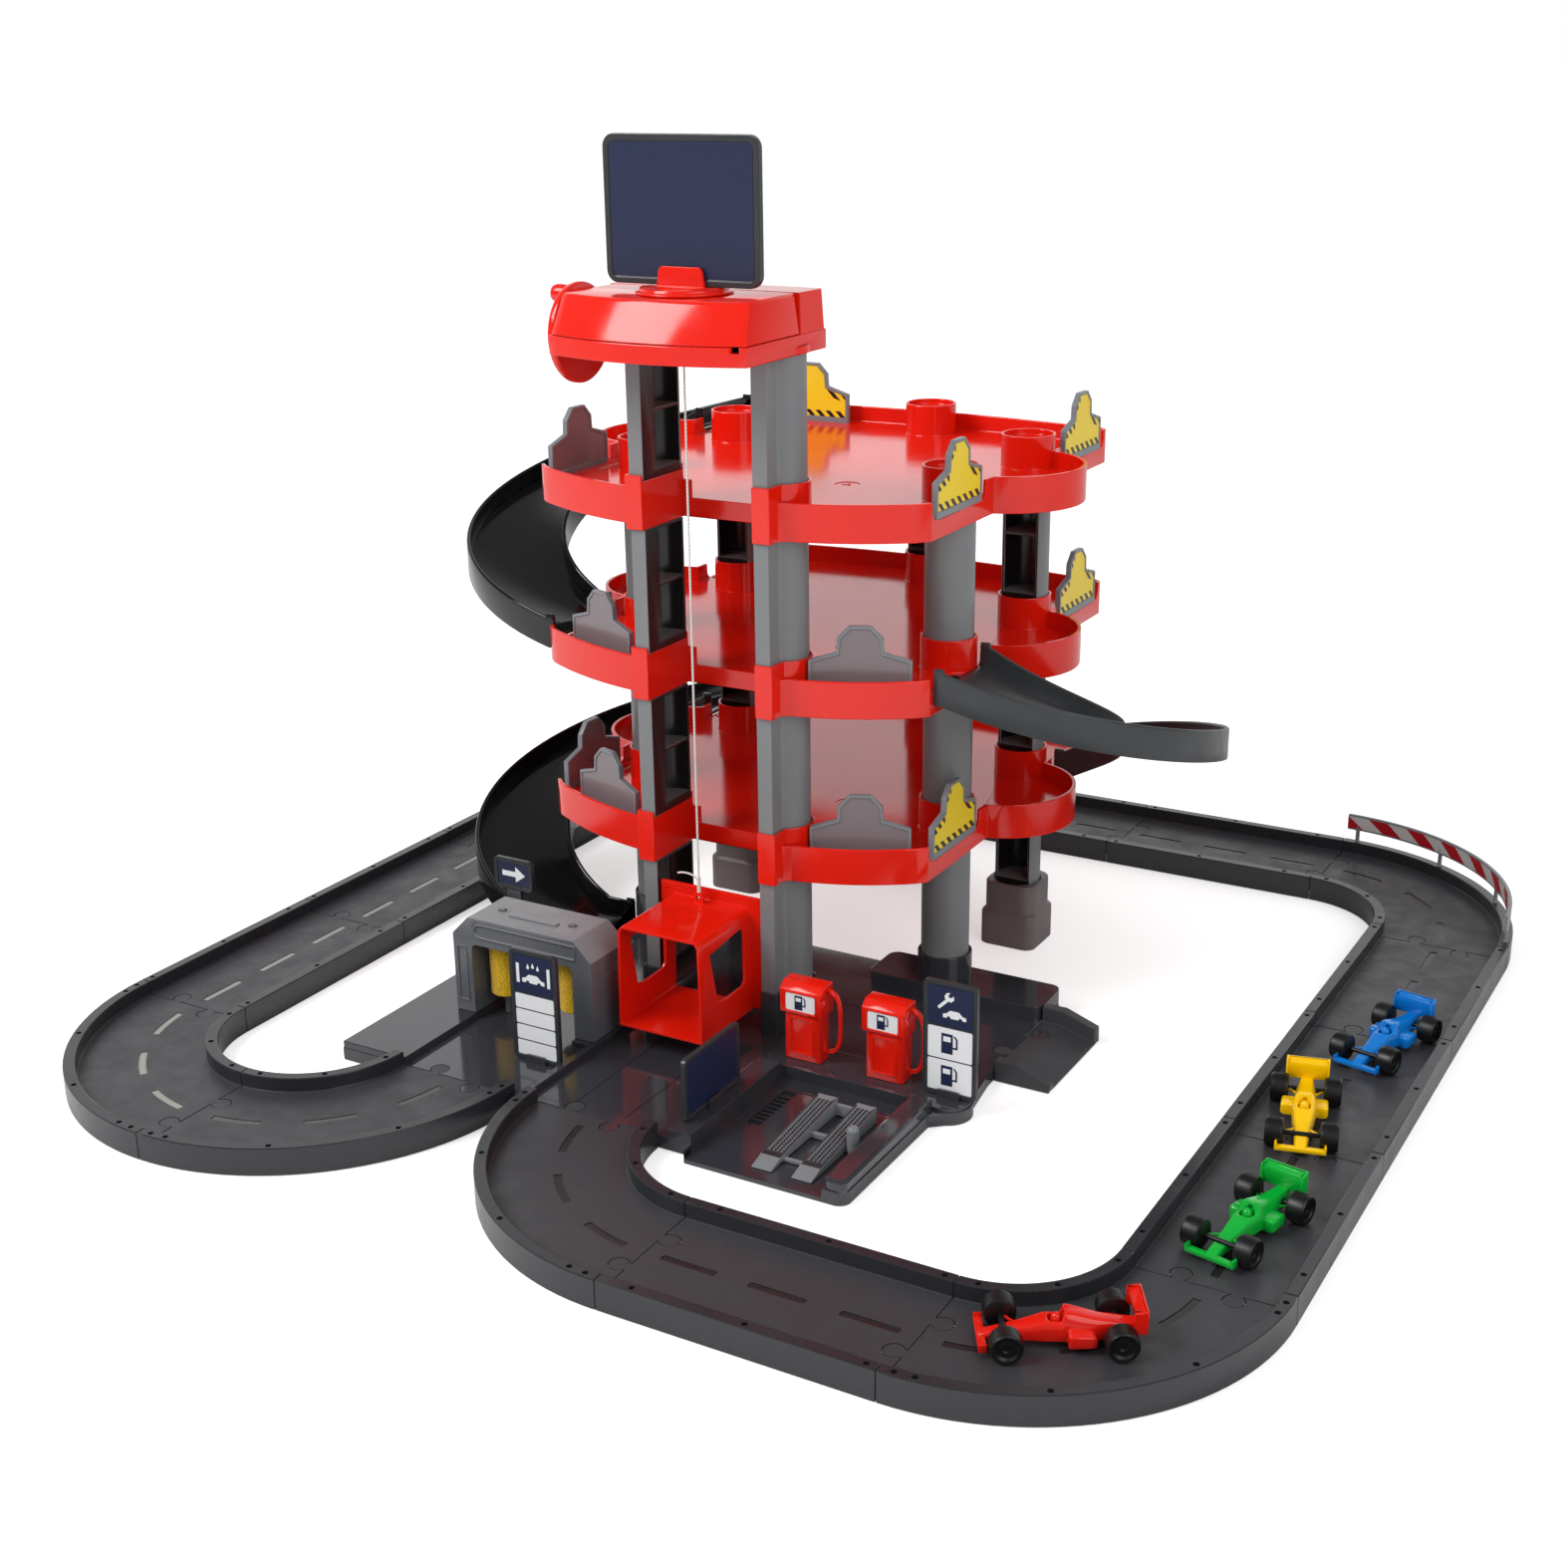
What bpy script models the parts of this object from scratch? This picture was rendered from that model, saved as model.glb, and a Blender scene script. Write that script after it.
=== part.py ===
"""Toy parking garage with three floors, a hand-cranked lift, helical ramps and a closed road loop.

Lengths are metres, +Z is up and the ground is z = 0. The origin lies on the ground under the
middle of the square road loop. The tower and its base plate are laid out from the point where
the second road lane meets the base plate, which BASE_X and BASE_Y place in the loop.
"""

import math

import bmesh
import bpy
from mathutils import Matrix, Vector

MM = 0.001

# Clearances
SEAT_GAP = 0.3 * MM
SLIDE_GAP = 0.6 * MM
AXLE_GAP = 0.4 * MM

# Road pieces
ROAD_WIDTH = 100 * MM
STRAIGHT_LENGTH = 172 * MM
LANE_CLEARANCE = 10 * MM
ROAD_HEIGHT = 19 * MM
DECK_HEIGHT = 9.3 * MM
DECK_THICKNESS = 2.4 * MM
ROAD_WALL = 8 * MM
ROAD_SKIN = 1.8 * MM
TAB_RADIUS = 6 * MM
TAB_NECK = 7 * MM
TAB_OFFSET = 17 * MM
TAB_ROOT = 1.5 * MM
STRAIGHTS_A_SIDE = 3
CURVE_STEPS = 6

# Guard rail on the outer wall of one curve
RAIL_POST = 3.2 * MM
RAIL_LIFT = 10 * MM
RAIL_BOARD = 13 * MM
RAIL_THICKNESS = 2.6 * MM
RAIL_POST_ANGLES = (4.0, 31.0, 59.0, 86.0)

# Tower columns
TOWER_X = -7 * MM
COLUMN_RADIUS = 17 * MM
COLUMN_WALL = 2.2 * MM
COLUMN_SIDES = 10
COLUMN_SHELF = 2 * MM
COLUMN_PANES = 2
COLLAR_WALL = 2 * MM
COLLAR_HEIGHT = 36 * MM
COLLAR_RECESS = 4 * MM
COLUMN_SHOWN = 80 * MM
BASE_COLLAR_TOP = 40 * MM
SIDE_COLUMN_X = 120.6 * MM
FRONT_COLUMN_Y = 279 * MM
REAR_COLUMN_Y = 406 * MM
BACK_COLUMN_Y = 496 * MM
FLOOR_COUNT = 3

# Lift shaft
LIFT_OPENING = 82 * MM
LIFT_COLUMN_Y = 186 * MM
FLANGE_WIDTH = 11 * MM
FLANGE_DEPTH = 13 * MM

# Floors
FLOOR_RIM = 25 * MM
FLOOR_DECK = 13 * MM
FLOOR_SKIN = 2.5 * MM
RIGHT_REACH = 141 * MM
LEFT_REACH = 160 * MM
FRONT_WALL_Y = 168 * MM
CORNER_Y = 208 * MM
GATE_WIDTH = 80 * MM
FRONT_GATE_Y = 250 * MM
REAR_GATE_Y = 458 * MM
LOBE_RADIUS = 53 * MM
LOBE_SHIFT = 12 * MM
BACK_WALL_Y = 522 * MM
EXIT_Y = 205 * MM

# Helical ramps
RAMP_WIDTH = 75 * MM
RAMP_WALL = 3 * MM
RAMP_WALL_UP = 14 * MM
RAMP_WALL_DOWN = 9 * MM
RAMP_DECK = 2.5 * MM
RAMP_TONGUE = 2 * MM
RAMP_TONGUE_LENGTH = 7 * MM
RAMP_TONGUE_WIDTH = 17 * MM
RAMP_LEAD = 6 * MM
RAMP_STEPS = 11

# Base plate
BASE_SKIN = 2.2 * MM
KERB_WIDTH = 54 * MM
KERB_TOP = 14 * MM
LEDGE_INSET = 7 * MM
LEDGE_WIDTH = 17 * MM
LEDGE_TOP = 15 * MM
BAY_WIDTH = 97 * MM
BAY_FRONT = 9 * MM
BAY_DEPTH = 115 * MM
BAY_FLOOR = 3 * MM
BAY_RAIL = 16 * MM
BAY_RAIL_TOP = 17 * MM
BASE_DEPTH = 300 * MM
REAR_KERB_DEPTH = 42 * MM
REAR_KERB_TOP = 20 * MM
REAR_KERB_LEFT = 62 * MM
EXIT_LANE_Y = 225 * MM
EXIT_LANE_WIDTH = 88 * MM
EXIT_OVERHANG = 10 * MM
BASE_GATE_Y = 240 * MM
BASE_GATE_X = 150 * MM
KERB_LENGTH = 198 * MM

# Exit ramp
EXIT_FLAT = 15 * MM
EXIT_SLOPE = 24 * MM
EXIT_WALL = 8 * MM

# Column feet
FOOT_WIDTH = 44 * MM
FOOT_STEP = 26 * MM
FOOT_TOP = 50 * MM

# Lift head
HEAD_TRAY = 12 * MM
HEAD_SKIN = 2.4 * MM
HEAD_LEFT = 83 * MM
HEAD_RIGHT = 62 * MM
HEAD_FRONT_Y = 118 * MM
HEAD_BULGE = 14 * MM
HEAD_BACK_Y = 216 * MM
HEAD_BLOCK_Y = 184 * MM
HEAD_COVER = 25 * MM
HEAD_TAPER = 5 * MM
HEAD_SOCKET = 3 * MM

# Crank and string
STRING_X = -11 * MM
STRING_Y = 151 * MM
STRING_RADIUS = 0.7 * MM
DRUM_RADIUS = 5 * MM
CRANK_RADIUS = 32 * MM
CRANK_THICKNESS = 6 * MM
CRANK_SHAFT = 2.8 * MM
CRANK_AXIS_UP = 9 * MM
KNOB_RADIUS = 6 * MM
KNOB_LENGTH = 20 * MM
KNOB_REACH = 24 * MM

# Turntable and sign board
TURNTABLE_RADIUS = 31 * MM
TURNTABLE_THICKNESS = 4 * MM
TURNTABLE_PIN = 6 * MM
SIGN_TAB_WIDTH = 32 * MM
SIGN_TAB_HEIGHT = 12 * MM
SIGN_TAB_THICKNESS = 2.5 * MM
BOARD_WIDTH = 112 * MM
BOARD_HEIGHT = 90 * MM
BOARD_THICKNESS = 5 * MM
BOARD_CORNER = 8 * MM
BOARD_FRAME = 4 * MM
BOARD_RECESS = 0.8 * MM

# Lift car
CAR_HANG = 14.7 * MM
CAR_PLATE_HEIGHT = 82 * MM
CAR_PLATE = 2.6 * MM
CAR_PLATE_INSET = 4 * MM
CAR_WIDTH = 67 * MM
CAR_DEPTH = 68 * MM
CAR_HEIGHT = 74 * MM
CAR_SKIN = 2 * MM
CAR_WINDOW_SILL = 22 * MM
CAR_WINDOW_TOP = 64 * MM
CAR_HOOK = 8 * MM

# Car wash
WASH_HALF = 58 * MM
WASH_DOOR = 42 * MM
WASH_HEIGHT = 72 * MM
WASH_LINTEL = 52 * MM
WASH_CHAMFER = 14 * MM
WASH_FRONT_Y = 78 * MM
WASH_DEPTH = 43 * MM
ROLLER_RADIUS = 11.5 * MM
ROLLER_HEIGHT = 38 * MM
ROLLER_AXLE = 2.5 * MM
ROLLER_SPREAD = 29.5 * MM

# Fuel pumps
PUMP_WIDTH = 27 * MM
PUMP_DEPTH = 14 * MM
PUMP_HEIGHT = 34 * MM
PUMP_HEAD = 21 * MM
PUMP_HOSE = 2.4 * MM
PUMP_HOSE_REACH = 15 * MM
ISLAND_DEPTH = 36 * MM
ISLAND_TOP = 11.5 * MM
PUMP_Y = 134 * MM
PUMP_X = (82 * MM, 143 * MM)

# Standing signs
SIGN_WIDTH = 38 * MM
SIGN_HEIGHT = 80 * MM
SIGN_THICKNESS = 3.4 * MM
SIGN_CORNER = 4 * MM
SIGN_FRAME = 3 * MM
WASH_SIGN_X = -75 * MM
WASH_SIGN_Y = 46 * MM
PUMP_SIGN_X = 190 * MM
PUMP_SIGN_Y = 128 * MM
SIGN_BOSS = 17 * MM
PARKING_LENGTH = 66 * MM
PARKING_HEIGHT = 43 * MM
PARKING_Y = 44 * MM
ARROW_WIDTH = 34 * MM
ARROW_HEIGHT = 24 * MM
ARROW_POST = 50 * MM
ARROW_POST_WIDTH = 12 * MM
ARROW_Y = 178 * MM
CLIP_WIDTH = 16 * MM
CLIP_THICKNESS = 2 * MM
CLIP_HEIGHT = 5 * MM

# Gate barriers
BARRIER_WIDTH = 68 * MM
BARRIER_HEIGHT = 46 * MM
BARRIER_SHOULDER = 25 * MM
BARRIER_THICKNESS = 4 * MM
BACK_BARRIER_SHIFT = 110 * MM

# Service lift
TRACK_WIDTH = 14 * MM
TRACK_SPACING = 28 * MM
TRACK_LENGTH = 74 * MM
TRACK_FRONT = 4 * MM
TRACK_BACK = 11 * MM
TRACK_TIP = 12 * MM
TRACK_Y = 2 * MM
TRACK_X = 137 * MM
PEG_RADIUS = 4 * MM
PEG_HEIGHT = 18 * MM
SLOT_WIDTH = 10 * MM
SLOT_LENGTH = 52 * MM

# Toy cars
WHEEL_RADIUS = 9 * MM
WHEEL_WIDTH = 11 * MM
WHEEL_SIDES = 9
WHEEL_BASE = 60 * MM
CAR_TRACK = 44 * MM
AXLE_RADIUS = 1.5 * MM
HUB_RADIUS = 6.5 * MM
HUB_DEPTH = 1.5 * MM
CAR_FLOOR = 3.5 * MM
CAR_TOP = 25 * MM
CAR_OVERHANG = 14 * MM
FRONT_WING = 36 * MM
REAR_WING = 32 * MM
POD_WIDTH = 34 * MM
POD_HEIGHT = 9 * MM
POD_START = 33 * MM
POD_END = 48 * MM
CAR_ROOM = 10 * MM
# Each toy car: distance along the right side in straights, or below zero in quarter turns of the
# corner before it, share of the free room that it stands off the lane's middle, and skew in degrees
TOY_CARS = (
    ("red", -0.58, -0.94, -7.5),
    ("green", 0.366, 0.2, -11.3),
    ("yellow", 1.18, -0.8, 14.0),
    ("blue", 1.913, 1.0, -11.8),
)

# Values worked out from the sizes above
LANE_GAP = ROAD_WIDTH + LANE_CLEARANCE
CURVE_RADIUS = STRAIGHT_LENGTH - LANE_GAP / 2
BASE_X = -(STRAIGHT_LENGTH - LANE_GAP) / 2
BASE_Y = -STRAIGHTS_A_SIDE * STRAIGHT_LENGTH / 2
LEVEL_HEIGHT = COLUMN_SHOWN + COLLAR_HEIGHT
FIRST_FLOOR = BASE_COLLAR_TOP + COLUMN_SHOWN
HEAD_BOTTOM = FIRST_FLOOR + FLOOR_COUNT * LEVEL_HEIGHT
COLLAR_RADIUS = COLUMN_RADIUS + SEAT_GAP + COLLAR_WALL
LIFT_CIRCLE_X = LIFT_OPENING / 2 + 4 * MM
RIGHT_GATE_X = TOWER_X + RIGHT_REACH
LEFT_GATE_X = TOWER_X - LEFT_REACH
BAY_LEFT = ROAD_WIDTH / 2 + LEDGE_INSET + LEDGE_WIDTH
BAY_RIGHT = BAY_LEFT + BAY_WIDTH
BASE_SIDE = BAY_RIGHT + BAY_RAIL
BASE_EXIT_X = BASE_SIDE + EXIT_OVERHANG
BASE_LEFT = -LANE_GAP - (ROAD_WIDTH / 2 - ROAD_WALL) - KERB_WIDTH
COVER_BOTTOM = HEAD_BOTTOM + HEAD_TRAY + SEAT_GAP
COVER_TOP = COVER_BOTTOM + HEAD_COVER
CRANK_Y = STRING_Y + DRUM_RADIUS + STRING_RADIUS
CRANK_Z = HEAD_BOTTOM + CRANK_AXIS_UP
CAR_BOTTOM = DECK_HEIGHT + CAR_HANG
CAR_PLATE_Y = LIFT_COLUMN_Y - COLUMN_RADIUS - FLANGE_DEPTH + CAR_PLATE_INSET


# Materials
def plastic(name, colour, roughness):
    material = bpy.data.materials.new(name)
    material.use_nodes = True
    shader = material.node_tree.nodes["Principled BSDF"]
    shader.inputs["Base Color"].default_value = (*colour, 1.0)
    shader.inputs["Roughness"].default_value = roughness
    shader.inputs["Metallic"].default_value = 0.0
    return material


# Outlines in a plane
def arc(cx, cy, radius, start, end, steps):
    points = []
    for i in range(steps + 1):
        angle = math.radians(start + (end - start) * i / steps)
        points.append((cx + radius * math.cos(angle), cy + radius * math.sin(angle)))
    return points


def circle(cx, cy, radius, steps):
    return arc(cx, cy, radius, 0, 360 * (steps - 1) / steps, steps - 1)


def box_outline(x0, y0, x1, y1):
    return [(x0, y0), (x1, y0), (x1, y1), (x0, y1)]


def rounded_box(x0, y0, x1, y1, radius, steps):
    points = arc(x1 - radius, y0 + radius, radius, -90, 0, steps)
    points += arc(x1 - radius, y1 - radius, radius, 0, 90, steps)
    points += arc(x0 + radius, y1 - radius, radius, 90, 180, steps)
    points += arc(x0 + radius, y0 + radius, radius, 180, 270, steps)
    return points


def inset(outline, distance):
    """Outline moved inwards by a distance, for a counter-clockwise outline."""
    moved = []
    count = len(outline)
    for i in range(count):
        before = Vector(outline[i - 1])
        here = Vector(outline[i])
        after = Vector(outline[(i + 1) % count])
        first = (here - before).normalized()
        second = (after - here).normalized()
        normal_1 = Vector((-first.y, first.x))
        normal_2 = Vector((-second.y, second.x))
        mitre = normal_1 + normal_2
        mitre = mitre * (2 * distance / mitre.length_squared)
        moved.append((here.x + mitre.x, here.y + mitre.y))
    return moved


# Closed solids, each added to a mesh
def loft(mesh, loops):
    rings = [[mesh.verts.new(point) for point in loop] for loop in loops]
    count = len(rings[0])
    for lower, upper in zip(rings, rings[1:]):
        for i in range(count):
            j = (i + 1) % count
            mesh.faces.new((lower[i], lower[j], upper[j], upper[i]))
    mesh.faces.new(rings[0][::-1])
    mesh.faces.new(rings[-1])


def prism(mesh, outline, low, high):
    loft(mesh, [[(x, y, low) for x, y in outline], [(x, y, high) for x, y in outline]])


def frustum(mesh, lower, upper, low, high):
    loft(mesh, [[(x, y, low) for x, y in lower], [(x, y, high) for x, y in upper]])


def slab_xz(mesh, outline, y0, y1):
    loft(mesh, [[(x, y0, z) for x, z in outline], [(x, y1, z) for x, z in outline]])


def slab_yz(mesh, outline, x0, x1):
    loft(mesh, [[(x0, y, z) for y, z in outline], [(x1, y, z) for y, z in outline]])


def turned(mesh, profile, steps, place):
    """Solid of revolution about local Z with flat ends; the profile runs (radius, height)."""
    loops = []
    for radius, height in profile:
        loops.append([place @ Vector((x, y, height)) for x, y in circle(0, 0, radius, steps)])
    loft(mesh, loops)


def post(mesh, x, y, radius, low, high, steps):
    prism(mesh, circle(x, y, radius, steps), low, high)


# Objects
def add_object(name, mesh, at, turn):
    bmesh.ops.recalc_face_normals(mesh, faces=mesh.faces)
    data = bpy.data.meshes.new(name)
    mesh.to_mesh(data)
    mesh.free()
    data.shade_smooth()
    data.set_sharp_from_angle(angle=math.radians(38))
    thing = bpy.data.objects.new(name, data)
    thing.location = (at[0] + BASE_X, at[1] + BASE_Y, at[2])
    thing.rotation_euler = (0, 0, turn)
    bpy.context.scene.collection.objects.link(thing)
    return thing


def piece(name, mesh, material, at=(0, 0, 0), turn=0.0):
    thing = add_object(name, mesh, at, turn)
    thing.data.materials.append(material)
    return thing


def tool(thing, name, mesh, operation):
    """Cuts a solid out of a piece, or joins one to it, with a helper that isn't part of the toy."""
    helper = add_object(thing.name + "_" + name, mesh, (0, 0, 0), 0.0)
    helper.location = thing.location
    helper.rotation_euler = thing.rotation_euler
    helper.hide_render = True
    helper.display_type = "WIRE"
    modifier = thing.modifiers.new(name, "BOOLEAN")
    modifier.operation = operation
    modifier.object = helper
    return helper


def cut(thing, name, mesh):
    return tool(thing, name, mesh, "DIFFERENCE")


def join(thing, name, mesh):
    return tool(thing, name, mesh, "UNION")


# Road pieces
def road_section():
    half = ROAD_WIDTH / 2
    inner = half - ROAD_WALL
    under = DECK_HEIGHT - DECK_THICKNESS
    right = [
        (inner, DECK_HEIGHT), (inner, ROAD_HEIGHT), (half, ROAD_HEIGHT), (half, 0),
        (half - ROAD_SKIN, 0), (half - ROAD_SKIN, under),
    ]
    left = [(-u, z) for u, z in reversed(right)]
    return right + left


def sweep(mesh, section, stations):
    loops = []
    for x, y, right in stations:
        loops.append([(x + u * right[0], y + u * right[1], z) for u, z in section])
    loft(mesh, loops)


def tab_outline(grow):
    """Jigsaw tab pointing along +Y from y = 0, with its root behind that line."""
    neck = TAB_NECK / 2 + grow
    radius = TAB_RADIUS + grow
    open_angle = math.degrees(math.asin(neck / radius))
    centre = TAB_RADIUS
    points = arc(0, centre, radius, -90 + open_angle, 270 - open_angle, 4)
    return [(neck, -TAB_ROOT)] + points + [(-neck, -TAB_ROOT)]


def add_tabs(thing, ends):
    """Each end is (x, y, outward angle in degrees); the tab is on the left, the socket on the right."""
    tabs = bmesh.new()
    sockets = bmesh.new()
    for x, y, outward in ends:
        place = Matrix.Translation((x, y, 0)) @ Matrix.Rotation(math.radians(outward - 90), 4, "Z")
        shape = []
        for a, b in tab_outline(0):
            shape.append(place @ Vector((a - TAB_OFFSET, b, 0)))
        prism(tabs, [(p.x, p.y) for p in shape], DECK_HEIGHT - DECK_THICKNESS + SEAT_GAP,
              DECK_HEIGHT - SEAT_GAP / 2)
        shape = []
        for a, b in tab_outline(SEAT_GAP):
            shape.append(place @ Vector((a + TAB_OFFSET, -b, 0)))
        prism(sockets, [(p.x, p.y) for p in reversed(shape)], -DECK_THICKNESS,
              DECK_HEIGHT + DECK_THICKNESS)
    join(thing, "tabs", tabs)
    cut(thing, "sockets", sockets)


def make_straight(index, x, y, turn, material):
    mesh = bmesh.new()
    edge = SEAT_GAP / 2
    stations = [(0, edge, (1, 0)), (0, STRAIGHT_LENGTH - edge, (1, 0))]
    sweep(mesh, road_section(), stations)
    thing = piece("road_straight_%d" % index, mesh, material, (x, y, 0), turn)
    add_tabs(thing, [(0, 0, -90), (0, STRAIGHT_LENGTH, 90)])
    return thing


def make_curve(index, x, y, turn, material):
    mesh = bmesh.new()
    edge = math.degrees(SEAT_GAP / 2 / CURVE_RADIUS)
    stations = []
    for i in range(CURVE_STEPS + 1):
        angle = math.radians(edge + (90 - 2 * edge) * i / CURVE_STEPS)
        right = (math.cos(angle), math.sin(angle))
        stations.append((CURVE_RADIUS * (right[0] - 1), CURVE_RADIUS * right[1], right))
    sweep(mesh, road_section(), stations)
    thing = piece("road_curve_%d" % index, mesh, material, (x, y, 0), turn)
    add_tabs(thing, [(0, 0, -90), (-CURVE_RADIUS, CURVE_RADIUS, 180)])
    return thing


def make_road(material):
    """The loop leaves the base plate on the second lane and comes back on the first."""
    side = "S" * STRAIGHTS_A_SIDE
    route = "CSC" + side + "C" + side + "C" + side + "CC"
    x = 0.0
    y = 0.0
    turn = math.pi
    straights = 0
    curves = 0
    rail_place = None
    for kind in route:
        heading = (-math.sin(turn), math.cos(turn))
        left = (-math.cos(turn), -math.sin(turn))
        if kind == "S":
            straights += 1
            make_straight(straights, x, y, turn, material)
            x += heading[0] * STRAIGHT_LENGTH
            y += heading[1] * STRAIGHT_LENGTH
        else:
            curves += 1
            thing = make_curve(curves, x, y, turn, material)
            if curves == 3:
                rail_place = (x, y, turn)
                cut_rail_holes(thing)
            x += (heading[0] + left[0]) * CURVE_RADIUS
            y += (heading[1] + left[1]) * CURVE_RADIUS
            turn += math.pi / 2
    return rail_place


# Guard rail
def rail_point(angle):
    radius = CURVE_RADIUS + ROAD_WIDTH / 2 - ROAD_WALL / 2
    direction = (math.cos(math.radians(angle)), math.sin(math.radians(angle)))
    return (radius * direction[0] - CURVE_RADIUS, radius * direction[1])


def cut_rail_holes(curve):
    mesh = bmesh.new()
    for angle in RAIL_POST_ANGLES:
        x, y = rail_point(angle)
        post(mesh, x, y, RAIL_POST / 2 + SEAT_GAP, ROAD_HEIGHT - 2 * ROAD_SKIN,
             ROAD_HEIGHT + ROAD_SKIN, 6)
    cut(curve, "rail_holes", mesh)


def make_guard_rail(x, y, turn, material):
    board_low = ROAD_HEIGHT + RAIL_LIFT
    half = RAIL_THICKNESS / 2
    radius = CURVE_RADIUS + ROAD_WIDTH / 2 - ROAD_WALL / 2
    section = box_outline(-half, board_low, half, board_low + RAIL_BOARD)
    mesh = bmesh.new()
    stations = []
    for i in range(CURVE_STEPS + 1):
        angle = math.radians(1 + 88 * i / CURVE_STEPS)
        right = (math.cos(angle), math.sin(angle))
        stations.append((radius * right[0] - CURVE_RADIUS, radius * right[1], right))
    sweep(mesh, section, stations)
    rail = piece("guard_rail", mesh, material, (x, y, 0), turn)
    posts = bmesh.new()
    for angle in RAIL_POST_ANGLES:
        px, py = rail_point(angle)
        post(posts, px, py, RAIL_POST / 2, ROAD_HEIGHT - ROAD_SKIN, board_low + RAIL_BOARD / 3, 6)
    join(rail, "posts", posts)
    return rail


# Columns
def column_outline(shrink):
    """Half-pipe plan about its own centre, cut off flat and open towards +X."""
    step = 360 / COLUMN_SIDES
    return arc(0, 0, COLUMN_RADIUS - shrink, 1.5 * step, 360 - 1.5 * step, COLUMN_SIDES - 3)


def column_pockets(mesh, low, high, place):
    """Pockets open on one side, one above the other with shelves between them."""
    pocket = (high - low - (COLUMN_PANES + 1) * COLUMN_SHELF) / COLUMN_PANES
    reach = COLUMN_RADIUS + COLUMN_WALL
    edge = 540 / COLUMN_SIDES
    outline = arc(0, 0, COLUMN_RADIUS - COLUMN_WALL, edge, 360 - edge, 4)
    outline = outline + [(reach, outline[-1][1]), (reach, outline[0][1])]
    shape = [place @ Vector((x, y, 0)) for x, y in outline]
    for i in range(COLUMN_PANES):
        z = low + COLUMN_SHELF + i * (pocket + COLUMN_SHELF)
        prism(mesh, [(p.x, p.y) for p in shape], z, z + pocket)


def column_spots():
    """Centre of each plain column, the direction that its open side faces, and what carries it."""
    right = TOWER_X + SIDE_COLUMN_X
    left = TOWER_X - SIDE_COLUMN_X
    return [
        (right, FRONT_COLUMN_Y, 135.0, "base"),
        (left, FRONT_COLUMN_Y, 45.0, "base"),
        (right, REAR_COLUMN_Y, -90.0, "right"),
        (left, REAR_COLUMN_Y, -90.0, "left"),
        (TOWER_X, BACK_COLUMN_Y, -90.0, "back"),
    ]


def add_columns(thing, spots, with_lift, seat, ceiling):
    """Stands a storey's columns in the collars of the piece that carries them.

    The plain columns end under the deck above, the lift's columns under its deeper collars.
    """
    high = ceiling + FLOOR_DECK - FLOOR_SKIN - SEAT_GAP
    solid = bmesh.new()
    pockets = bmesh.new()
    for x, y, facing, carrier in spots:
        place = Matrix.Translation((x, y, 0)) @ Matrix.Rotation(math.radians(facing), 4, "Z")
        shape = [place @ Vector((a, b, 0)) for a, b in column_outline(0)]
        prism(solid, [(p.x, p.y) for p in shape], seat - COLLAR_RECESS, high)
        column_pockets(pockets, seat, high, place)
    if with_lift:
        for side in (1, -1):
            prism(solid, mirrored(lift_column_outline(0, 0), side), seat - COLLAR_RECESS, ceiling - SEAT_GAP)
            column_pockets(pockets, seat, ceiling, lift_column_place(side))
    join(thing, "columns", solid)
    cut(thing, "column_pockets", pockets)


def lift_column_place(side):
    spot = Matrix.Translation((TOWER_X + side * LIFT_CIRCLE_X, LIFT_COLUMN_Y, 0))
    return spot @ Matrix.Rotation(math.pi if side > 0 else 0, 4, "Z")


def lift_column_outline(grow, inward):
    """Plan of the right lift column about the tower's middle line: half pipe and guide flange.

    The face towards the lift moves inward by its own distance, so that the lift's way stays clear.
    """
    edge = LIFT_OPENING / 2 - inward
    radius = COLUMN_RADIUS + grow
    angle = math.degrees(math.acos((LIFT_CIRCLE_X - edge) / radius))
    back = arc(LIFT_CIRCLE_X, LIFT_COLUMN_Y, radius, -60, 180 - angle, 4)
    front = LIFT_COLUMN_Y - COLUMN_RADIUS - FLANGE_DEPTH - grow
    outer = LIFT_OPENING / 2 + FLANGE_WIDTH + grow
    return [(edge, front), (outer, front), (outer, back[0][1] - FLANGE_DEPTH / 4)] + back


def mirrored(outline, side):
    if side > 0:
        return [(TOWER_X + x, y) for x, y in outline]
    return [(TOWER_X - x, y) for x, y in reversed(outline)]


def make_top_columns(material):
    """The two lift columns above the top floor, which carry the lift's head."""
    low = FIRST_FLOOR + (FLOOR_COUNT - 1) * LEVEL_HEIGHT + COLLAR_HEIGHT - COLLAR_RECESS + SEAT_GAP
    high = HEAD_BOTTOM + HEAD_SOCKET - SEAT_GAP
    for side, name in ((1, "lift_column_right"), (-1, "lift_column_left")):
        mesh = bmesh.new()
        prism(mesh, mirrored(lift_column_outline(0, 0), side), low, high)
        column = piece(name, mesh, material)
        pockets = bmesh.new()
        column_pockets(pockets, low + COLLAR_RECESS, high - HEAD_SOCKET, lift_column_place(side))
        cut(column, "pockets", pockets)


def make_column_feet(material):
    half = FOOT_WIDTH / 2
    slim = COLLAR_RADIUS + COLLAR_WALL / 2
    for x, y, facing, carrier in column_spots():
        if carrier == "base":
            continue
        lower = rounded_box(x - half, y - half, x + half, y + half, half / 3, 1)
        upper = rounded_box(x - slim, y - slim, x + slim, y + slim, half / 2, 1)
        mesh = bmesh.new()
        loft(mesh, [
            [(a, b, 0) for a, b in lower],
            [(a, b, FOOT_STEP) for a, b in lower],
            [(a, b, FOOT_STEP + COLLAR_WALL / 2) for a, b in upper],
            [(a, b, FOOT_TOP) for a, b in upper],
        ])
        foot = piece("%s_column_foot" % carrier, mesh, material)
        add_columns(foot, [(x, y, facing, carrier)], False, FOOT_TOP, FIRST_FLOOR)


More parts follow.
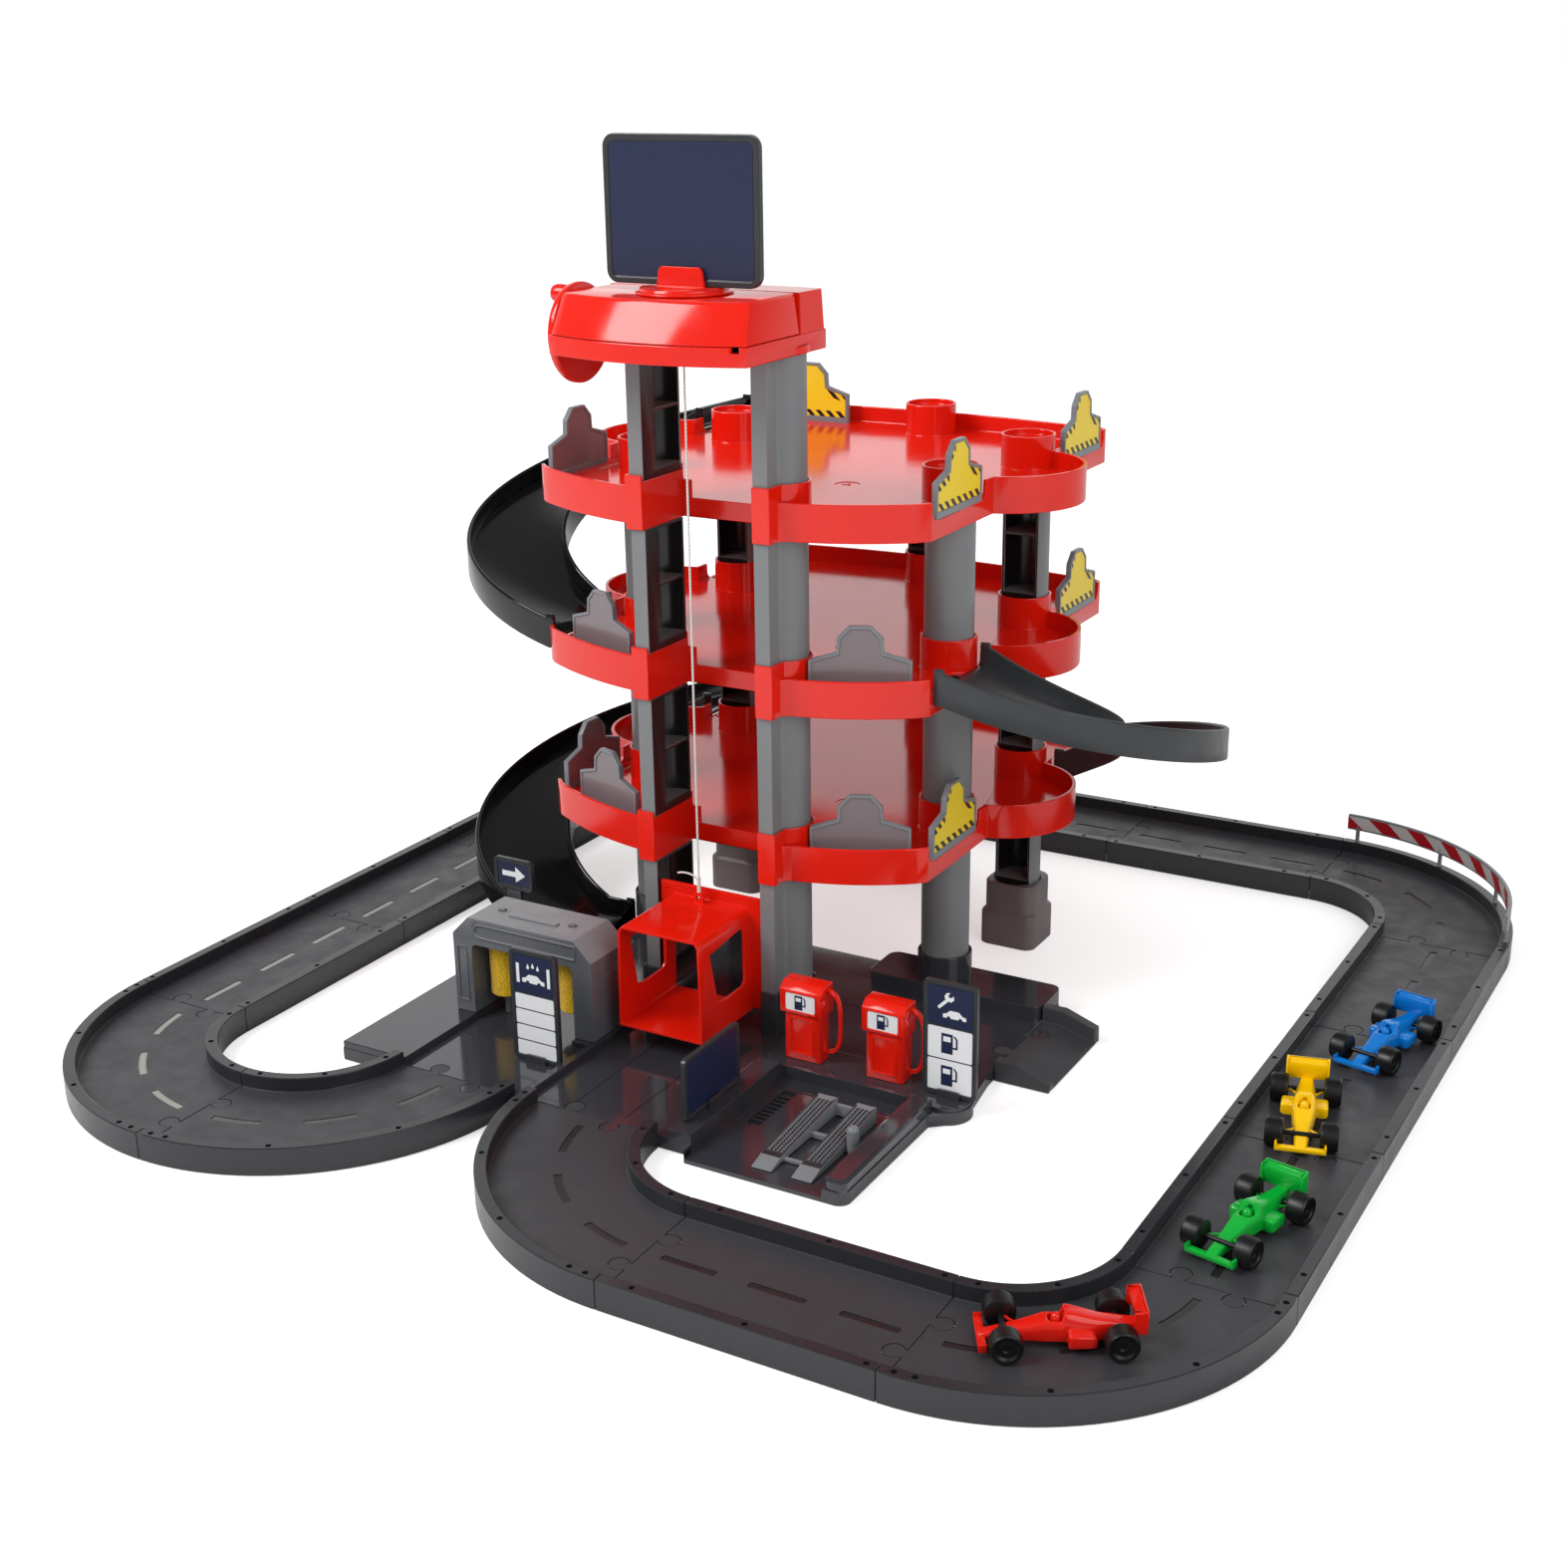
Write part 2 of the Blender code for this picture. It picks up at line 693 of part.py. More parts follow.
# Floors
def floor_outline(lobe_steps=6, wall_steps=4):
    """Plan of a floor: curved front walls, straight gate edges, side lobes and a bowed back wall."""
    right = RIGHT_GATE_X
    left = LEFT_GATE_X
    lobe_right = right - LOBE_SHIFT
    lobe_left = left + LOBE_SHIFT
    lobe_y = (FRONT_GATE_Y + REAR_GATE_Y) / 2
    turn = math.degrees(math.acos(LOBE_SHIFT / LOBE_RADIUS))
    lift_edge = LIFT_OPENING / 2 + FLANGE_WIDTH
    opening = LIFT_OPENING / 2 + SLIDE_GAP
    front = LIFT_COLUMN_Y - COLUMN_RADIUS - FLANGE_DEPTH / 2
    corner = 7 * MM
    back_corner = BACK_WALL_Y - 14 * MM
    points = [(TOWER_X + opening, front), (TOWER_X + lift_edge, front)]
    points += bowed((TOWER_X + lift_edge + corner, FRONT_WALL_Y), (right - corner, CORNER_Y - corner),
                    5 * MM, wall_steps - 1)
    points += [(right, CORNER_Y)]
    points += arc(lobe_right, lobe_y, LOBE_RADIUS, -turn, turn, lobe_steps)
    points += [(right, back_corner - corner)]
    points += bowed((right - corner, back_corner), (left + corner, back_corner), 14 * MM, wall_steps)
    points += [(left, back_corner - corner)]
    points += arc(lobe_left, lobe_y, LOBE_RADIUS, 180 - turn, 180 + turn, lobe_steps)
    points += [(left, CORNER_Y)]
    points += bowed((left + corner, CORNER_Y - corner), (TOWER_X - lift_edge - corner, FRONT_WALL_Y),
                    5 * MM, wall_steps - 1)
    points += [(TOWER_X - lift_edge, front), (TOWER_X - opening, front)]
    points += [(TOWER_X - opening, EXIT_Y), (TOWER_X + opening, EXIT_Y)]
    return points


def bowed(start, end, rise, steps):
    """Shallow curve from start to end that bulges to the right of the way it runs."""
    points = []
    run = Vector((end[0] - start[0], end[1] - start[1]))
    side = Vector((run.y, -run.x)).normalized()
    for i in range(steps + 1):
        t = i / steps
        bulge = rise * 4 * t * (1 - t)
        points.append((start[0] + run.x * t + side.x * bulge, start[1] + run.y * t + side.y * bulge))
    return points


def round_bore(x, y, facing, wall):
    """Plan of the hole that a plain column fits in, or of the collar round it."""
    step = 360 / COLUMN_SIDES
    start = facing + 1.5 * step
    return arc(x, y, COLUMN_RADIUS + SEAT_GAP + wall, start, start + 360 - step, COLUMN_SIDES - 1)


def collar_mesh(low, lift_low, high, spots, wall):
    """Solid collars, or with no wall the recesses in them; the lift's start at their own height."""
    mesh = bmesh.new()
    for x, y, facing, carrier in spots:
        prism(mesh, round_bore(x, y, facing, wall), low, high)
    for side in (1, -1):
        inward = -SEAT_GAP if wall > 0 else SEAT_GAP
        prism(mesh, mirrored(lift_column_outline(SEAT_GAP + wall, inward), side), lift_low, high)
    return mesh


def make_floor(number, material):
    outline = floor_outline()
    inner = inset(outline, FLOOR_SKIN)
    mesh = bmesh.new()
    prism(mesh, outline, 0, FLOOR_RIM)
    height = FIRST_FLOOR + (number - 1) * LEVEL_HEIGHT
    floor = piece("floor_%d" % number, mesh, material, (0, 0, height))

    hollow = bmesh.new()
    prism(hollow, inner, FLOOR_DECK, FLOOR_RIM + FLOOR_SKIN)
    prism(hollow, inset(floor_outline(3, 2), FLOOR_SKIN), -FLOOR_SKIN, FLOOR_DECK - FLOOR_SKIN)
    cut(floor, "hollow", hollow)

    gates = bmesh.new()
    half = GATE_WIDTH / 2
    for x in (RIGHT_GATE_X, LEFT_GATE_X):
        for y in (FRONT_GATE_Y, REAR_GATE_Y):
            prism(gates, box_outline(x - 2 * FLOOR_SKIN, y - half, x + 2 * FLOOR_SKIN, y + half),
                  FLOOR_DECK, FLOOR_RIM + 2 * FLOOR_SKIN)
    exit_half = LIFT_OPENING / 2 - 2 * FLOOR_SKIN
    prism(gates, box_outline(TOWER_X - exit_half, EXIT_Y - FLOOR_SKIN, TOWER_X + exit_half,
                             EXIT_Y + 2 * FLOOR_SKIN), FLOOR_DECK, FLOOR_RIM + 2 * FLOOR_SKIN)
    cut(floor, "gates", gates)

    spots = column_spots()
    join(floor, "collars", collar_mesh(FLOOR_DECK - FLOOR_SKIN / 2, 0, COLLAR_HEIGHT, spots, COLLAR_WALL))
    if number < FLOOR_COUNT:
        add_columns(floor, spots, True, COLLAR_HEIGHT, LEVEL_HEIGHT)
    else:
        low = COLLAR_HEIGHT - COLLAR_RECESS
        cut(floor, "recesses", collar_mesh(low, low, COLLAR_HEIGHT + COLLAR_RECESS, spots, 0))
    join(floor, "barriers", barrier_mesh(number))
    return floor


# Helical ramps
def ramp_section():
    half = RAMP_WIDTH / 2
    inner = half - RAMP_WALL
    skin = RAMP_WALL / 2
    right = [
        (inner, 0), (inner, RAMP_WALL_UP), (half, RAMP_WALL_UP), (half, -RAMP_WALL_DOWN),
        (half - skin, -RAMP_WALL_DOWN), (half - skin, -RAMP_DECK),
    ]
    left = [(-u, z) for u, z in reversed(right)]
    return right + left


def make_ramp(name, side, gate_x, gate_y_low, gate_y_high, deck_low, deck_high, low_at_front,
              lead_low, material):
    """Half-turn ramp between a front gate and a rear gate, bulging out to one side."""
    radius = (gate_y_high - gate_y_low) / 2
    centre_y = (gate_y_high + gate_y_low) / 2
    centre_x = gate_x + side * RAMP_LEAD
    seat = SEAT_GAP + RAMP_TONGUE
    path = []
    for i in range(RAMP_STEPS + 1):
        t = i / RAMP_STEPS
        angle = math.pi * t
        x = centre_x + side * radius * math.sin(angle)
        y = centre_y - radius * math.cos(angle)
        right = (side * math.sin(angle), -math.cos(angle))
        share = t if low_at_front else 1 - t
        z = deck_low + (deck_high - deck_low) * share + seat
        path.append((x, y, z, right))
    edge = gate_x + side * SEAT_GAP
    first = path[0]
    last = path[-1]
    low_edge = edge - side * lead_low
    if low_at_front:
        path = [(low_edge, first[1], first[2], first[3])] + path + [(edge, last[1], last[2], last[3])]
    else:
        path = [(edge, first[1], first[2], first[3])] + path + [(low_edge, last[1], last[2], last[3])]
    loops = []
    for x, y, z, right in path:
        loops.append([(x + u * right[0], y + u * right[1], z + w) for u, w in ramp_section()])
    mesh = bmesh.new()
    loft(mesh, loops)
    ramp = piece(name, mesh, material)

    tongues = bmesh.new()
    half = RAMP_TONGUE_WIDTH / 2
    for x, y, z, right in (path[0], path[-1]):
        x0 = x - side * RAMP_TONGUE_LENGTH
        x1 = x + side * 2 * RAMP_DECK
        prism(tongues, box_outline(min(x0, x1), y - half, max(x0, x1), y + half),
              z - RAMP_TONGUE, z - SEAT_GAP)
    join(ramp, "tongues", tongues)
    return ramp


# Base plate
def base_outline():
    front = SEAT_GAP / 2
    back = BASE_DEPTH
    gate_low = BASE_GATE_Y - GATE_WIDTH / 2
    gate_high = BASE_GATE_Y + GATE_WIDTH / 2
    corner = 8 * MM
    exit_x = BASE_EXIT_X - SEAT_GAP / 2
    points = [(BASE_LEFT, front), (BAY_LEFT, front), (BAY_LEFT, -BAY_FRONT)]
    points += arc(BASE_SIDE - corner, -BAY_FRONT + corner, corner, -90, 0, 3)
    boss_low = PUMP_SIGN_Y - SIGN_BOSS
    points += [(BASE_SIDE, boss_low - corner)]
    points += arc(BASE_SIDE + 2 * MM, PUMP_SIGN_Y - 2 * MM, SIGN_BOSS, -68, 40, 5)
    points += [(exit_x, EXIT_LANE_Y - EXIT_LANE_WIDTH / 2 - corner)]
    points += [(exit_x, back - corner), (exit_x - corner, back)]
    points += [(-BASE_GATE_X + corner, back), (-BASE_GATE_X, back - corner)]
    points += [(-BASE_GATE_X, gate_low), (BASE_LEFT + corner, KERB_LENGTH), (BASE_LEFT, KERB_LENGTH - corner)]
    return points


def clip(mesh, x, y, z, along_y):
    """Two prongs that hold a standing plate between them."""
    near = SIGN_THICKNESS / 2 + SEAT_GAP
    far = near + CLIP_THICKNESS
    half = CLIP_WIDTH / 2
    for side in (1, -1):
        low = min(side * near, side * far)
        high = max(side * near, side * far)
        if along_y:
            prism(mesh, box_outline(x + low, y - half, x + high, y + half), z - CLIP_THICKNESS, z + CLIP_HEIGHT)
        else:
            prism(mesh, box_outline(x - half, y + low, x + half, y + high), z - CLIP_THICKNESS, z + CLIP_HEIGHT)


def make_base(material):
    outline = base_outline()
    mesh = bmesh.new()
    prism(mesh, outline, 0, DECK_HEIGHT)
    base = piece("base_plate", mesh, material)

    under = DECK_HEIGHT - DECK_THICKNESS
    lane_right = ROAD_WIDTH / 2
    front = SEAT_GAP / 2
    hollow = bmesh.new()
    prism(hollow, box_outline(BASE_LEFT + BASE_SKIN, front + BASE_SKIN, BAY_LEFT - 2 * BASE_SKIN,
                              BASE_GATE_Y - GATE_WIDTH / 2 - 3 * BASE_SKIN), -BASE_SKIN, under)
    prism(hollow, box_outline(-BASE_GATE_X + BASE_SKIN, BASE_GATE_Y - GATE_WIDTH / 2, BASE_SIDE,
                              BASE_DEPTH - 10 * MM - BASE_SKIN), -BASE_SKIN, under)
    cut(base, "hollow", hollow)

    raised = bmesh.new()
    sink = DECK_HEIGHT - 1 * MM
    kerb_right = BASE_LEFT + KERB_WIDTH
    prism(raised, box_outline(BASE_LEFT + 0.4 * MM, front + 0.4 * MM, kerb_right,
                              KERB_LENGTH - 8.5 * MM), sink, KERB_TOP)
    plinth_left = -LANE_GAP + WASH_DOOR
    divider = -lane_right - 5 * MM
    prism(raised, [
        (divider, front + 0.4 * MM), (-lane_right, front + 0.4 * MM), (-lane_right, WASH_FRONT_Y + WASH_DEPTH + 8 * MM),
        (plinth_left, WASH_FRONT_Y + WASH_DEPTH + 8 * MM), (plinth_left, WASH_FRONT_Y - 4 * MM),
        (divider, WASH_FRONT_Y - 4 * MM),
    ], sink, KERB_TOP)
    ledge_left = BAY_LEFT - LEDGE_WIDTH
    prism(raised, box_outline(ledge_left, front + 0.4 * MM, BAY_LEFT - 0.4 * MM, BAY_DEPTH - 2 * MM),
          sink, LEDGE_TOP)
    rail = rounded_box(BAY_RIGHT + 0.4 * MM, -BAY_FRONT + 0.4 * MM, BASE_SIDE - 0.4 * MM,
                       BAY_DEPTH - 2 * MM, BAY_RAIL / 3, 3)
    prism(raised, rail, sink, BAY_RAIL_TOP)
    island_right = BASE_SIDE
    prism(raised, box_outline(ledge_left, BAY_DEPTH, island_right, BAY_DEPTH + ISLAND_DEPTH), sink, ISLAND_TOP)
    kerb_front = BASE_DEPTH - REAR_KERB_DEPTH
    kerb = rounded_box(REAR_KERB_LEFT, kerb_front, BASE_EXIT_X - 1 * MM, BASE_DEPTH - 0.4 * MM, 8 * MM, 3)
    prism(raised, kerb, sink, REAR_KERB_TOP)
    join(base, "raised", raised)
    boss = bmesh.new()
    post(boss, BASE_SIDE + 2 * MM, PUMP_SIGN_Y - 2 * MM, SIGN_BOSS - 1 * MM, sink, ISLAND_TOP - 0.1 * MM, 10)
    join(base, "sign_boss", boss)

    clips = bmesh.new()
    clip(clips, WASH_SIGN_X, WASH_SIGN_Y, DECK_HEIGHT, False)
    clip(clips, PUMP_SIGN_X, PUMP_SIGN_Y, ISLAND_TOP, False)
    clip(clips, parking_x(), PARKING_Y, LEDGE_TOP, True)
    clip(clips, arrow_x(), ARROW_Y, KERB_TOP, False)
    join(base, "clips", clips)

    spots = [spot for spot in column_spots() if spot[3] == "base"]
    low = DECK_HEIGHT - DECK_THICKNESS / 2
    join(base, "collars", collar_mesh(low, low, BASE_COLLAR_TOP, spots, COLLAR_WALL))
    add_columns(base, spots, True, BASE_COLLAR_TOP, FIRST_FLOOR)

    bay = bmesh.new()
    prism(bay, box_outline(BAY_LEFT, -BAY_FRONT - 2 * MM, BAY_RIGHT, BAY_DEPTH), BAY_FLOOR,
          BAY_RAIL_TOP + 2 * MM)
    cut(base, "bay", bay)
    slot = bmesh.new()
    slot_x = BAY_LEFT + SLOT_WIDTH
    slot_y = BAY_DEPTH - 16 * MM
    half = SLOT_WIDTH / 2
    outline = arc(slot_x + half, slot_y - SLOT_LENGTH + half, half, 180, 360, 5)
    outline += [(slot_x + SLOT_WIDTH, slot_y), (slot_x, slot_y)]
    prism(slot, outline, -1 * MM, BAY_FLOOR + 1 * MM)
    cut(base, "slot", slot)
    add_tabs(base, [(0, 0, -90), (-LANE_GAP, 0, -90), (BASE_EXIT_X, EXIT_LANE_Y, 0)])
    return base


def parking_x():
    return BAY_LEFT - LEDGE_WIDTH + CLIP_THICKNESS + SIGN_THICKNESS


def arrow_x():
    return BASE_LEFT + ARROW_WIDTH / 2


def make_exit_ramp(material):
    """Sloping piece beside the base plate, a trough whose walls and deck run down to the ground."""
    half = EXIT_LANE_WIDTH / 2
    near = EXIT_LANE_Y - half
    far = EXIT_LANE_Y + half
    skin = BASE_SKIN
    x0 = BASE_EXIT_X + SEAT_GAP / 2
    x1 = x0 + EXIT_FLAT
    x2 = x1 + EXIT_SLOPE
    loops = []
    for x, deck, near_top, far_top in (
        (x0, DECK_HEIGHT, LEDGE_TOP, REAR_KERB_TOP),
        (x1, DECK_HEIGHT, LEDGE_TOP, REAR_KERB_TOP),
        (x2, skin / 2, DECK_HEIGHT / 2, DECK_HEIGHT + skin),
    ):
        under = max(deck - DECK_THICKNESS, skin / 4)
        loops.append([
            (x, near, 0), (x, near, near_top), (x, near + EXIT_WALL, near_top),
            (x, near + EXIT_WALL, deck), (x, far - EXIT_WALL, deck), (x, far - EXIT_WALL, far_top),
            (x, far, far_top), (x, far, 0), (x, far - skin, 0), (x, far - skin, under),
            (x, near + skin, under), (x, near + skin, 0),
        ])
    mesh = bmesh.new()
    loft(mesh, loops)
    ramp = piece("exit_ramp", mesh, material)
    add_tabs(ramp, [(BASE_EXIT_X, EXIT_LANE_Y, 180)])
    return ramp


# Lift head
def head_outline(shrink, y_back):
    left = TOWER_X - HEAD_LEFT + shrink
    right = TOWER_X + HEAD_RIGHT - shrink
    front = bowed((left, HEAD_FRONT_Y + shrink), (right, HEAD_FRONT_Y + shrink), HEAD_BULGE, 6)
    return front + [(right, y_back), (left, y_back)]


def make_head(material):
    """Tray that caps both lift columns, with a full-height block across its back."""
    mesh = bmesh.new()
    prism(mesh, head_outline(0, HEAD_BACK_Y), HEAD_BOTTOM, HEAD_BOTTOM + HEAD_TRAY)
    head = piece("lift_head", mesh, material)
    block = bmesh.new()
    left = TOWER_X - HEAD_LEFT
    right = TOWER_X + HEAD_RIGHT
    base = box_outline(left + 0.4 * MM, HEAD_BLOCK_Y, right - 0.4 * MM, HEAD_BACK_Y - 0.4 * MM)
    top = inset(base, HEAD_TAPER / 2)
    frustum(block, base, top, HEAD_BOTTOM + HEAD_SKIN, COVER_TOP)
    join(head, "block", block)
    hollow = bmesh.new()
    prism(hollow, head_outline(HEAD_SKIN, HEAD_BLOCK_Y - HEAD_SKIN), HEAD_BOTTOM + HEAD_SKIN,
          HEAD_BOTTOM + HEAD_TRAY + HEAD_SKIN)
    cut(head, "hollow", hollow)
    posts = bmesh.new()
    for side in (1, -1):
        outline = mirrored(lift_column_outline(SEAT_GAP + COLLAR_WALL, COLLAR_WALL), side)
        prism(posts, outline, HEAD_BOTTOM + 0.4 * MM, HEAD_BOTTOM + HEAD_SOCKET + HEAD_SKIN)
    join(head, "column_caps", posts)
    sockets = bmesh.new()
    for side in (1, -1):
        prism(sockets, mirrored(lift_column_outline(SEAT_GAP, SEAT_GAP), side), HEAD_BOTTOM - HEAD_SKIN,
              HEAD_BOTTOM + HEAD_SOCKET)
    post(sockets, STRING_X, STRING_Y, 3 * STRING_RADIUS + SLIDE_GAP, HEAD_BOTTOM - HEAD_SKIN,
         HEAD_BOTTOM + 2 * HEAD_SKIN, 8)
    cut(head, "column_sockets", sockets)
    notch = bmesh.new()
    shaft = CRANK_SHAFT + AXLE_GAP
    slab_yz(notch, box_outline(CRANK_Y - shaft, CRANK_Z - shaft, CRANK_Y + shaft, COVER_TOP),
            left - HEAD_SKIN, left + 2 * HEAD_SKIN)
    cut(head, "shaft_notch", notch)
    return head


def make_cover(material):
    """Hollow tapered cover over the winding drum; the turntable's pin turns in its top."""
    back = HEAD_BLOCK_Y - SEAT_GAP
    lower = head_outline(HEAD_SKIN / 2, back)
    upper = head_outline(HEAD_TAPER + HEAD_SKIN / 2, back)
    mesh = bmesh.new()
    frustum(mesh, lower, upper, COVER_BOTTOM, COVER_TOP)
    cover = piece("lift_head_cover", mesh, material)
    inside_low = head_outline(1.5 * HEAD_SKIN, back - HEAD_SKIN)
    inside_high = head_outline(HEAD_TAPER + 1.5 * HEAD_SKIN, back - HEAD_SKIN)
    hollow = bmesh.new()
    frustum(hollow, inside_low, inside_high, COVER_BOTTOM - HEAD_SKIN, COVER_TOP - HEAD_SKIN)
    cut(cover, "hollow", hollow)
    holes = bmesh.new()
    x, y = turntable_spot()
    post(holes, x, y, TURNTABLE_PIN / 2 + AXLE_GAP, COVER_TOP - 2 * HEAD_SKIN, COVER_TOP + HEAD_SKIN, 12)
    cut(cover, "pin_hole", holes)
    return cover


def turntable_spot():
    return STRING_X - 1 * MM, STRING_Y + 5 * MM


def make_crank(material):
    """Hand wheel, shaft and winding drum in one piece, turned about X, with an offset knob."""
    left = TOWER_X - HEAD_LEFT - SLIDE_GAP
    drum = STRING_X
    half_drum = 9 * MM
    flange = DRUM_RADIUS + 1 * MM
    place = Matrix.Translation((left, 0, 0)) @ Matrix.Rotation(math.pi / 2, 4, "Y")
    start = drum - left
    rim = CRANK_THICKNESS
    mesh = bmesh.new()
    turned(mesh, [
        (CRANK_RADIUS * 0.45, -rim), (CRANK_RADIUS * 0.5, -rim / 2),
        (CRANK_RADIUS * 0.84, -rim / 2), (CRANK_RADIUS * 0.9, -rim), (CRANK_RADIUS, -rim * 0.8),
        (CRANK_RADIUS, 0),
    ], 16, place)
    crank = piece("crank_wheel", mesh, material, (0, CRANK_Y, CRANK_Z))
    drum_mesh = bmesh.new()
    turned(drum_mesh, [
        (CRANK_SHAFT, -rim / 4), (CRANK_SHAFT, start - half_drum),
        (flange, start - half_drum), (DRUM_RADIUS, start - half_drum + 1 * MM),
        (DRUM_RADIUS, start + half_drum), (flange, start + half_drum + 1 * MM),
    ], 8, place)
    join(crank, "drum", drum_mesh)
    knob = bmesh.new()
    spot = Matrix.Translation((left - rim / 2 + 1 * MM, 0, KNOB_REACH)) @ Matrix.Rotation(-math.pi / 2, 4, "Y")
    turned(knob, [
        (KNOB_RADIUS * 0.8, 0), (KNOB_RADIUS, KNOB_LENGTH * 0.7),
        (KNOB_RADIUS * 0.9, KNOB_LENGTH * 0.93), (KNOB_RADIUS * 0.6, KNOB_LENGTH),
    ], 12, spot)
    join(crank, "knob", knob)
    return crank


def make_string(material):
    """Taut string from the winding drum down to the hook on the lift car."""
    low = hook_top() + SEAT_GAP
    mesh = bmesh.new()
    post(mesh, 0, 0, STRING_RADIUS, low, CRANK_Z, 6)
    return piece("lift_string", mesh, material, (STRING_X, STRING_Y, 0))


def make_turntable(material):
    """Round plate on a pin, with two upright tabs that grip the sign board."""
    x, y = turntable_spot()
    low = COVER_TOP + SEAT_GAP
    high = low + TURNTABLE_THICKNESS
    radius = TURNTABLE_RADIUS
    mesh = bmesh.new()
    turned(mesh, [
        (radius, low), (radius, low + TURNTABLE_THICKNESS * 0.4), (radius * 0.9, high),
    ], 18, Matrix.Identity(4))
    table = piece("sign_turntable", mesh, material, (x, y, 0))
    tabs = bmesh.new()
    post(tabs, 0, 0, TURNTABLE_PIN / 2, low - 2 * HEAD_SKIN, low + SEAT_GAP, 8)
    near = BOARD_THICKNESS / 2 + SEAT_GAP
    for side in (1, -1):
        y0 = min(side * near, side * (near + SIGN_TAB_THICKNESS))
        y1 = max(side * near, side * (near + SIGN_TAB_THICKNESS))
        half = SIGN_TAB_WIDTH / 2
        outline = [(-half - 2 * MM, high - 1 * MM), (half + 2 * MM, high - 1 * MM)]
        outline += arc(half - 4 * MM, high + SIGN_TAB_HEIGHT - 4 * MM, 4 * MM, 0, 90, 2)
        outline += arc(-half + 4 * MM, high + SIGN_TAB_HEIGHT - 4 * MM, 4 * MM, 90, 180, 2)
        slab_xz(tabs, outline, y0, y1)
    join(table, "tabs", tabs)
    return table


def framed_plate(mesh, width, height, thickness, corner, frame, low, steps=2):
    """Upright plate in XZ with a shallow sunk field inside a frame on its front."""
    outer = rounded_box(-width / 2, low, width / 2, low + height, corner, steps)
    ring = inset(outer, frame)
    deep = inset(outer, frame + BOARD_RECESS / 2)
    half = thickness / 2
    loft(mesh, [
        [(x, -half + BOARD_RECESS, z) for x, z in deep],
        [(x, -half, z) for x, z in ring],
        [(x, -half, z) for x, z in outer],
        [(x, half, z) for x, z in outer],
    ])


def make_sign_board(material):
    x, y = turntable_spot()
    low = COVER_TOP + SEAT_GAP + TURNTABLE_THICKNESS + SEAT_GAP
    mesh = bmesh.new()
    framed_plate(mesh, BOARD_WIDTH, BOARD_HEIGHT, BOARD_THICKNESS, BOARD_CORNER, BOARD_FRAME, low)
    return piece("sign_board", mesh, material, (x, y, 0))


# Lift car
def hook_top():
    return CAR_BOTTOM + CAR_HEIGHT + CAR_HOOK


def make_lift_car(material):
    """Tube open at both ends on a sliding back plate, with side windows and a roof hook."""
    half = CAR_WIDTH / 2
    plate_half = LIFT_OPENING / 2 - SLIDE_GAP
    mesh = bmesh.new()
    slab_xz(mesh, box_outline(-plate_half, 0, plate_half, CAR_PLATE_HEIGHT), -CAR_PLATE / 2, CAR_PLATE / 2)
    car = piece("lift_car", mesh, material, (TOWER_X, CAR_PLATE_Y, CAR_BOTTOM))
    shell = bmesh.new()
    outline = [(-half, 0.4 * MM), (half, 0.4 * MM), (half - 2 * MM, CAR_HEIGHT), (-half + 2 * MM, CAR_HEIGHT)]
    slab_xz(shell, outline, -CAR_DEPTH, 0)
    join(car, "shell", shell)
    tunnel = bmesh.new()
    inner = inset(outline, CAR_SKIN)
    slab_xz(tunnel, inner, -CAR_DEPTH - 2 * MM, CAR_PLATE + 2 * MM)
    cut(car, "tunnel", tunnel)
    window = bmesh.new()
    front = -CAR_DEPTH
    slab_yz(window, [
        (front + 20 * MM, CAR_WINDOW_SILL), (front + 55 * MM, CAR_WINDOW_SILL),
        (front + 57 * MM, CAR_WINDOW_TOP - 3 * MM), (front + 54 * MM, CAR_WINDOW_TOP),
        (front + 12 * MM, CAR_WINDOW_TOP), (front + 17 * MM, CAR_WINDOW_TOP - 4 * MM),
    ], -half - 2 * MM, half + 2 * MM)
    cut(car, "windows", window)
    hook = bmesh.new()
    x = STRING_X - TOWER_X
    y = STRING_Y - CAR_PLATE_Y
    lug = arc(x, CAR_HEIGHT + CAR_HOOK - 4 * MM, 4 * MM, 0, 180, 6)
    foot = [(x - 4 * MM, CAR_HEIGHT - 1 * MM), (x + 4 * MM, CAR_HEIGHT - 1 * MM)]
    slab_xz(hook, foot + lug, y - 1.2 * MM, y + 1.2 * MM)
    join(car, "hook", hook)
    eye = bmesh.new()
    slab_xz(eye, circle(x, CAR_HEIGHT + CAR_HOOK - 4 * MM, 1.8 * MM, 6), y - 3 * MM, y + 3 * MM)
    cut(car, "hook_eye", eye)
    return car


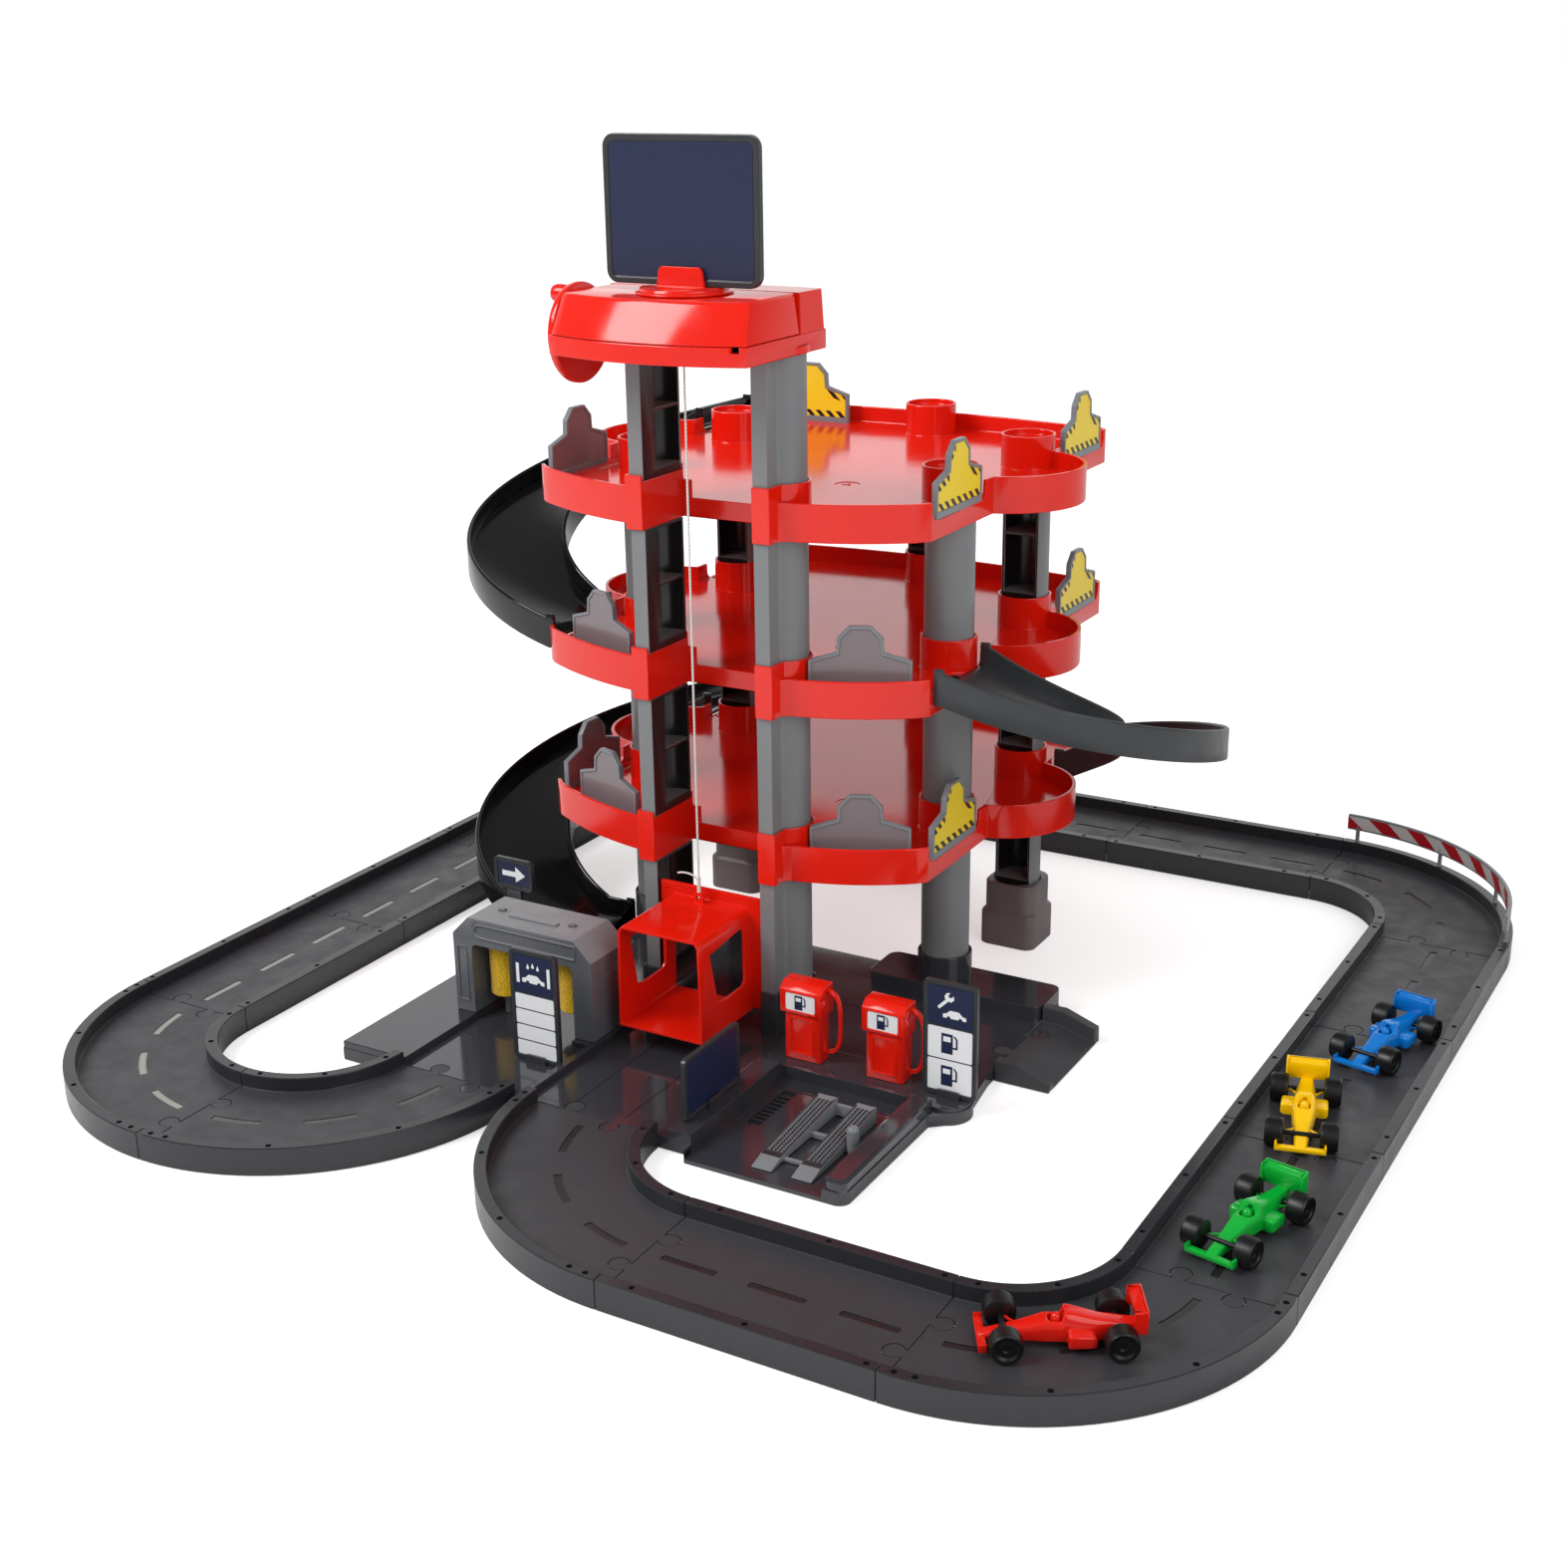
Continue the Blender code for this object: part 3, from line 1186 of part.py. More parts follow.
# Car wash
def make_wash(housing_material, brush_material):
    low = KERB_TOP + SEAT_GAP
    top = low + WASH_HEIGHT
    mid = -LANE_GAP
    outline = [
        (mid - WASH_HALF, low), (mid - WASH_DOOR, low), (mid - WASH_DOOR, low + WASH_LINTEL),
        (mid + WASH_DOOR, low + WASH_LINTEL), (mid + WASH_DOOR, low), (mid + WASH_HALF, low),
        (mid + WASH_HALF, top - WASH_CHAMFER), (mid + WASH_HALF - WASH_CHAMFER, top),
        (mid - WASH_HALF + WASH_CHAMFER, top), (mid - WASH_HALF, top - WASH_CHAMFER),
    ]
    mesh = bmesh.new()
    slab_xz(mesh, outline, WASH_FRONT_Y, WASH_FRONT_Y + WASH_DEPTH)
    housing = piece("car_wash_housing", mesh, housing_material)
    bores = bmesh.new()
    y = WASH_FRONT_Y + WASH_DEPTH / 2
    for side in (-1, 1):
        post(bores, mid + side * ROLLER_SPREAD, y, ROLLER_AXLE + AXLE_GAP,
             low + WASH_LINTEL - 2 * MM, top + 2 * MM, 10)
    cut(housing, "roller_bores", bores)
    bottom = DECK_HEIGHT + SEAT_GAP
    brush = low + WASH_LINTEL - ROLLER_HEIGHT - 3 * MM
    for side, name in ((-1, "wash_roller_left"), (1, "wash_roller_right")):
        roller = bmesh.new()
        turned(roller, [
            (ROLLER_AXLE, bottom), (ROLLER_AXLE, brush), (ROLLER_RADIUS, brush),
            (ROLLER_RADIUS, brush + ROLLER_HEIGHT), (ROLLER_AXLE, brush + ROLLER_HEIGHT),
            (ROLLER_AXLE, top + 1.5 * MM),
        ], 12, Matrix.Identity(4))
        piece(name, roller, brush_material, (mid + side * ROLLER_SPREAD, y, 0))
    return housing


# Fuel pumps
def make_pump(number, x, material):
    """Pump body, a wider sloping head and the moulded hose loop at its side."""
    low = ISLAND_TOP + SEAT_GAP
    half = PUMP_WIDTH / 2
    depth = PUMP_DEPTH / 2
    mesh = bmesh.new()
    prism(mesh, box_outline(-half, -depth, half, depth), low, low + PUMP_HEIGHT + 2 * MM)
    pump = piece("fuel_pump_%d" % number, mesh, material, (x, PUMP_Y, 0))
    head = bmesh.new()
    z0 = low + PUMP_HEIGHT
    z1 = z0 + PUMP_HEAD
    slab_yz(head, [
        (-depth - 2 * MM, z0), (depth + 1 * MM, z0), (depth + 1 * MM, z1),
        (-depth + 3 * MM, z1), (-depth - 2 * MM, z1 - 4 * MM),
    ], -half - 2 * MM, half + 2 * MM)
    join(pump, "head", head)
    hose = bmesh.new()
    reach = PUMP_HOSE_REACH
    rise = (z1 - low) / 2 - 4 * MM
    middle = (z1 + low) / 2 + 2 * MM
    outer = []
    inner = []
    for px, pz in bend_points(reach, rise, 9):
        outer.append((half - 2 * MM + px, middle + pz))
    for px, pz in bend_points(reach - PUMP_HOSE, rise - PUMP_HOSE, 9):
        inner.append((half - 2 * MM + px, middle + pz))
    slab_xz(hose, outer + inner[::-1], -PUMP_HOSE / 2, PUMP_HOSE / 2)
    join(pump, "hose", hose)
    return pump


def bend_points(reach, rise, steps):
    """Half of a superellipse from bottom to top, bulging to +X."""
    points = []
    for i in range(steps + 1):
        angle = math.radians(-90 + 180 * i / steps)
        c = math.cos(angle)
        s = math.sin(angle)
        points.append((reach * abs(c) ** 0.6, rise * math.copysign(abs(s) ** 0.6, s)))
    return points


# Standing signs
def make_signs(material):
    places = (
        ("wash_sign", WASH_SIGN_X, WASH_SIGN_Y, 0.0, SIGN_WIDTH, SIGN_HEIGHT, DECK_HEIGHT),
        ("pump_sign", PUMP_SIGN_X, PUMP_SIGN_Y, 0.0, SIGN_WIDTH, SIGN_HEIGHT, ISLAND_TOP),
        ("parking_sign", parking_x(), PARKING_Y, math.pi / 2, PARKING_LENGTH, PARKING_HEIGHT, LEDGE_TOP),
    )
    for name, x, y, turn, width, height, seat in places:
        mesh = bmesh.new()
        framed_plate(mesh, width, height, SIGN_THICKNESS, SIGN_CORNER, SIGN_FRAME, seat + SEAT_GAP)
        piece(name, mesh, material, (x, y, 0), turn)
    mesh = bmesh.new()
    low = KERB_TOP + SEAT_GAP
    framed_plate(mesh, ARROW_WIDTH, ARROW_HEIGHT, SIGN_THICKNESS, SIGN_CORNER, SIGN_FRAME,
                 low + ARROW_POST)
    arrow = piece("arrow_sign", mesh, material, (arrow_x(), ARROW_Y, 0))
    stem = bmesh.new()
    half = ARROW_POST_WIDTH / 2
    slab_xz(stem, box_outline(-half, low, half, low + ARROW_POST + SIGN_FRAME / 2),
            -SIGN_THICKNESS / 2 + 0.2 * MM, SIGN_THICKNESS / 2 - 0.2 * MM)
    join(arrow, "stem", stem)


# Gate barriers
def barrier_outline():
    """Stepped gable: a straight foot, low shoulders and a narrow middle gable."""
    half = BARRIER_WIDTH / 2
    gable = half * 0.46
    peak = half * 0.22
    top = BARRIER_HEIGHT
    right = [
        (half, -FLOOR_SKIN / 2), (half, BARRIER_SHOULDER),
        (gable, BARRIER_SHOULDER + 3 * MM), (gable, top - 9 * MM), (peak, top),
    ]
    left = [(-x, z) for x, z in reversed(right)]
    return right + left


def barrier_places():
    """Each barrier: its floor, x, y and turn about the vertical."""
    gate_in = BARRIER_THICKNESS / 2
    right = RIGHT_GATE_X - gate_in
    left = LEFT_GATE_X + gate_in
    lift_edge = LIFT_OPENING / 2 + FLANGE_WIDTH
    mid_right = (TOWER_X + lift_edge + RIGHT_GATE_X) / 2
    mid_left = (TOWER_X - lift_edge + LEFT_GATE_X) / 2
    mid_y = (FRONT_WALL_Y + CORNER_Y) / 2 + 8 * MM
    slope_right = math.atan2(CORNER_Y - FRONT_WALL_Y, RIGHT_GATE_X - TOWER_X - lift_edge)
    slope_left = math.atan2(CORNER_Y - FRONT_WALL_Y, LEFT_GATE_X - TOWER_X + lift_edge) + math.pi
    quarter = math.pi / 2
    return [
        (1, mid_right, mid_y, slope_right), (1, mid_left, mid_y, slope_left),
        (1, right, FRONT_GATE_Y, quarter), (1, left, FRONT_GATE_Y, quarter),
        (2, mid_right, mid_y, slope_right), (2, mid_left, mid_y, slope_left),
        (2, right, REAR_GATE_Y, quarter),
        (3, right, FRONT_GATE_Y, quarter), (3, right, REAR_GATE_Y, quarter),
        (3, left, FRONT_GATE_Y, quarter), (3, TOWER_X - BACK_BARRIER_SHIFT, BACK_WALL_Y - 18 * MM, 0.0),
    ]


def barrier_mesh(number):
    """The barriers of one floor, their feet sunk in its deck."""
    outline = barrier_outline()
    half = BARRIER_THICKNESS / 2
    mesh = bmesh.new()
    for floor_number, x, y, turn in barrier_places():
        if floor_number != number:
            continue
        place = Matrix.Translation((x, y, FLOOR_DECK)) @ Matrix.Rotation(turn, 4, "Z")
        loops = []
        for side in (-half, half):
            loops.append([place @ Vector((a, side, b)) for a, b in outline])
        loft(mesh, loops)
    return mesh


# Service lift
def make_service_lift(material):
    """Two wedge tracks with sloping tips, tied by cross bars, and the peg that lifts them."""
    low = BAY_FLOOR + SEAT_GAP
    back = TRACK_TIP + TRACK_LENGTH
    outline = [(0, 0), (back, 0), (back, TRACK_BACK), (TRACK_TIP, TRACK_FRONT), (0, 0.8 * MM)]
    mesh = bmesh.new()
    for side in (-1, 1):
        x = side * TRACK_SPACING / 2
        slab_yz(mesh, outline, x - TRACK_WIDTH / 2, x + TRACK_WIDTH / 2)
    lift = piece("service_lift", mesh, material, (TRACK_X, TRACK_Y, low))
    bars = bmesh.new()
    reach = TRACK_SPACING / 2
    middle = (TRACK_TIP + back) / 2
    for y, height in ((TRACK_TIP + 3 * MM, 2.5 * MM), (middle, 4 * MM), (back - 4 * MM, 8 * MM)):
        prism(bars, box_outline(-reach, y, reach, y + 3 * MM), 0.3 * MM, height)
    peg_x = TRACK_SPACING / 2 + TRACK_WIDTH / 2 + PEG_RADIUS + 0.5 * MM
    peg_y = TRACK_TIP + TRACK_LENGTH * 0.45
    post(bars, peg_x, peg_y, PEG_RADIUS, 0.3 * MM, PEG_HEIGHT, 12)
    join(lift, "bars", bars)
    arm = bmesh.new()
    prism(arm, box_outline(peg_x - 2 * PEG_RADIUS, peg_y - 1.5 * MM, peg_x, peg_y + 1.5 * MM), 0.8 * MM, 5 * MM)
    join(lift, "peg_arm", arm)
    return lift


# Toy racing cars
def car_place(along, aside, skew):
    """Spot and turn of a toy car in the road loop."""
    corner = CURVE_RADIUS + STRAIGHT_LENGTH
    room = ROAD_WIDTH / 2 - ROAD_WALL - CAR_TRACK / 2 - CAR_ROOM
    radius = CURVE_RADIUS + aside * room
    if along < 0:
        angle = along * math.pi / 2
        return corner + radius * math.cos(angle), radius * math.sin(angle), along * 90 + skew
    return corner + radius, along * STRAIGHT_LENGTH, skew


def racing_core(mesh, front):
    """Nose, cockpit and engine cover lofted along Y from the nose tip, seen from the front axle.

    Each station is distance from the axle, half width, shoulder height, half width on top and top
    height, in sixtieths of the wheelbase.
    """
    unit = WHEEL_BASE / 60
    stations = (
        (-13, 3.5, 4.5, 2.5, 6.5), (9, 5.5, 8, 3.6, 11), (22, 7, 10, 5, 14.5), (23.5, 7, 10, 4.4, 10.5),
        (31, 8, 10, 4.4, 10.5), (32.5, 8, 11, 3.6, 20.5), (49, 6.5, 11, 2.4, 14), (71, 4.5, 9, 3, 12.5),
    )
    loops = []
    for y, half, shoulder, top_half, top in stations:
        right = [(half, CAR_FLOOR / unit), (half, shoulder), (top_half, top)]
        outline = right + [(-x, z) for x, z in reversed(right)]
        loops.append([(x * unit, front + y * unit, z * unit) for x, z in outline])
    loft(mesh, loops)


def racing_fittings(mesh, front):
    """Front wing with its end plates, side pods and the deep rear wing."""
    wing = FRONT_WING / 2
    plate = wing - 2 * MM
    low = CAR_FLOOR
    slab_xz(mesh, [
        (-wing, low), (wing, low), (wing, low + 5.5 * MM), (plate, low + 5.5 * MM),
        (plate, low + 2 * MM), (-plate, low + 2 * MM), (-plate, low + 5.5 * MM), (-wing, low + 5.5 * MM),
    ], front - CAR_OVERHANG, front - WHEEL_RADIUS - AXLE_GAP)
    pod = POD_WIDTH / 2
    for side in (1, -1):
        root = side * 5 * MM
        front_end = box_outline(min(root, side * pod), low, max(root, side * pod), low + POD_HEIGHT)
        back_end = inset(front_end, 0.5 * MM)
        loft(mesh, [
            [(x, front + POD_START, z) for x, z in front_end],
            [(x, front + POD_END, z) for x, z in back_end],
        ])
    spoiler = REAR_WING / 2
    tail = front + WHEEL_BASE + CAR_OVERHANG
    slab_yz(mesh, [
        (tail - 4.5 * MM, low + 8 * MM), (tail - 1 * MM, low + 8 * MM), (tail, CAR_TOP),
        (tail - 7 * MM, CAR_TOP - 1 * MM),
    ], -spoiler, spoiler)


def make_toy_car(colour, x, y, turn, body_material, tyre_material):
    place = (x, y, DECK_HEIGHT + SEAT_GAP)
    angle = math.radians(turn)
    half = WHEEL_BASE / 2
    mesh = bmesh.new()
    racing_core(mesh, -half)
    body = piece("%s_car_body" % colour, mesh, body_material, place, angle)
    fittings = bmesh.new()
    racing_fittings(fittings, -half)
    join(body, "fittings", fittings)
    bores = bmesh.new()
    for end in (-half, half):
        outline = circle(end, WHEEL_RADIUS, AXLE_RADIUS + AXLE_GAP, 6)
        slab_yz(bores, outline, -CAR_TRACK / 2, CAR_TRACK / 2)
    cut(body, "axle_bores", bores)
    outer = CAR_TRACK / 2
    inner = outer - WHEEL_WIDTH
    side = [
        (HUB_RADIUS, -outer + HUB_DEPTH),
        (WHEEL_RADIUS, -outer), (WHEEL_RADIUS, -inner), (AXLE_RADIUS, -inner),
    ]
    profile = side + [(r, -h) for r, h in reversed(side)]
    for end, name in ((-half, "front"), (half, "rear")):
        wheels = bmesh.new()
        turned(wheels, profile, WHEEL_SIDES, Matrix.Rotation(math.pi / 2, 4, "Y"))
        spot = Matrix.Rotation(angle, 4, "Z") @ Vector((0, end, WHEEL_RADIUS))
        at = (x + spot.x, y + spot.y, place[2] + spot.z)
        piece("%s_car_%s_wheels" % (colour, name), wheels, tyre_material, at, angle)


def main():
    for thing in list(bpy.data.objects):
        bpy.data.objects.remove(thing, do_unlink=True)

    red = plastic("red_gloss_plastic", (0.72, 0.03, 0.015), 0.25)
    anthracite = plastic("anthracite_plastic", (0.045, 0.045, 0.05), 0.45)
    black = plastic("black_gloss_plastic", (0.012, 0.012, 0.014), 0.15)
    slate = plastic("slate_plastic", (0.065, 0.07, 0.075), 0.35)
    grey = plastic("grey_plastic", (0.19, 0.2, 0.21), 0.4)
    taupe = plastic("taupe_plastic", (0.15, 0.125, 0.13), 0.5)
    yellow = plastic("yellow_bristle_plastic", (0.8, 0.48, 0.0), 0.8)
    tyre = plastic("black_tyre_plastic", (0.01, 0.01, 0.01), 0.6)
    white = plastic("white_string", (0.85, 0.85, 0.83), 0.9)
    car_colours = {
        "red": plastic("car_red_plastic", (0.76, 0.03, 0.02), 0.3),
        "green": plastic("car_green_plastic", (0.01, 0.36, 0.05), 0.3),
        "yellow": plastic("car_yellow_plastic", (0.9, 0.55, 0.01), 0.3),
        "blue": plastic("car_blue_plastic", (0.015, 0.22, 0.65), 0.3),
    }

    rail_x, rail_y, rail_turn = make_road(anthracite)
    make_guard_rail(rail_x, rail_y, rail_turn, slate)
    make_base(anthracite)
    make_exit_ramp(anthracite)

    for number in range(1, FLOOR_COUNT + 1):
        make_floor(number, red)
    make_top_columns(grey)
    make_column_feet(taupe)

    deck = [FIRST_FLOOR + i * LEVEL_HEIGHT + FLOOR_DECK for i in range(FLOOR_COUNT)]
    make_ramp("ramp_right", 1, RIGHT_GATE_X, FRONT_GATE_Y, REAR_GATE_Y, deck[0], deck[1], False, 0, slate)
    make_ramp("ramp_left_upper", -1, LEFT_GATE_X, FRONT_GATE_Y, REAR_GATE_Y, deck[1], deck[2], True, 0, black)
    lead = -LEFT_GATE_X - BASE_GATE_X
    make_ramp("ramp_left_lower", -1, LEFT_GATE_X, BASE_GATE_Y, REAR_GATE_Y, DECK_HEIGHT, deck[0], True,
              lead, black)

    make_head(red)
    make_cover(red)
    make_crank(red)
    make_string(white)
    make_turntable(red)
    make_sign_board(slate)
    make_lift_car(red)

    make_wash(grey, yellow)
    for number, x in enumerate(PUMP_X, 1):
        make_pump(number, x, red)
    make_signs(slate)
    make_service_lift(grey)
    for colour, along, aside, skew in TOY_CARS:
        x, y, turn = car_place(along, aside, skew)
        make_toy_car(colour, x, y, turn, car_colours[colour], tyre)


main()
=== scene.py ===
"""Dresses the toy parking garage with its visible shapes and finishes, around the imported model."""
import math

import bmesh
import bpy
from bpy.props import FloatProperty, FloatVectorProperty, IntProperty, PointerProperty
from mathutils import Matrix, Vector


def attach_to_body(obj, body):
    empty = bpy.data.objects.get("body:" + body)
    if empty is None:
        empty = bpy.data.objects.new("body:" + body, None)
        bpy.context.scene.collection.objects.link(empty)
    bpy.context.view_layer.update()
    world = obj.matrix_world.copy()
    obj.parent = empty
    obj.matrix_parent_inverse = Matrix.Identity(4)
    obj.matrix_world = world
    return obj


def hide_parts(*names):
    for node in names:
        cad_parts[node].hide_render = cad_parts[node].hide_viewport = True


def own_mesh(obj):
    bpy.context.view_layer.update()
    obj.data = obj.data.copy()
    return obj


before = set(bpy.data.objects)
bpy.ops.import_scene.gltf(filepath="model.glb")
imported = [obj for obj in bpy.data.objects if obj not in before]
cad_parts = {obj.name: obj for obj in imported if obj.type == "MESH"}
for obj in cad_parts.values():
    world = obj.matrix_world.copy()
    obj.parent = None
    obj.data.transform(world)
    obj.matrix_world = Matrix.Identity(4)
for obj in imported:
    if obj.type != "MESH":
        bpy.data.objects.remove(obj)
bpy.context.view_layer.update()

bl_info = {
    "name": "Toy Parking Garage",
    "version": (1, 0, 0),
    "blender": (4, 5, 0),
    "location": "3D View > Sidebar > Garage",
    "description": "Builds the visible pieces of a toy parking garage around its packed model",
    "category": "Object",
}

# Shapes are drawn in millimetres in the tower's own frame and are then put in the model's frame
BASE_AT = Vector((-31.0, -258.0, 0.0))
TO_METRES = 0.001
EDGE = 0.5
SEAT = 0.3

# Road
HALF_ROAD = 50.0
ROAD_WALL = 8.0
ROAD_TOP = 19.0
DECK = 9.3
DECK_UNDER = 6.9
STRAIGHT = 172.0
LANE_GAP = 110.0
CURVE = 117.0
PIECE_GAP = 0.15
MARK_HALF_WIDTH = 2.5
TAB_ASIDE = 17.0
RAIL_POST_ANGLES = (4.0, 31.0, 59.0, 86.0)
RAIL_LOW = ROAD_TOP + 10

# Tower
TOWER = -7.0
COLUMN = 17.0
COLUMN_WALL = 2.2
POCKET_REACH = COLUMN - COLUMN_WALL + 0.4
SIDE_COLUMNS = 120.6
LIFT_HALF = 41.0
LIFT_CENTRE = LIFT_HALF + 4
LIFT_Y = 186.0
FLANGE = 11.0
FLANGE_DEPTH = 13.0
BASE_COLLAR = 40.0
COLLAR = 36.0
FIRST_FLOOR = 120.0
STOREY = 116.0
RIM = 25.0
FLOOR_DECK = 13.0
SKIN = 2.5
RIGHT_GATE = 134.0
LEFT_GATE = -167.0
FRONT_GATE = 250.0
REAR_GATE = 458.0
FRONT_WALL = 168.0
CORNER = 208.0
BACK_WALL = 522.0
HEAD_LOW = 468.0
HEAD_LEFT = TOWER - 83
HEAD_RIGHT = TOWER + 62
COVER_LOW = 480.3
COVER_TOP = 505.3

# Base
BASE_LEFT = -206.0
BASE_SIDE = 187.0
BASE_EXIT = 197.0
BAY_LEFT = 74.0
BAY_RIGHT = 171.0
KERB_TOP = 14.0
LEDGE_TOP = 15.0
ISLAND_TOP = 11.5
KERB_ROOT = 8.3
EXIT_LANE = 225.0
PARKING_CLIP = BAY_LEFT - 11.6
ARROW_CLIP = BASE_LEFT + 17

# Lift, crank and sign
STRING = Vector((-11.0, 151.0, 0.0))
CAR_LOW = 24.0
CAR_PLATE_Y = 160.0
CRANK_Y = 156.7
CRANK_Z = 477.0
TABLE = Vector((-12.0, 156.0, 0.0))

# Car wash, service lift and toy cars
ROLLER_ASIDE = 29.5
ROLLER_Y = 99.5
TRACK_ASIDE = 14
AXLE_Y = 30
AXLE_Z = 9


def linear(colour):
    """Turns an sRGB hex colour into Blender's linear one."""
    channels = []
    for i in (0, 2, 4):
        value = int(colour[i:i + 2], 16) / 255
        channels.append(value / 12.92 if value <= 0.04045 else ((value + 0.055) / 1.055) ** 2.4)
    return (*channels, 1.0)


def shaded(colour, share):
    return tuple(min(1.0, part * share) for part in colour[:3]) + (1.0,)


def set_inputs(tree, node, inputs):
    """Gives a node's inputs their values; another node's output is linked."""
    for key, value in inputs.items():
        if isinstance(value, bpy.types.NodeSocket):
            tree.links.new(value, node.inputs[key])
        else:
            node.inputs[key].default_value = value


def add_node(tree, kind, inputs=None, **settings):
    """Adds a node with its settings, values and links."""
    made = tree.nodes.new(kind)
    for key, value in settings.items():
        setattr(made, key, value)
    set_inputs(tree, made, inputs or {})
    return made


def new_material(name):
    """A material, its tree, its shader and the object's own coordinates."""
    material = bpy.data.materials.new(name)
    material.use_nodes = True
    tree = material.node_tree
    place = add_node(tree, "ShaderNodeTexCoord").outputs["Object"]
    return material, tree, tree.nodes["Principled BSDF"], place


# Millimetres of each pattern of moulded plastic, and how far its colour drifts
MELT_DRIFT = 70
WEAR_PATCH = 16
SINK_RIPPLE = 25.0
TONE_SPREAD = 0.05


def moulded(name, colour, roughness, grain=0.0, grain_depth=0.0, ripple=0.0, coat=0.0):
    """Injection-moulded ABS.

    The colour drifts slowly with the flow of the melt, handling leaves duller patches, a sunk
    skin ripples the gloss over some 25 mm, and an eroded mould gives a fine grain. The grain size
    is in millimetres and drawn coarse enough to show.
    """
    material, tree, shader, place = new_material(name)
    drift = add_node(tree, "ShaderNodeTexNoise", {"Vector": place, "Scale": 1000 / MELT_DRIFT, "Detail": 3.0})
    tone = add_node(tree, "ShaderNodeMix", {
        "Factor": drift.outputs["Fac"], 6: shaded(colour, 1 - TONE_SPREAD), 7: shaded(colour, 1 + TONE_SPREAD),
    }, data_type="RGBA")
    wear = add_node(tree, "ShaderNodeTexNoise", {
        "Vector": place, "Scale": 1000 / WEAR_PATCH, "Detail": 5.0, "Roughness": 0.6,
    })
    dull = add_node(tree, "ShaderNodeMapRange", {
        "Value": wear.outputs["Fac"], "From Min": 0.35, "From Max": 0.7,
        "To Min": roughness * 0.85, "To Max": roughness * 1.25,
    })
    relief = {}
    for size, depth in ((SINK_RIPPLE, ripple), (grain, grain_depth)):
        if size and depth:
            field = add_node(tree, "ShaderNodeTexNoise", {"Vector": place, "Scale": 1000 / size, "Detail": 2.0})
            bump = add_node(tree, "ShaderNodeBump", {
                "Height": field.outputs["Fac"], "Distance": depth * TO_METRES, "Strength": 1.0, **relief,
            })
            relief = {"Normal": bump.outputs["Normal"]}
    set_inputs(tree, shader, {
        "Base Color": tone.outputs[2], "Roughness": dull.outputs["Result"], "IOR": 1.53,
        "Coat Weight": coat, "Coat Roughness": roughness * 0.6, **relief,
    })
    return material


def printed_film(name, colour, other=None, pitch=0.0, lean=1.0, roughness=0.34):
    """Printed vinyl film under clear lacquer.

    Flat, even colour with a thin gloss. With a second colour, slanted stripes run over the
    piece's own map, whose units are tenths of a metre; the pitch is in millimetres.
    """
    material, tree, shader, place = new_material(name)
    speck = add_node(tree, "ShaderNodeTexNoise", {"Vector": place, "Scale": 1000 / 1.2, "Detail": 2.0})
    tone = add_node(tree, "ShaderNodeMix", {
        "Factor": speck.outputs["Fac"], 6: shaded(linear(colour), 0.95), 7: shaded(linear(colour), 1.05),
    }, data_type="RGBA").outputs[2]
    if other:
        spot = add_node(tree, "ShaderNodeUVMap", uv_map="print").outputs["UV"]
        axes = add_node(tree, "ShaderNodeSeparateXYZ", {"Vector": spot}).outputs
        slant = add_node(tree, "ShaderNodeMath", {0: axes["Y"], 1: lean, 2: axes["X"]}, operation="MULTIPLY_ADD")
        count = add_node(tree, "ShaderNodeMath", {0: slant.outputs[0], 1: 100 / pitch}, operation="MULTIPLY")
        part = add_node(tree, "ShaderNodeMath", {0: count.outputs[0]}, operation="FRACT")
        which = add_node(tree, "ShaderNodeMath", {0: part.outputs[0], 1: 0.5}, operation="GREATER_THAN")
        tone = add_node(tree, "ShaderNodeMix", {
            "Factor": which.outputs[0], 6: tone, 7: linear(other),
        }, data_type="RGBA").outputs[2]
    haze = add_node(tree, "ShaderNodeMapRange", {
        "Value": speck.outputs["Fac"], "To Min": roughness * 0.8, "To Max": roughness * 1.2,
    })
    set_inputs(tree, shader, {"Base Color": tone, "Roughness": haze.outputs["Result"], "IOR": 1.5})
    return material


def soft_material(name, field_of, low, high, roughness, sheen, depth):
    """A matt, soft body whose one field gives both its tone, from low to high, and its relief; the low parts, its
    hollows, get the darker tone as painted shade.
    """
    material, tree, shader, place = new_material(name)
    field = field_of(tree, place)
    # The tone follows the relief: the hollows are darkened with painted shade
    tone = add_node(tree, "ShaderNodeMix", {"Factor": field, 6: low, 7: high}, data_type="RGBA")
    bump = add_node(tree, "ShaderNodeBump", {"Height": field, "Distance": depth * TO_METRES, "Strength": 1.0})
    set_inputs(tree, shader, {
        "Base Color": tone.outputs[2], "Roughness": roughness, "Sheen Weight": sheen,
        "Normal": bump.outputs["Normal"],
    })
    return material


def foam(name, colour):
    """Open-cell polyurethane foam: a soft, matt body with pores about 1.5 mm wide, darkened inside with painted shade.
    """
    def pores(tree, place):
        cells = add_node(tree, "ShaderNodeTexVoronoi", {"Vector": place, "Scale": 1000 / 1.5})
        return add_node(tree, "ShaderNodeMapRange", {
            "Value": cells.outputs["Distance"], "From Min": 0.0, "From Max": 0.45,
        }).outputs["Result"]

    tint = linear(colour)
    return soft_material(name, pores, shaded(tint, 0.45), shaded(tint, 1.08), 0.9, 0.3, 0.5)


def twisted_cord(name, colour):
    """Twisted polyester twine: three strands make slanted ridges about 1 mm apart, with painted shade darkening the
    grooves between them.
    """
    def strands(tree, place):
        turn = add_node(tree, "ShaderNodeMapping", {"Vector": place, "Rotation": (0.0, math.radians(35), 0.0)})
        return add_node(tree, "ShaderNodeTexWave", {
            "Vector": turn.outputs["Vector"], "Scale": 1000 / 1.0 / 6.28, "Distortion": 0.6,
        }, bands_direction="Z").outputs["Fac"]

    tint = linear(colour)
    return soft_material(name, strands, shaded(tint, 0.72), tint, 0.85, 0.4, 0.2)


FINISH = {}

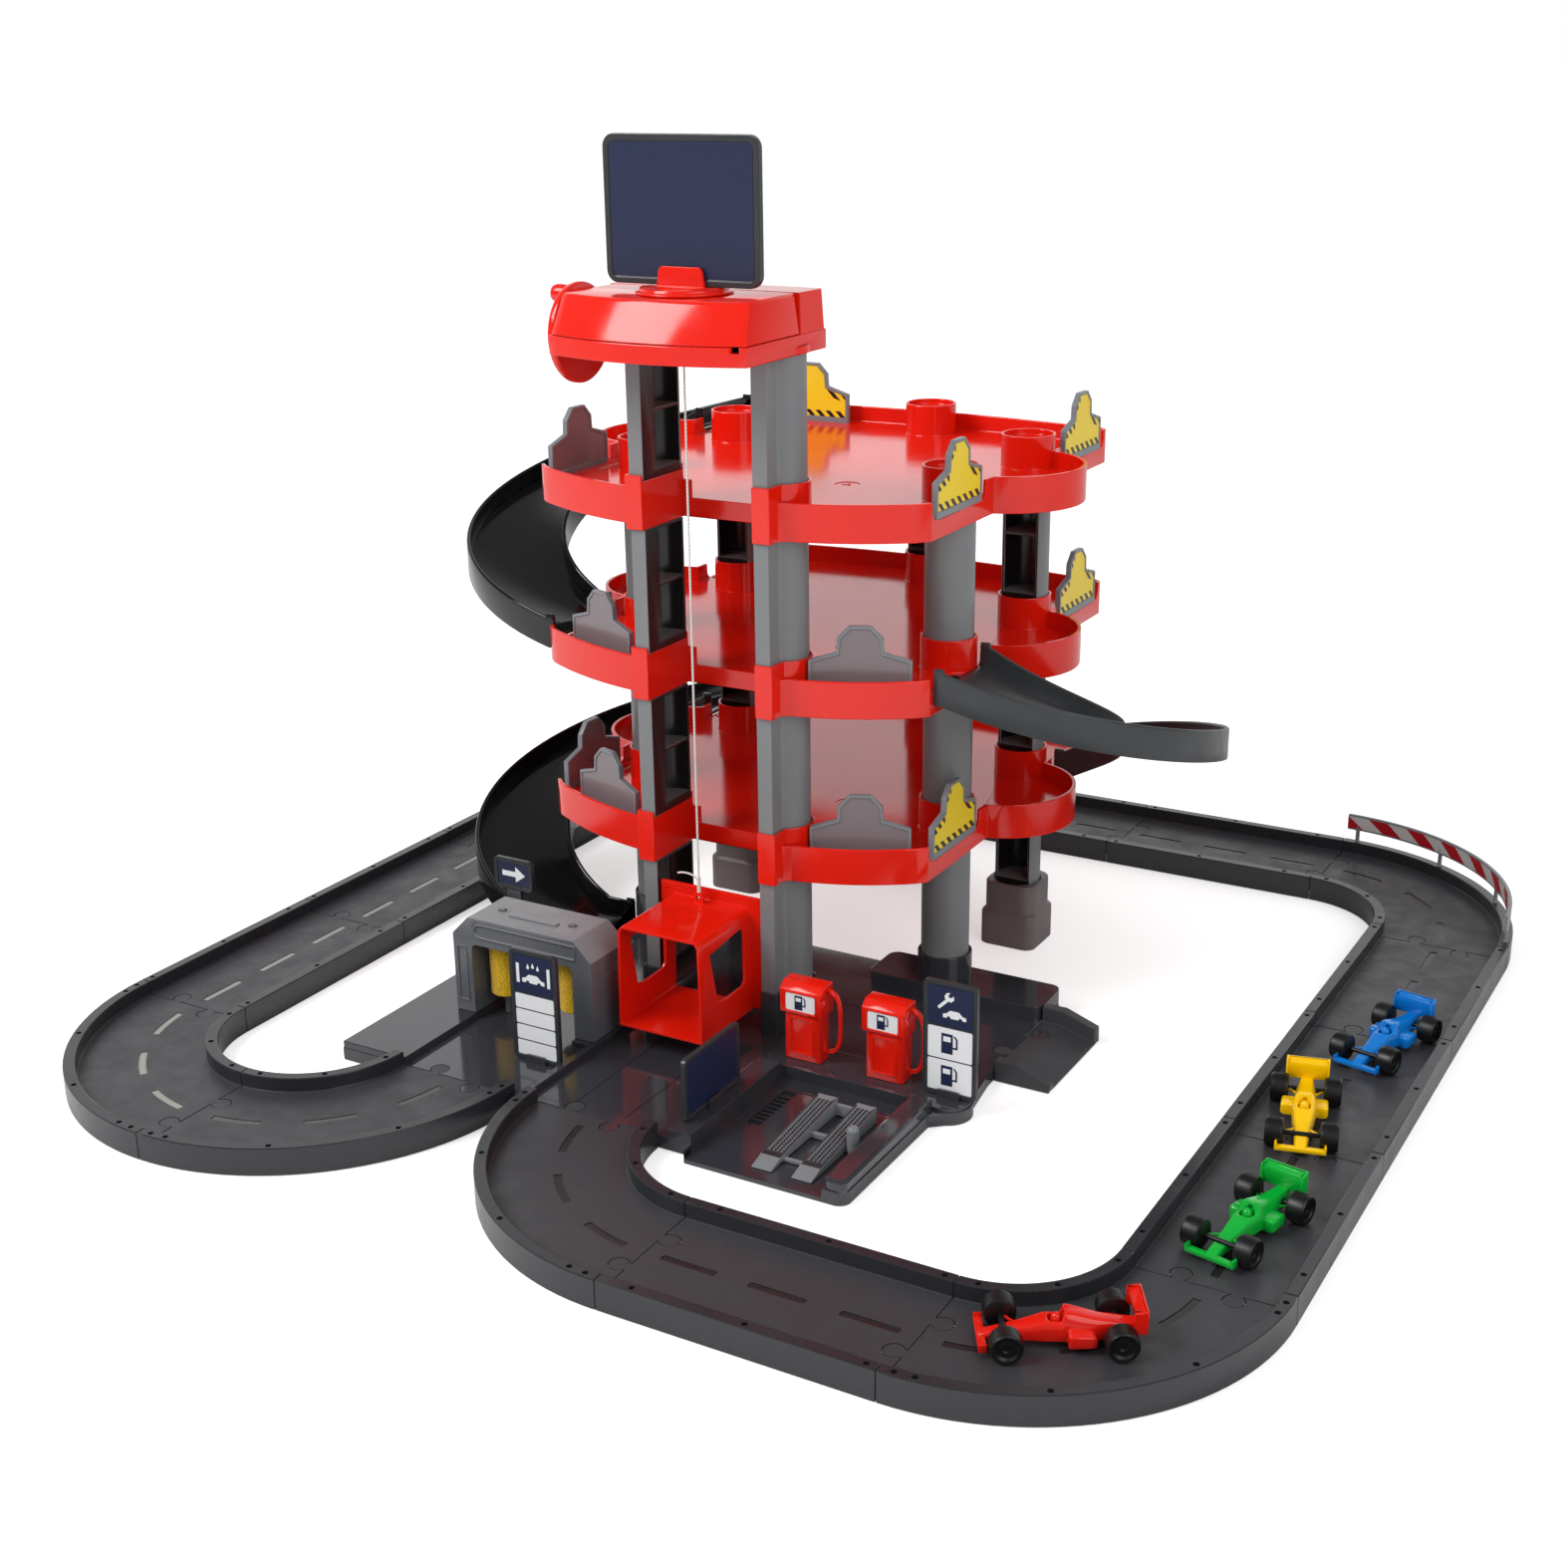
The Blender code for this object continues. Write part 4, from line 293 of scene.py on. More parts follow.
# Moulded finishes: name, colour or its setting, roughness, grain and its depth, ripple, coat
MOULDED = {
    "red": ("abs_red_polished", "red", 0.13, 0, 0, 0.05),
    "deck": ("abs_anthracite_fine_grain", "anthracite", 0.42, 0.9, 0.03, 0.03),
    "wall": ("abs_anthracite_satin", "2A2B2F", 0.24, 0.9, 0.01, 0.02),
    # The lane marks' dim and dark colours are painted light: a dimmer painted reflection, and painted shade in the
    # sunk marks with a painted red reflection
    "dim_reflection_dash": ("lane_paint_worn", "5A5A57", 0.5, 0.6, 0.02),
    "shade_and_red_reflection_dash": ("lane_paint_rubbed_dark", "262122", 0.3, 0.6, 0.02),
    "plate": ("abs_anthracite_polished", "plate", 0.12, 0, 0, 0.06, 0.3),
    "black": ("abs_black_polished", "black", 0.12, 0, 0, 0.05),
    "slate": ("abs_slate_satin", "slate", 0.33, 0.8, 0.015, 0.03),
    "grey": ("abs_column_grey_satin", "grey", 0.36, 0.8, 0.012, 0.03),
    # Paler grey for the car wash's roof and its bosses: a painted sheen
    "pale": ("abs_pale_grey_satin", "808184", 0.4, 0.8, 0.012, 0.02),
    # Inside of the column pockets: partly the plastic's own dark, partly painted shade
    "dark": ("abs_shadowed_inside", "1F1C1D", 0.22, 0.8, 0.012),
    "taupe": ("abs_taupe_satin", "6E6465", 0.4, 0.8, 0.015, 0.03),
    "frame": ("abs_sign_frame_satin", "2E3135", 0.3, 0.8, 0.01, 0.03),
    "wash": ("abs_wash_grey_satin", "5F6166", 0.27, 0.8, 0.01, 0.05, 0.15),
    "gate": ("abs_barrier_grey_satin", "7C7F83", 0.33, 0.8, 0.01, 0.03),
    "panel": ("abs_barrier_panel_taupe", "7C7275", 0.2, 0, 0, 0.04),
    # The pale lane marks are painted light: a painted reflection of the bright surroundings
    "dash": ("lane_paint_pale", "9A9A92", 0.5, 0.6, 0.02),
    "tyre": ("pvc_tyre_black", "0C0C0D", 0.4, 0.7, 0.03),
    "red_car": ("abs_toy_car_red", "car_red", 0.15, 0, 0, 0.05),
    "green_car": ("abs_toy_car_green", "car_green", 0.15, 0, 0, 0.05),
    "yellow_car": ("abs_toy_car_yellow", "car_yellow", 0.15, 0, 0, 0.05),
    "blue_car": ("abs_toy_car_blue", "car_blue", 0.15, 0, 0, 0.05),
}


def make_finishes(colours, sizes):
    """Every finish of the toy; the colours and stripes come from the add-on's own settings."""
    for key, (name, colour, *numbers) in MOULDED.items():
        FINISH[key] = moulded(name, getattr(colours, colour, None) or linear(colour), *numbers)
    FINISH["foam"] = foam("foam_yellow_open_cell", "E3B400")
    FINISH["cord"] = twisted_cord("polyester_twine_white", "E6E6E2")
    FINISH["navy"] = printed_film("vinyl_navy", "1D2546")
    FINISH["white"] = printed_film("vinyl_white", "E9EAEC")
    FINISH["yellow"] = printed_film("vinyl_yellow", "F2D21F")
    FINISH["hazard"] = printed_film(
        "vinyl_yellow_black_stripes", "F2D21F", "17171A", sizes.hazard_pitch / TO_METRES, 1.0)
    FINISH["rail"] = printed_film(
        "vinyl_red_white_stripes", "B3121F", "C9C5C5", sizes.rail_pitch / TO_METRES, -1.3)


# Outlines, counter-clockwise
def arc(cx, cy, radius, start, end, steps):
    points = []
    for i in range(steps + 1):
        angle = math.radians(start + (end - start) * i / steps)
        points.append((cx + radius * math.cos(angle), cy + radius * math.sin(angle)))
    return points


def circle(cx, cy, radius, steps=32):
    return arc(cx, cy, radius, 0, 360 * (steps - 1) / steps, steps - 1)


def box(x0, y0, x1, y1):
    return [(x0, y0), (x1, y0), (x1, y1), (x0, y1)]


def rounded(x0, y0, x1, y1, radius, steps=5):
    corners = ((x1 - radius, y0 + radius, -90), (x1 - radius, y1 - radius, 0),
               (x0 + radius, y1 - radius, 90), (x0 + radius, y0 + radius, 180))
    return [point for x, y, start in corners for point in arc(x, y, radius, start, start + 90, steps)]


def both_halves(right):
    """A symmetric outline from its right half."""
    return right + [(-x, y) for x, y in reversed(right)]


def inset(outline, distance):
    """The outline moved inwards, with mitred corners."""
    shrunk = []
    points = [Vector(point) for point in outline]
    for before, here, after in zip(points[-1:] + points, points, points[1:] + points[:1]):
        first = (here - before).normalized()
        second = (after - here).normalized()
        mitre = Vector((-first.y, first.x)) + Vector((-second.y, second.x))
        mitre = mitre * (2 * distance / mitre.length_squared)
        shrunk.append((here.x + mitre.x, here.y + mitre.y))
    return shrunk


def bowed(start, end, rise, steps):
    """Shallow curve from start to end that bulges to the right of the way it runs."""
    points = []
    run = Vector((end[0] - start[0], end[1] - start[1]))
    side = Vector((run.y, -run.x)).normalized()
    for i in range(steps + 1):
        t = i / steps
        bulge = rise * 4 * t * (1 - t)
        points.append((start[0] + run.x * t + side.x * bulge, start[1] + run.y * t + side.y * bulge))
    return points


def mirrored(outline, side):
    """The outline on one side of the tower's middle line."""
    if side > 0:
        return [(TOWER + x, y) for x, y in outline]
    return [(TOWER - x, y) for x, y in reversed(outline)]


def turned_spot(x, y, degrees):
    return Matrix.Translation((x, y, 0)) @ Matrix.Rotation(math.radians(degrees), 4, "Z")


def moved(outline, place):
    shape = [place @ Vector((x, y, 0)) for x, y in outline]
    return [(point.x, point.y) for point in shape]


# Closed solids, each added to a mesh
def loft(mesh, loops):
    rings = [[mesh.verts.new(point) for point in loop] for loop in loops]
    count = len(rings[0])
    for lower, upper in zip(rings, rings[1:]):
        for i in range(count):
            j = (i + 1) % count
            mesh.faces.new((lower[i], lower[j], upper[j], upper[i]))
    mesh.faces.new(rings[0][::-1])
    mesh.faces.new(rings[-1])


def frustum(mesh, lower, upper, low, high):
    loft(mesh, [[(x, y, low) for x, y in lower], [(x, y, high) for x, y in upper]])


def prism(mesh, outline, low, high):
    frustum(mesh, outline, outline, low, high)


def slab_xz(mesh, outline, y0, y1):
    loft(mesh, [[(x, y, z) for x, z in outline] for y in (y0, y1)])


def slab_yz(mesh, outline, x0, x1):
    loft(mesh, [[(x, y, z) for y, z in outline] for x in (x0, x1)])


def turned(mesh, profile, steps=48, place=Matrix.Identity(4)):
    """Solid of revolution about local Z; the profile runs (radius, height)."""
    loft(mesh, [[place @ Vector((x, y, height)) for x, y in circle(0, 0, radius, steps)]
                for radius, height in profile])


def tube(mesh, points, radius, steps=10):
    """Round rod along a path, with flat ends."""
    loops = []
    up = Vector((0.12, 0.31, 0.94))
    for i, point in enumerate(points):
        along = (Vector(points[min(i + 1, len(points) - 1)]) - Vector(points[max(i - 1, 0)])).normalized()
        side = along.cross(up).normalized()
        up = side.cross(along).normalized()
        loops.append([Vector(point) + side * x + up * y for x, y in circle(0, 0, radius, steps)])
    loft(mesh, loops)


def sweep(mesh, section, stations):
    """A section of the road carried along stations: x, y and the direction of its right."""
    loft(mesh, [[(x + u * right[0], y + u * right[1], z) for u, z in section] for x, y, right in stations])


def mesh_copy(mesh, data):
    mesh.from_mesh(data)


# Pieces. A shape is given as its function and that function's values.
def started(name, *shapes):
    """A new piece, or a helper for a Boolean, made of closed shapes that may overlap."""
    mesh = bmesh.new()
    for kind, *values in shapes:
        kind(mesh, *values)
    bmesh.ops.recalc_face_normals(mesh, faces=mesh.faces)
    data = bpy.data.meshes.new(name)
    mesh.to_mesh(data)
    mesh.free()
    thing = bpy.data.objects.new(name, data)
    bpy.context.scene.collection.objects.link(thing)
    return thing


def change(thing, operation, label, shapes):
    """Adds or cuts shapes; those that overlap each other need the label loose, which is slower."""
    modifier = thing.modifiers.new(label, "BOOLEAN")
    modifier.operation = operation
    modifier.object = started(thing.name + "_" + label, *shapes)
    modifier.use_self = label == "loose"


def cut(thing, *shapes):
    change(thing, "DIFFERENCE", "form", shapes)


def join(thing, *shapes):
    change(thing, "UNION", "form", shapes)


def engrave(thing, *shapes):
    """Cuts shallow marks after the edges are rounded, which stay sharp."""
    change(thing, "DIFFERENCE", "mark", shapes)


def attach(thing, *shapes, edge=EDGE):
    """Adds shapes with rounded edges of their own after the piece's edges are rounded."""
    data = shaped(started("attached", *shapes), edge)
    change(thing, "UNION", "mark", [(mesh_copy, data)])
    bpy.data.meshes.remove(data)


def shaped(thing, edge=EDGE, steps=2):
    """The mesh that a piece's modifiers give; the piece and its helpers are removed."""
    helpers = [modifier.object for modifier in thing.modifiers if modifier.type == "BOOLEAN"]
    if edge:
        weld = thing.modifiers.new("weld", "WELD")
        weld.merge_threshold = 0.02
        bevel = thing.modifiers.new("edge", "BEVEL")
        bevel.width = edge
        bevel.segments = steps
        bevel.limit_method = "ANGLE"
        bevel.angle_limit = math.radians(33)
        bevel.use_clamp_overlap = False
        labels = [modifier.name[:4] for modifier in thing.modifiers]
        if "mark" in labels:
            first = labels.index("mark")
            thing.modifiers.move(len(labels) - 2, first)
            thing.modifiers.move(len(labels) - 1, first + 1)
    bpy.context.view_layer.update()
    data = bpy.data.meshes.new_from_object(thing.evaluated_get(bpy.context.evaluated_depsgraph_get()))
    for old in [thing] + helpers:
        old_data = old.data
        bpy.data.objects.remove(old)
        bpy.data.meshes.remove(old_data)
    return data


def print_map(data, spot):
    """Gives a striped film its own map, in tenths of a metre, from each point in millimetres."""
    spread = data.uv_layers.new(name="print")
    for loop in data.loops:
        u, v = spot(data.vertices[loop.vertex_index].co)
        spread.data[loop.index].uv = (u / 100, v / 100)
    return data


def put(name, data, finishes, body, nodes=(), at=(0, 0, 0), turn=0.0, pick=None, smooth=20):
    """Places a copy of a mesh in the model's frame as a finished piece that rides on a body.

    pick gives the number of the finish for a face from its middle and direction in millimetres.
    """
    own = data.copy()
    own.name = name
    own.materials.clear()
    for finish in finishes:
        own.materials.append(FINISH[finish])
    for face in own.polygons:
        face.material_index = pick(face.center, face.normal) if pick else 0
    spot = Matrix.Translation(BASE_AT + Vector(at)) @ Matrix.Rotation(math.radians(turn), 4, "Z")
    own.transform(Matrix.Scale(TO_METRES, 4) @ spot)
    own.shade_smooth()
    own.set_sharp_from_angle(angle=math.radians(smooth))
    thing = bpy.data.objects.new(name, own)
    bpy.context.scene.collection.objects.link(thing)
    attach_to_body(thing, body)
    if nodes:
        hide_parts(*nodes)
    return thing


# Roads
def road_section():
    inner = HALF_ROAD - ROAD_WALL
    return both_halves([
        (inner, DECK), (inner, ROAD_TOP), (HALF_ROAD, ROAD_TOP), (HALF_ROAD, 0),
        (HALF_ROAD - 1.8, 0), (HALF_ROAD - 1.8, DECK_UNDER),
    ])


def tab_outline(grow):
    neck = 3.5 + grow
    radius = 6.0 + grow
    open_angle = math.degrees(math.asin(neck / radius))
    return [(neck, -1.5)] + arc(0, 6.0, radius, -90 + open_angle, 270 - open_angle, 20) + [(-neck, -1.5)]


def add_tabs(thing, *ends):
    """Jigsaw tab on the left and socket on the right of each end, given as x, y, outward angle."""
    tabs = []
    sockets = []
    for x, y, outward in ends:
        place = turned_spot(x, y, outward - 90)
        tab = moved([(a - TAB_ASIDE, b) for a, b in tab_outline(0)], place)
        socket = moved([(a + TAB_ASIDE, -b) for a, b in tab_outline(0.55)], place)
        tabs.append((prism, tab, DECK_UNDER + SEAT, DECK - 0.15))
        sockets.append((prism, socket[::-1], -2.4, DECK + 2.4))
    attach(thing, *tabs, edge=0)
    engrave(thing, *sockets)


def curve_spot(radius, angle):
    """Point of a road curve at a distance from its bend's centre, and the direction away from it."""
    way = (math.cos(math.radians(angle)), math.sin(math.radians(angle)))
    return radius * way[0] - CURVE, radius * way[1], way


def straight_road():
    ends = [(0, y, (1, 0)) for y in (PIECE_GAP, STRAIGHT - PIECE_GAP)]
    thing = started("straight", (sweep, road_section(), ends))
    add_tabs(thing, (0, 0, -90), (0, STRAIGHT, 90))
    marks = [(prism, rounded(-MARK_HALF_WIDTH, y - 18, MARK_HALF_WIDTH, y + 18, 1.2, 3), DECK - 0.5, DECK + 1)
             for y in (29, 86, 143)]
    holes = [(prism, circle(side * (HALF_ROAD - ROAD_WALL / 2), y, 1.8, 16), ROAD_TOP - 3, ROAD_TOP + 1)
             for side in (-1, 1) for y in (22, 93, 165)]
    engrave(thing, *marks, *holes)
    return shaped(thing, 0.6)


def curved_road(with_rail):
    """A quarter bend; with the guard rail its outer wall has holes for the posts instead of its own."""
    edge = math.degrees(PIECE_GAP / CURVE)
    stations = [curve_spot(CURVE, edge + (90 - 2 * edge) * i / 30) for i in range(31)]
    thing = started("curve", (sweep, road_section(), stations))
    add_tabs(thing, (0, 0, -90), (-CURVE, CURVE, 180))
    marks = []
    half = math.degrees(17 / CURVE)
    for middle in (15, 45, 75):
        outer = [curve_spot(CURVE + MARK_HALF_WIDTH, middle - half + half * i / 4)[:2] for i in range(9)]
        inner = [curve_spot(CURVE - MARK_HALF_WIDTH, middle + half - half * i / 4)[:2] for i in range(9)]
        marks.append((prism, outer + inner, DECK - 0.5, DECK + 1))
    reach = HALF_ROAD - ROAD_WALL / 2
    outside = RAIL_POST_ANGLES if with_rail else (3.0, 7.0, 31.0, 59.0, 83.0, 87.0)
    for radius, angles in ((CURVE + reach, outside), (CURVE - reach, (10.0, 45.0, 80.0))):
        for angle in angles:
            spot = curve_spot(radius, angle)[:2]
            marks.append((prism, circle(*spot, 1.9, 16), ROAD_TOP - 3.6, ROAD_TOP + 1))
    engrave(thing, *marks)
    return shaped(thing, 0.6)


def road_route():
    """Each piece of the loop: its kind, number, place and turn."""
    route = []
    x = 0.0
    y = 0.0
    turn = 180.0
    counts = {"S": 0, "C": 0}
    for kind in "CSCSSSCSSSCSSSCC":
        counts[kind] += 1
        route.append((kind, counts[kind], (x, y, 0), turn))
        heading = (-math.sin(math.radians(turn)), math.cos(math.radians(turn)))
        if kind == "S":
            x += heading[0] * STRAIGHT
            y += heading[1] * STRAIGHT
        else:
            x += (heading[0] - heading[1]) * CURVE
            y += (heading[1] + heading[0]) * CURVE
            turn += 90.0
    return route


def build_road():
    """Sixteen jigsaw road pieces; the lane marks carry painted light: a pale painted reflection on the left, then a
    dimmer painted reflection, then painted shade with a painted red reflection.
    """
    meshes = {"straight": straight_road(), "curve": curved_road(False), "rail": curved_road(True)}

    def lane_mark(middle, normal):
        if normal.z < 0.9 or middle.z > DECK + 1:
            return 2
        return 1 if DECK - 0.6 < middle.z < DECK - 0.3 else 0

    for kind, number, at, turn in road_route():
        word = "straight" if kind == "S" else "curve"
        # The marks' colour follows where each piece stands, as painted light: a painted reflection on the left and
        # rear, painted shade with a red reflection elsewhere
        paint = {"straight8": "dash", "straight9": "dash", "straight10": "dash", "curve5": "dash",
                 "curve6": "dim_reflection_dash"}.get(word + str(number), "shade_and_red_reflection_dash")
        name = "road_%s_%d" % (word, number)
        data = meshes["rail" if name == "road_curve_3" else word]
        put(name + "_shell", data, ["deck", paint, "wall"], "root", [name], at, turn, lane_mark)


def rail_strip(mesh, low, high, thickness, offset):
    """Curved upright board on the outer wall of a road curve."""
    radius = CURVE + HALF_ROAD - ROAD_WALL / 2 + offset
    half = thickness / 2
    sweep(mesh, box(-half, low, half, high), [curve_spot(radius, 1 + 88 * i / 36) for i in range(37)])


def build_guard_rail():
    at, turn = [place[2:] for place in road_route() if place[:2] == ("C", 3)][0]
    rail = started("rail", (rail_strip, RAIL_LOW, RAIL_LOW + 13, 2.6, 0))
    reach = CURVE + HALF_ROAD - ROAD_WALL / 2
    profile = [(2.2, ROAD_TOP - 1.8), (2.2, ROAD_TOP + 0.2), (1.7, ROAD_TOP + 1), (1.6, RAIL_LOW + 5)]
    join(rail, *[(turned, profile, 16, Matrix.Translation((*curve_spot(reach, angle)[:2], 0)))
                 for angle in RAIL_POST_ANGLES])
    put("guard_rail_board", shaped(rail, 0.4), ["gate"], "root", ["guard_rail"], at, turn)
    film = shaped(started("film", (rail_strip, RAIL_LOW + 1.6, RAIL_LOW + 11.4, 0.3, -1.35)), 0)
    print_map(film, lambda point: (math.atan2(point.y, point.x + CURVE) * reach, point.z - RAIL_LOW))
    put("guard_rail_stripes", film, ["rail"], "root", [], at, turn)


# Columns
def column_pockets(mesh, low, high, place):
    """The two hollows of a column's open side, with a shelf below, between and above them."""
    middle = (low + high) / 2
    outline = arc(0, 0, COLUMN - COLUMN_WALL, 54, 306, 20)
    outline += [(COLUMN + 3, outline[-1][1]), (COLUMN + 3, outline[0][1])]
    for z0, z1 in ((low + 2, middle - 1), (middle + 1, high - 2)):
        prism(mesh, moved(outline, place), z0, z1)


def plain_spots():
    """Centre of each plain column, the direction that its open side faces and what carries it."""
    return [
        (TOWER + SIDE_COLUMNS, 279.0, 135.0, "base"),
        (TOWER - SIDE_COLUMNS, 279.0, 45.0, "base"),
        (TOWER + SIDE_COLUMNS, 406.0, -90.0, "right"),
        (TOWER - SIDE_COLUMNS, 406.0, -90.0, "left"),
        (TOWER, 496.0, -90.0, "back"),
    ]


def lift_outline(grow, inward):
    """Plan of the right lift column about the tower's middle line: half pipe and guide flange."""
    edge = LIFT_HALF - inward
    radius = COLUMN + grow
    angle = math.degrees(math.acos((LIFT_CENTRE - edge) / radius))
    back = arc(LIFT_CENTRE, LIFT_Y, radius, -60, 180 - angle, 24)
    front = LIFT_Y - COLUMN - FLANGE_DEPTH - grow
    outer = LIFT_HALF + FLANGE + grow
    return [(edge, front), (outer, front), (outer, back[0][1] - FLANGE_DEPTH / 4)] + back


def put_column(name, outline, low, high, first, last, x, y, facing, nodes):
    """A column whose pockets, from first to last, are dark inside: partly the plastic's own dark, partly painted
    shade.
    """
    column = started("column", (prism, outline, low, high))
    cut(column, (column_pockets, first, last, turned_spot(x, y, facing)))

    def in_pocket(middle, normal):
        away = middle.xy - Vector((x, y))
        inside = away.length < POCKET_REACH - 2 or away.length < POCKET_REACH and away.dot(normal.xy) < 0
        return 1 if inside and abs(normal.z) < 0.9 else 0

    put(name, shaped(column, 0.4), ["grey", "dark"], "root", nodes, pick=in_pocket)


def put_lift_columns(prefix, low, high, first, last, nodes):
    """The lift's two columns of one storey; where no nodes are given, each stands for its own."""
    for side, word in ((1, "right"), (-1, "left")):
        put_column("%s_guide_column_%s" % (prefix, word), mirrored(lift_outline(0, 0), side), low, high, first, last,
                   TOWER + side * LIFT_CENTRE, LIFT_Y, 180 if side > 0 else 0, nodes or ["lift_column_" + word])


def put_columns(prefix, spots, with_lift, low, ceiling, nodes):
    """The columns of one storey; plain ones end under the deck above, the lift's at its collars."""
    high = ceiling + FLOOR_DECK - SKIN - 0.3
    for x, y, facing, _ in spots:
        outline = moved(arc(0, 0, COLUMN, 54, 306, 28), turned_spot(x, y, facing))
        name = "%s_column_%s_%s" % (prefix, "right" if x > TOWER + 9 else "left" if x < TOWER - 9 else "back",
                                    "front" if y < 300 else "rear")
        put_column(name, outline, low - 4, high, low, high, x, y, facing, nodes)
    if with_lift:
        put_lift_columns(prefix, low - 4, ceiling - 0.3, low, ceiling, nodes)


def build_top_columns():
    low = FIRST_FLOOR + 2 * STOREY + COLLAR - 3.7
    put_lift_columns("top", low, HEAD_LOW + 2.7, low + 4, HEAD_LOW, [])


def collars(mesh, low, lift_low, high, spots, wall):
    """Solid collars round the columns, or with a wall of 0.3 mm the recesses in them."""
    for x, y, _, _ in spots:
        prism(mesh, circle(x, y, COLUMN + SEAT + wall, 44), low, high)
    for side in (1, -1):
        prism(mesh, mirrored(lift_outline(SEAT + wall, -SEAT), side), lift_low, high)


def build_feet():
    for x, y, facing, carrier in plain_spots():
        if carrier == "base":
            continue
        lower = rounded(x - 22, y - 22, x + 22, y + 22, 8)
        upper = rounded(x - 20.4, y - 20.4, x + 20.4, y + 20.4, 11)
        steps = ((lower, 0), (lower, 25), (inset(lower, 0.9), 26.5), (upper, 27.4), (upper, 49),
                 (inset(upper, 0.8), 50))
        foot = started("foot", (loft, [[(a, b, z) for a, b in outline] for outline, z in steps]))
        cut(foot, (prism, circle(x, y, COLUMN + 0.7, 44), 46, 52))
        node = carrier + "_column_foot"
        put(carrier + "_foot_shell", shaped(foot, 0.4), ["taupe"], "root", [node])
        put_columns(carrier + "_foot", [(x, y, facing, carrier)], False, 50, FIRST_FLOOR, [node])


# Floors
def floor_outline():
    """Plan of a floor: bowed front walls beside the lift, a lobe at each side and a bowed back."""
    right = RIGHT_GATE
    left = LEFT_GATE
    lobe_y = (FRONT_GATE + REAR_GATE) / 2
    turn = math.degrees(math.acos(12 / 53))
    edge = LIFT_HALF + FLANGE
    opening = LIFT_HALF + 0.6
    front = LIFT_Y - COLUMN - FLANGE_DEPTH / 2
    back_corner = BACK_WALL - 14
    points = [(TOWER + opening, front), (TOWER + edge, front)]
    points += bowed((TOWER + edge + 7, FRONT_WALL), (right - 7, CORNER - 7), 5, 12)
    points += [(right, CORNER)]
    points += arc(right - 12, lobe_y, 53, -turn, turn, 24)
    points += arc(right - 7, back_corner - 7, 7, 0, 80, 5)
    points += bowed((right - 9, back_corner - 0.8), (left + 9, back_corner - 0.8), 14, 16)
    points += arc(left + 7, back_corner - 7, 7, 100, 180, 5)
    points += arc(left + 12, lobe_y, 53, 180 - turn, 180 + turn, 24)
    points += [(left, CORNER)]
    points += bowed((left + 7, CORNER - 7), (TOWER - edge - 7, FRONT_WALL), 5, 12)
    points += [(TOWER - edge, front), (TOWER - opening, front)]
    return points + [(TOWER - opening, 205), (TOWER + opening, 205)]


def floor_gate(mesh, x, y):
    """Gap in a floor's wall, wider towards the top."""
    right = [(37, FLOOR_DECK), (40, FLOOR_DECK + 4), (41, RIM + 5)]
    outline = [(y - 37, FLOOR_DECK)] + [(y + a, b) for a, b in right]
    slab_yz(mesh, outline + [(y - a, b) for a, b in right[:0:-1]], x - 5, x + 5)


def build_floor(number):
    height = FIRST_FLOOR + (number - 1) * STOREY
    node = "floor_%d" % number
    outline = floor_outline()
    inner = inset(outline, SKIN)
    spots = plain_spots()
    gate_ys = (FRONT_GATE, REAR_GATE)
    floor = started("floor", (prism, outline, 0, RIM))
    cut(floor, (prism, inner, FLOOR_DECK, RIM + 3), (prism, inner, -3, FLOOR_DECK - SKIN))
    cut(floor, *[(floor_gate, x, y) for x in (RIGHT_GATE, LEFT_GATE) for y in gate_ys],
        (prism, box(TOWER - LIFT_HALF + 5, 202, TOWER + LIFT_HALF - 5, 210), FLOOR_DECK, RIM + 5))
    join(floor, (collars, FLOOR_DECK - 1.25, 0, COLLAR, spots, 2))
    cut(floor, (collars, COLLAR - 4, COLLAR - 4, COLLAR + 4, spots, 0.3))
    sills = ((RIGHT_GATE - 13, RIGHT_GATE - 3), (LEFT_GATE + 3, LEFT_GATE + 13))
    join(floor, *[(prism, rounded(x0, y - 36, x1, y + 36, 1.5, 2), FLOOR_DECK - 1, FLOOR_DECK + 0.7)
                  for x0, x1 in sills for y in gate_ys])
    # Sunk disc with a small clover-shaped hole in the middle of the deck
    x, y = TOWER + 37, 290
    engrave(floor, (prism, circle(x, y, 9, 36), FLOOR_DECK - 0.4, FLOOR_DECK + 2))
    engrave(floor, *[(prism, circle(*lobe, 1.7, 14), FLOOR_DECK - 1.6, FLOOR_DECK + 2)
                     for lobe in arc(x, y, 2.2, 90, 330, 2)])
    put(node + "_shell", shaped(floor, 0.5), ["red"], "root", [node], (0, 0, height))
    if number < 3:
        put_columns(node, spots, True, height + COLLAR, height + STOREY, [node])
    for index, place in enumerate(barrier_places()[number - 1]):
        put_barrier("%s_barrier_%d" % (node, index + 1), node, height + FLOOR_DECK, *place)


# Gate barriers
def gable(half, shoulder, top):
    """Outline of a barrier: sloping shoulders on both sides of a crown with cut corners."""
    return both_halves([
        (half, 0), (half, shoulder), (half * 0.46, shoulder + 5.5), (half * 0.44, top - 8), (half * 0.21, top),
    ])


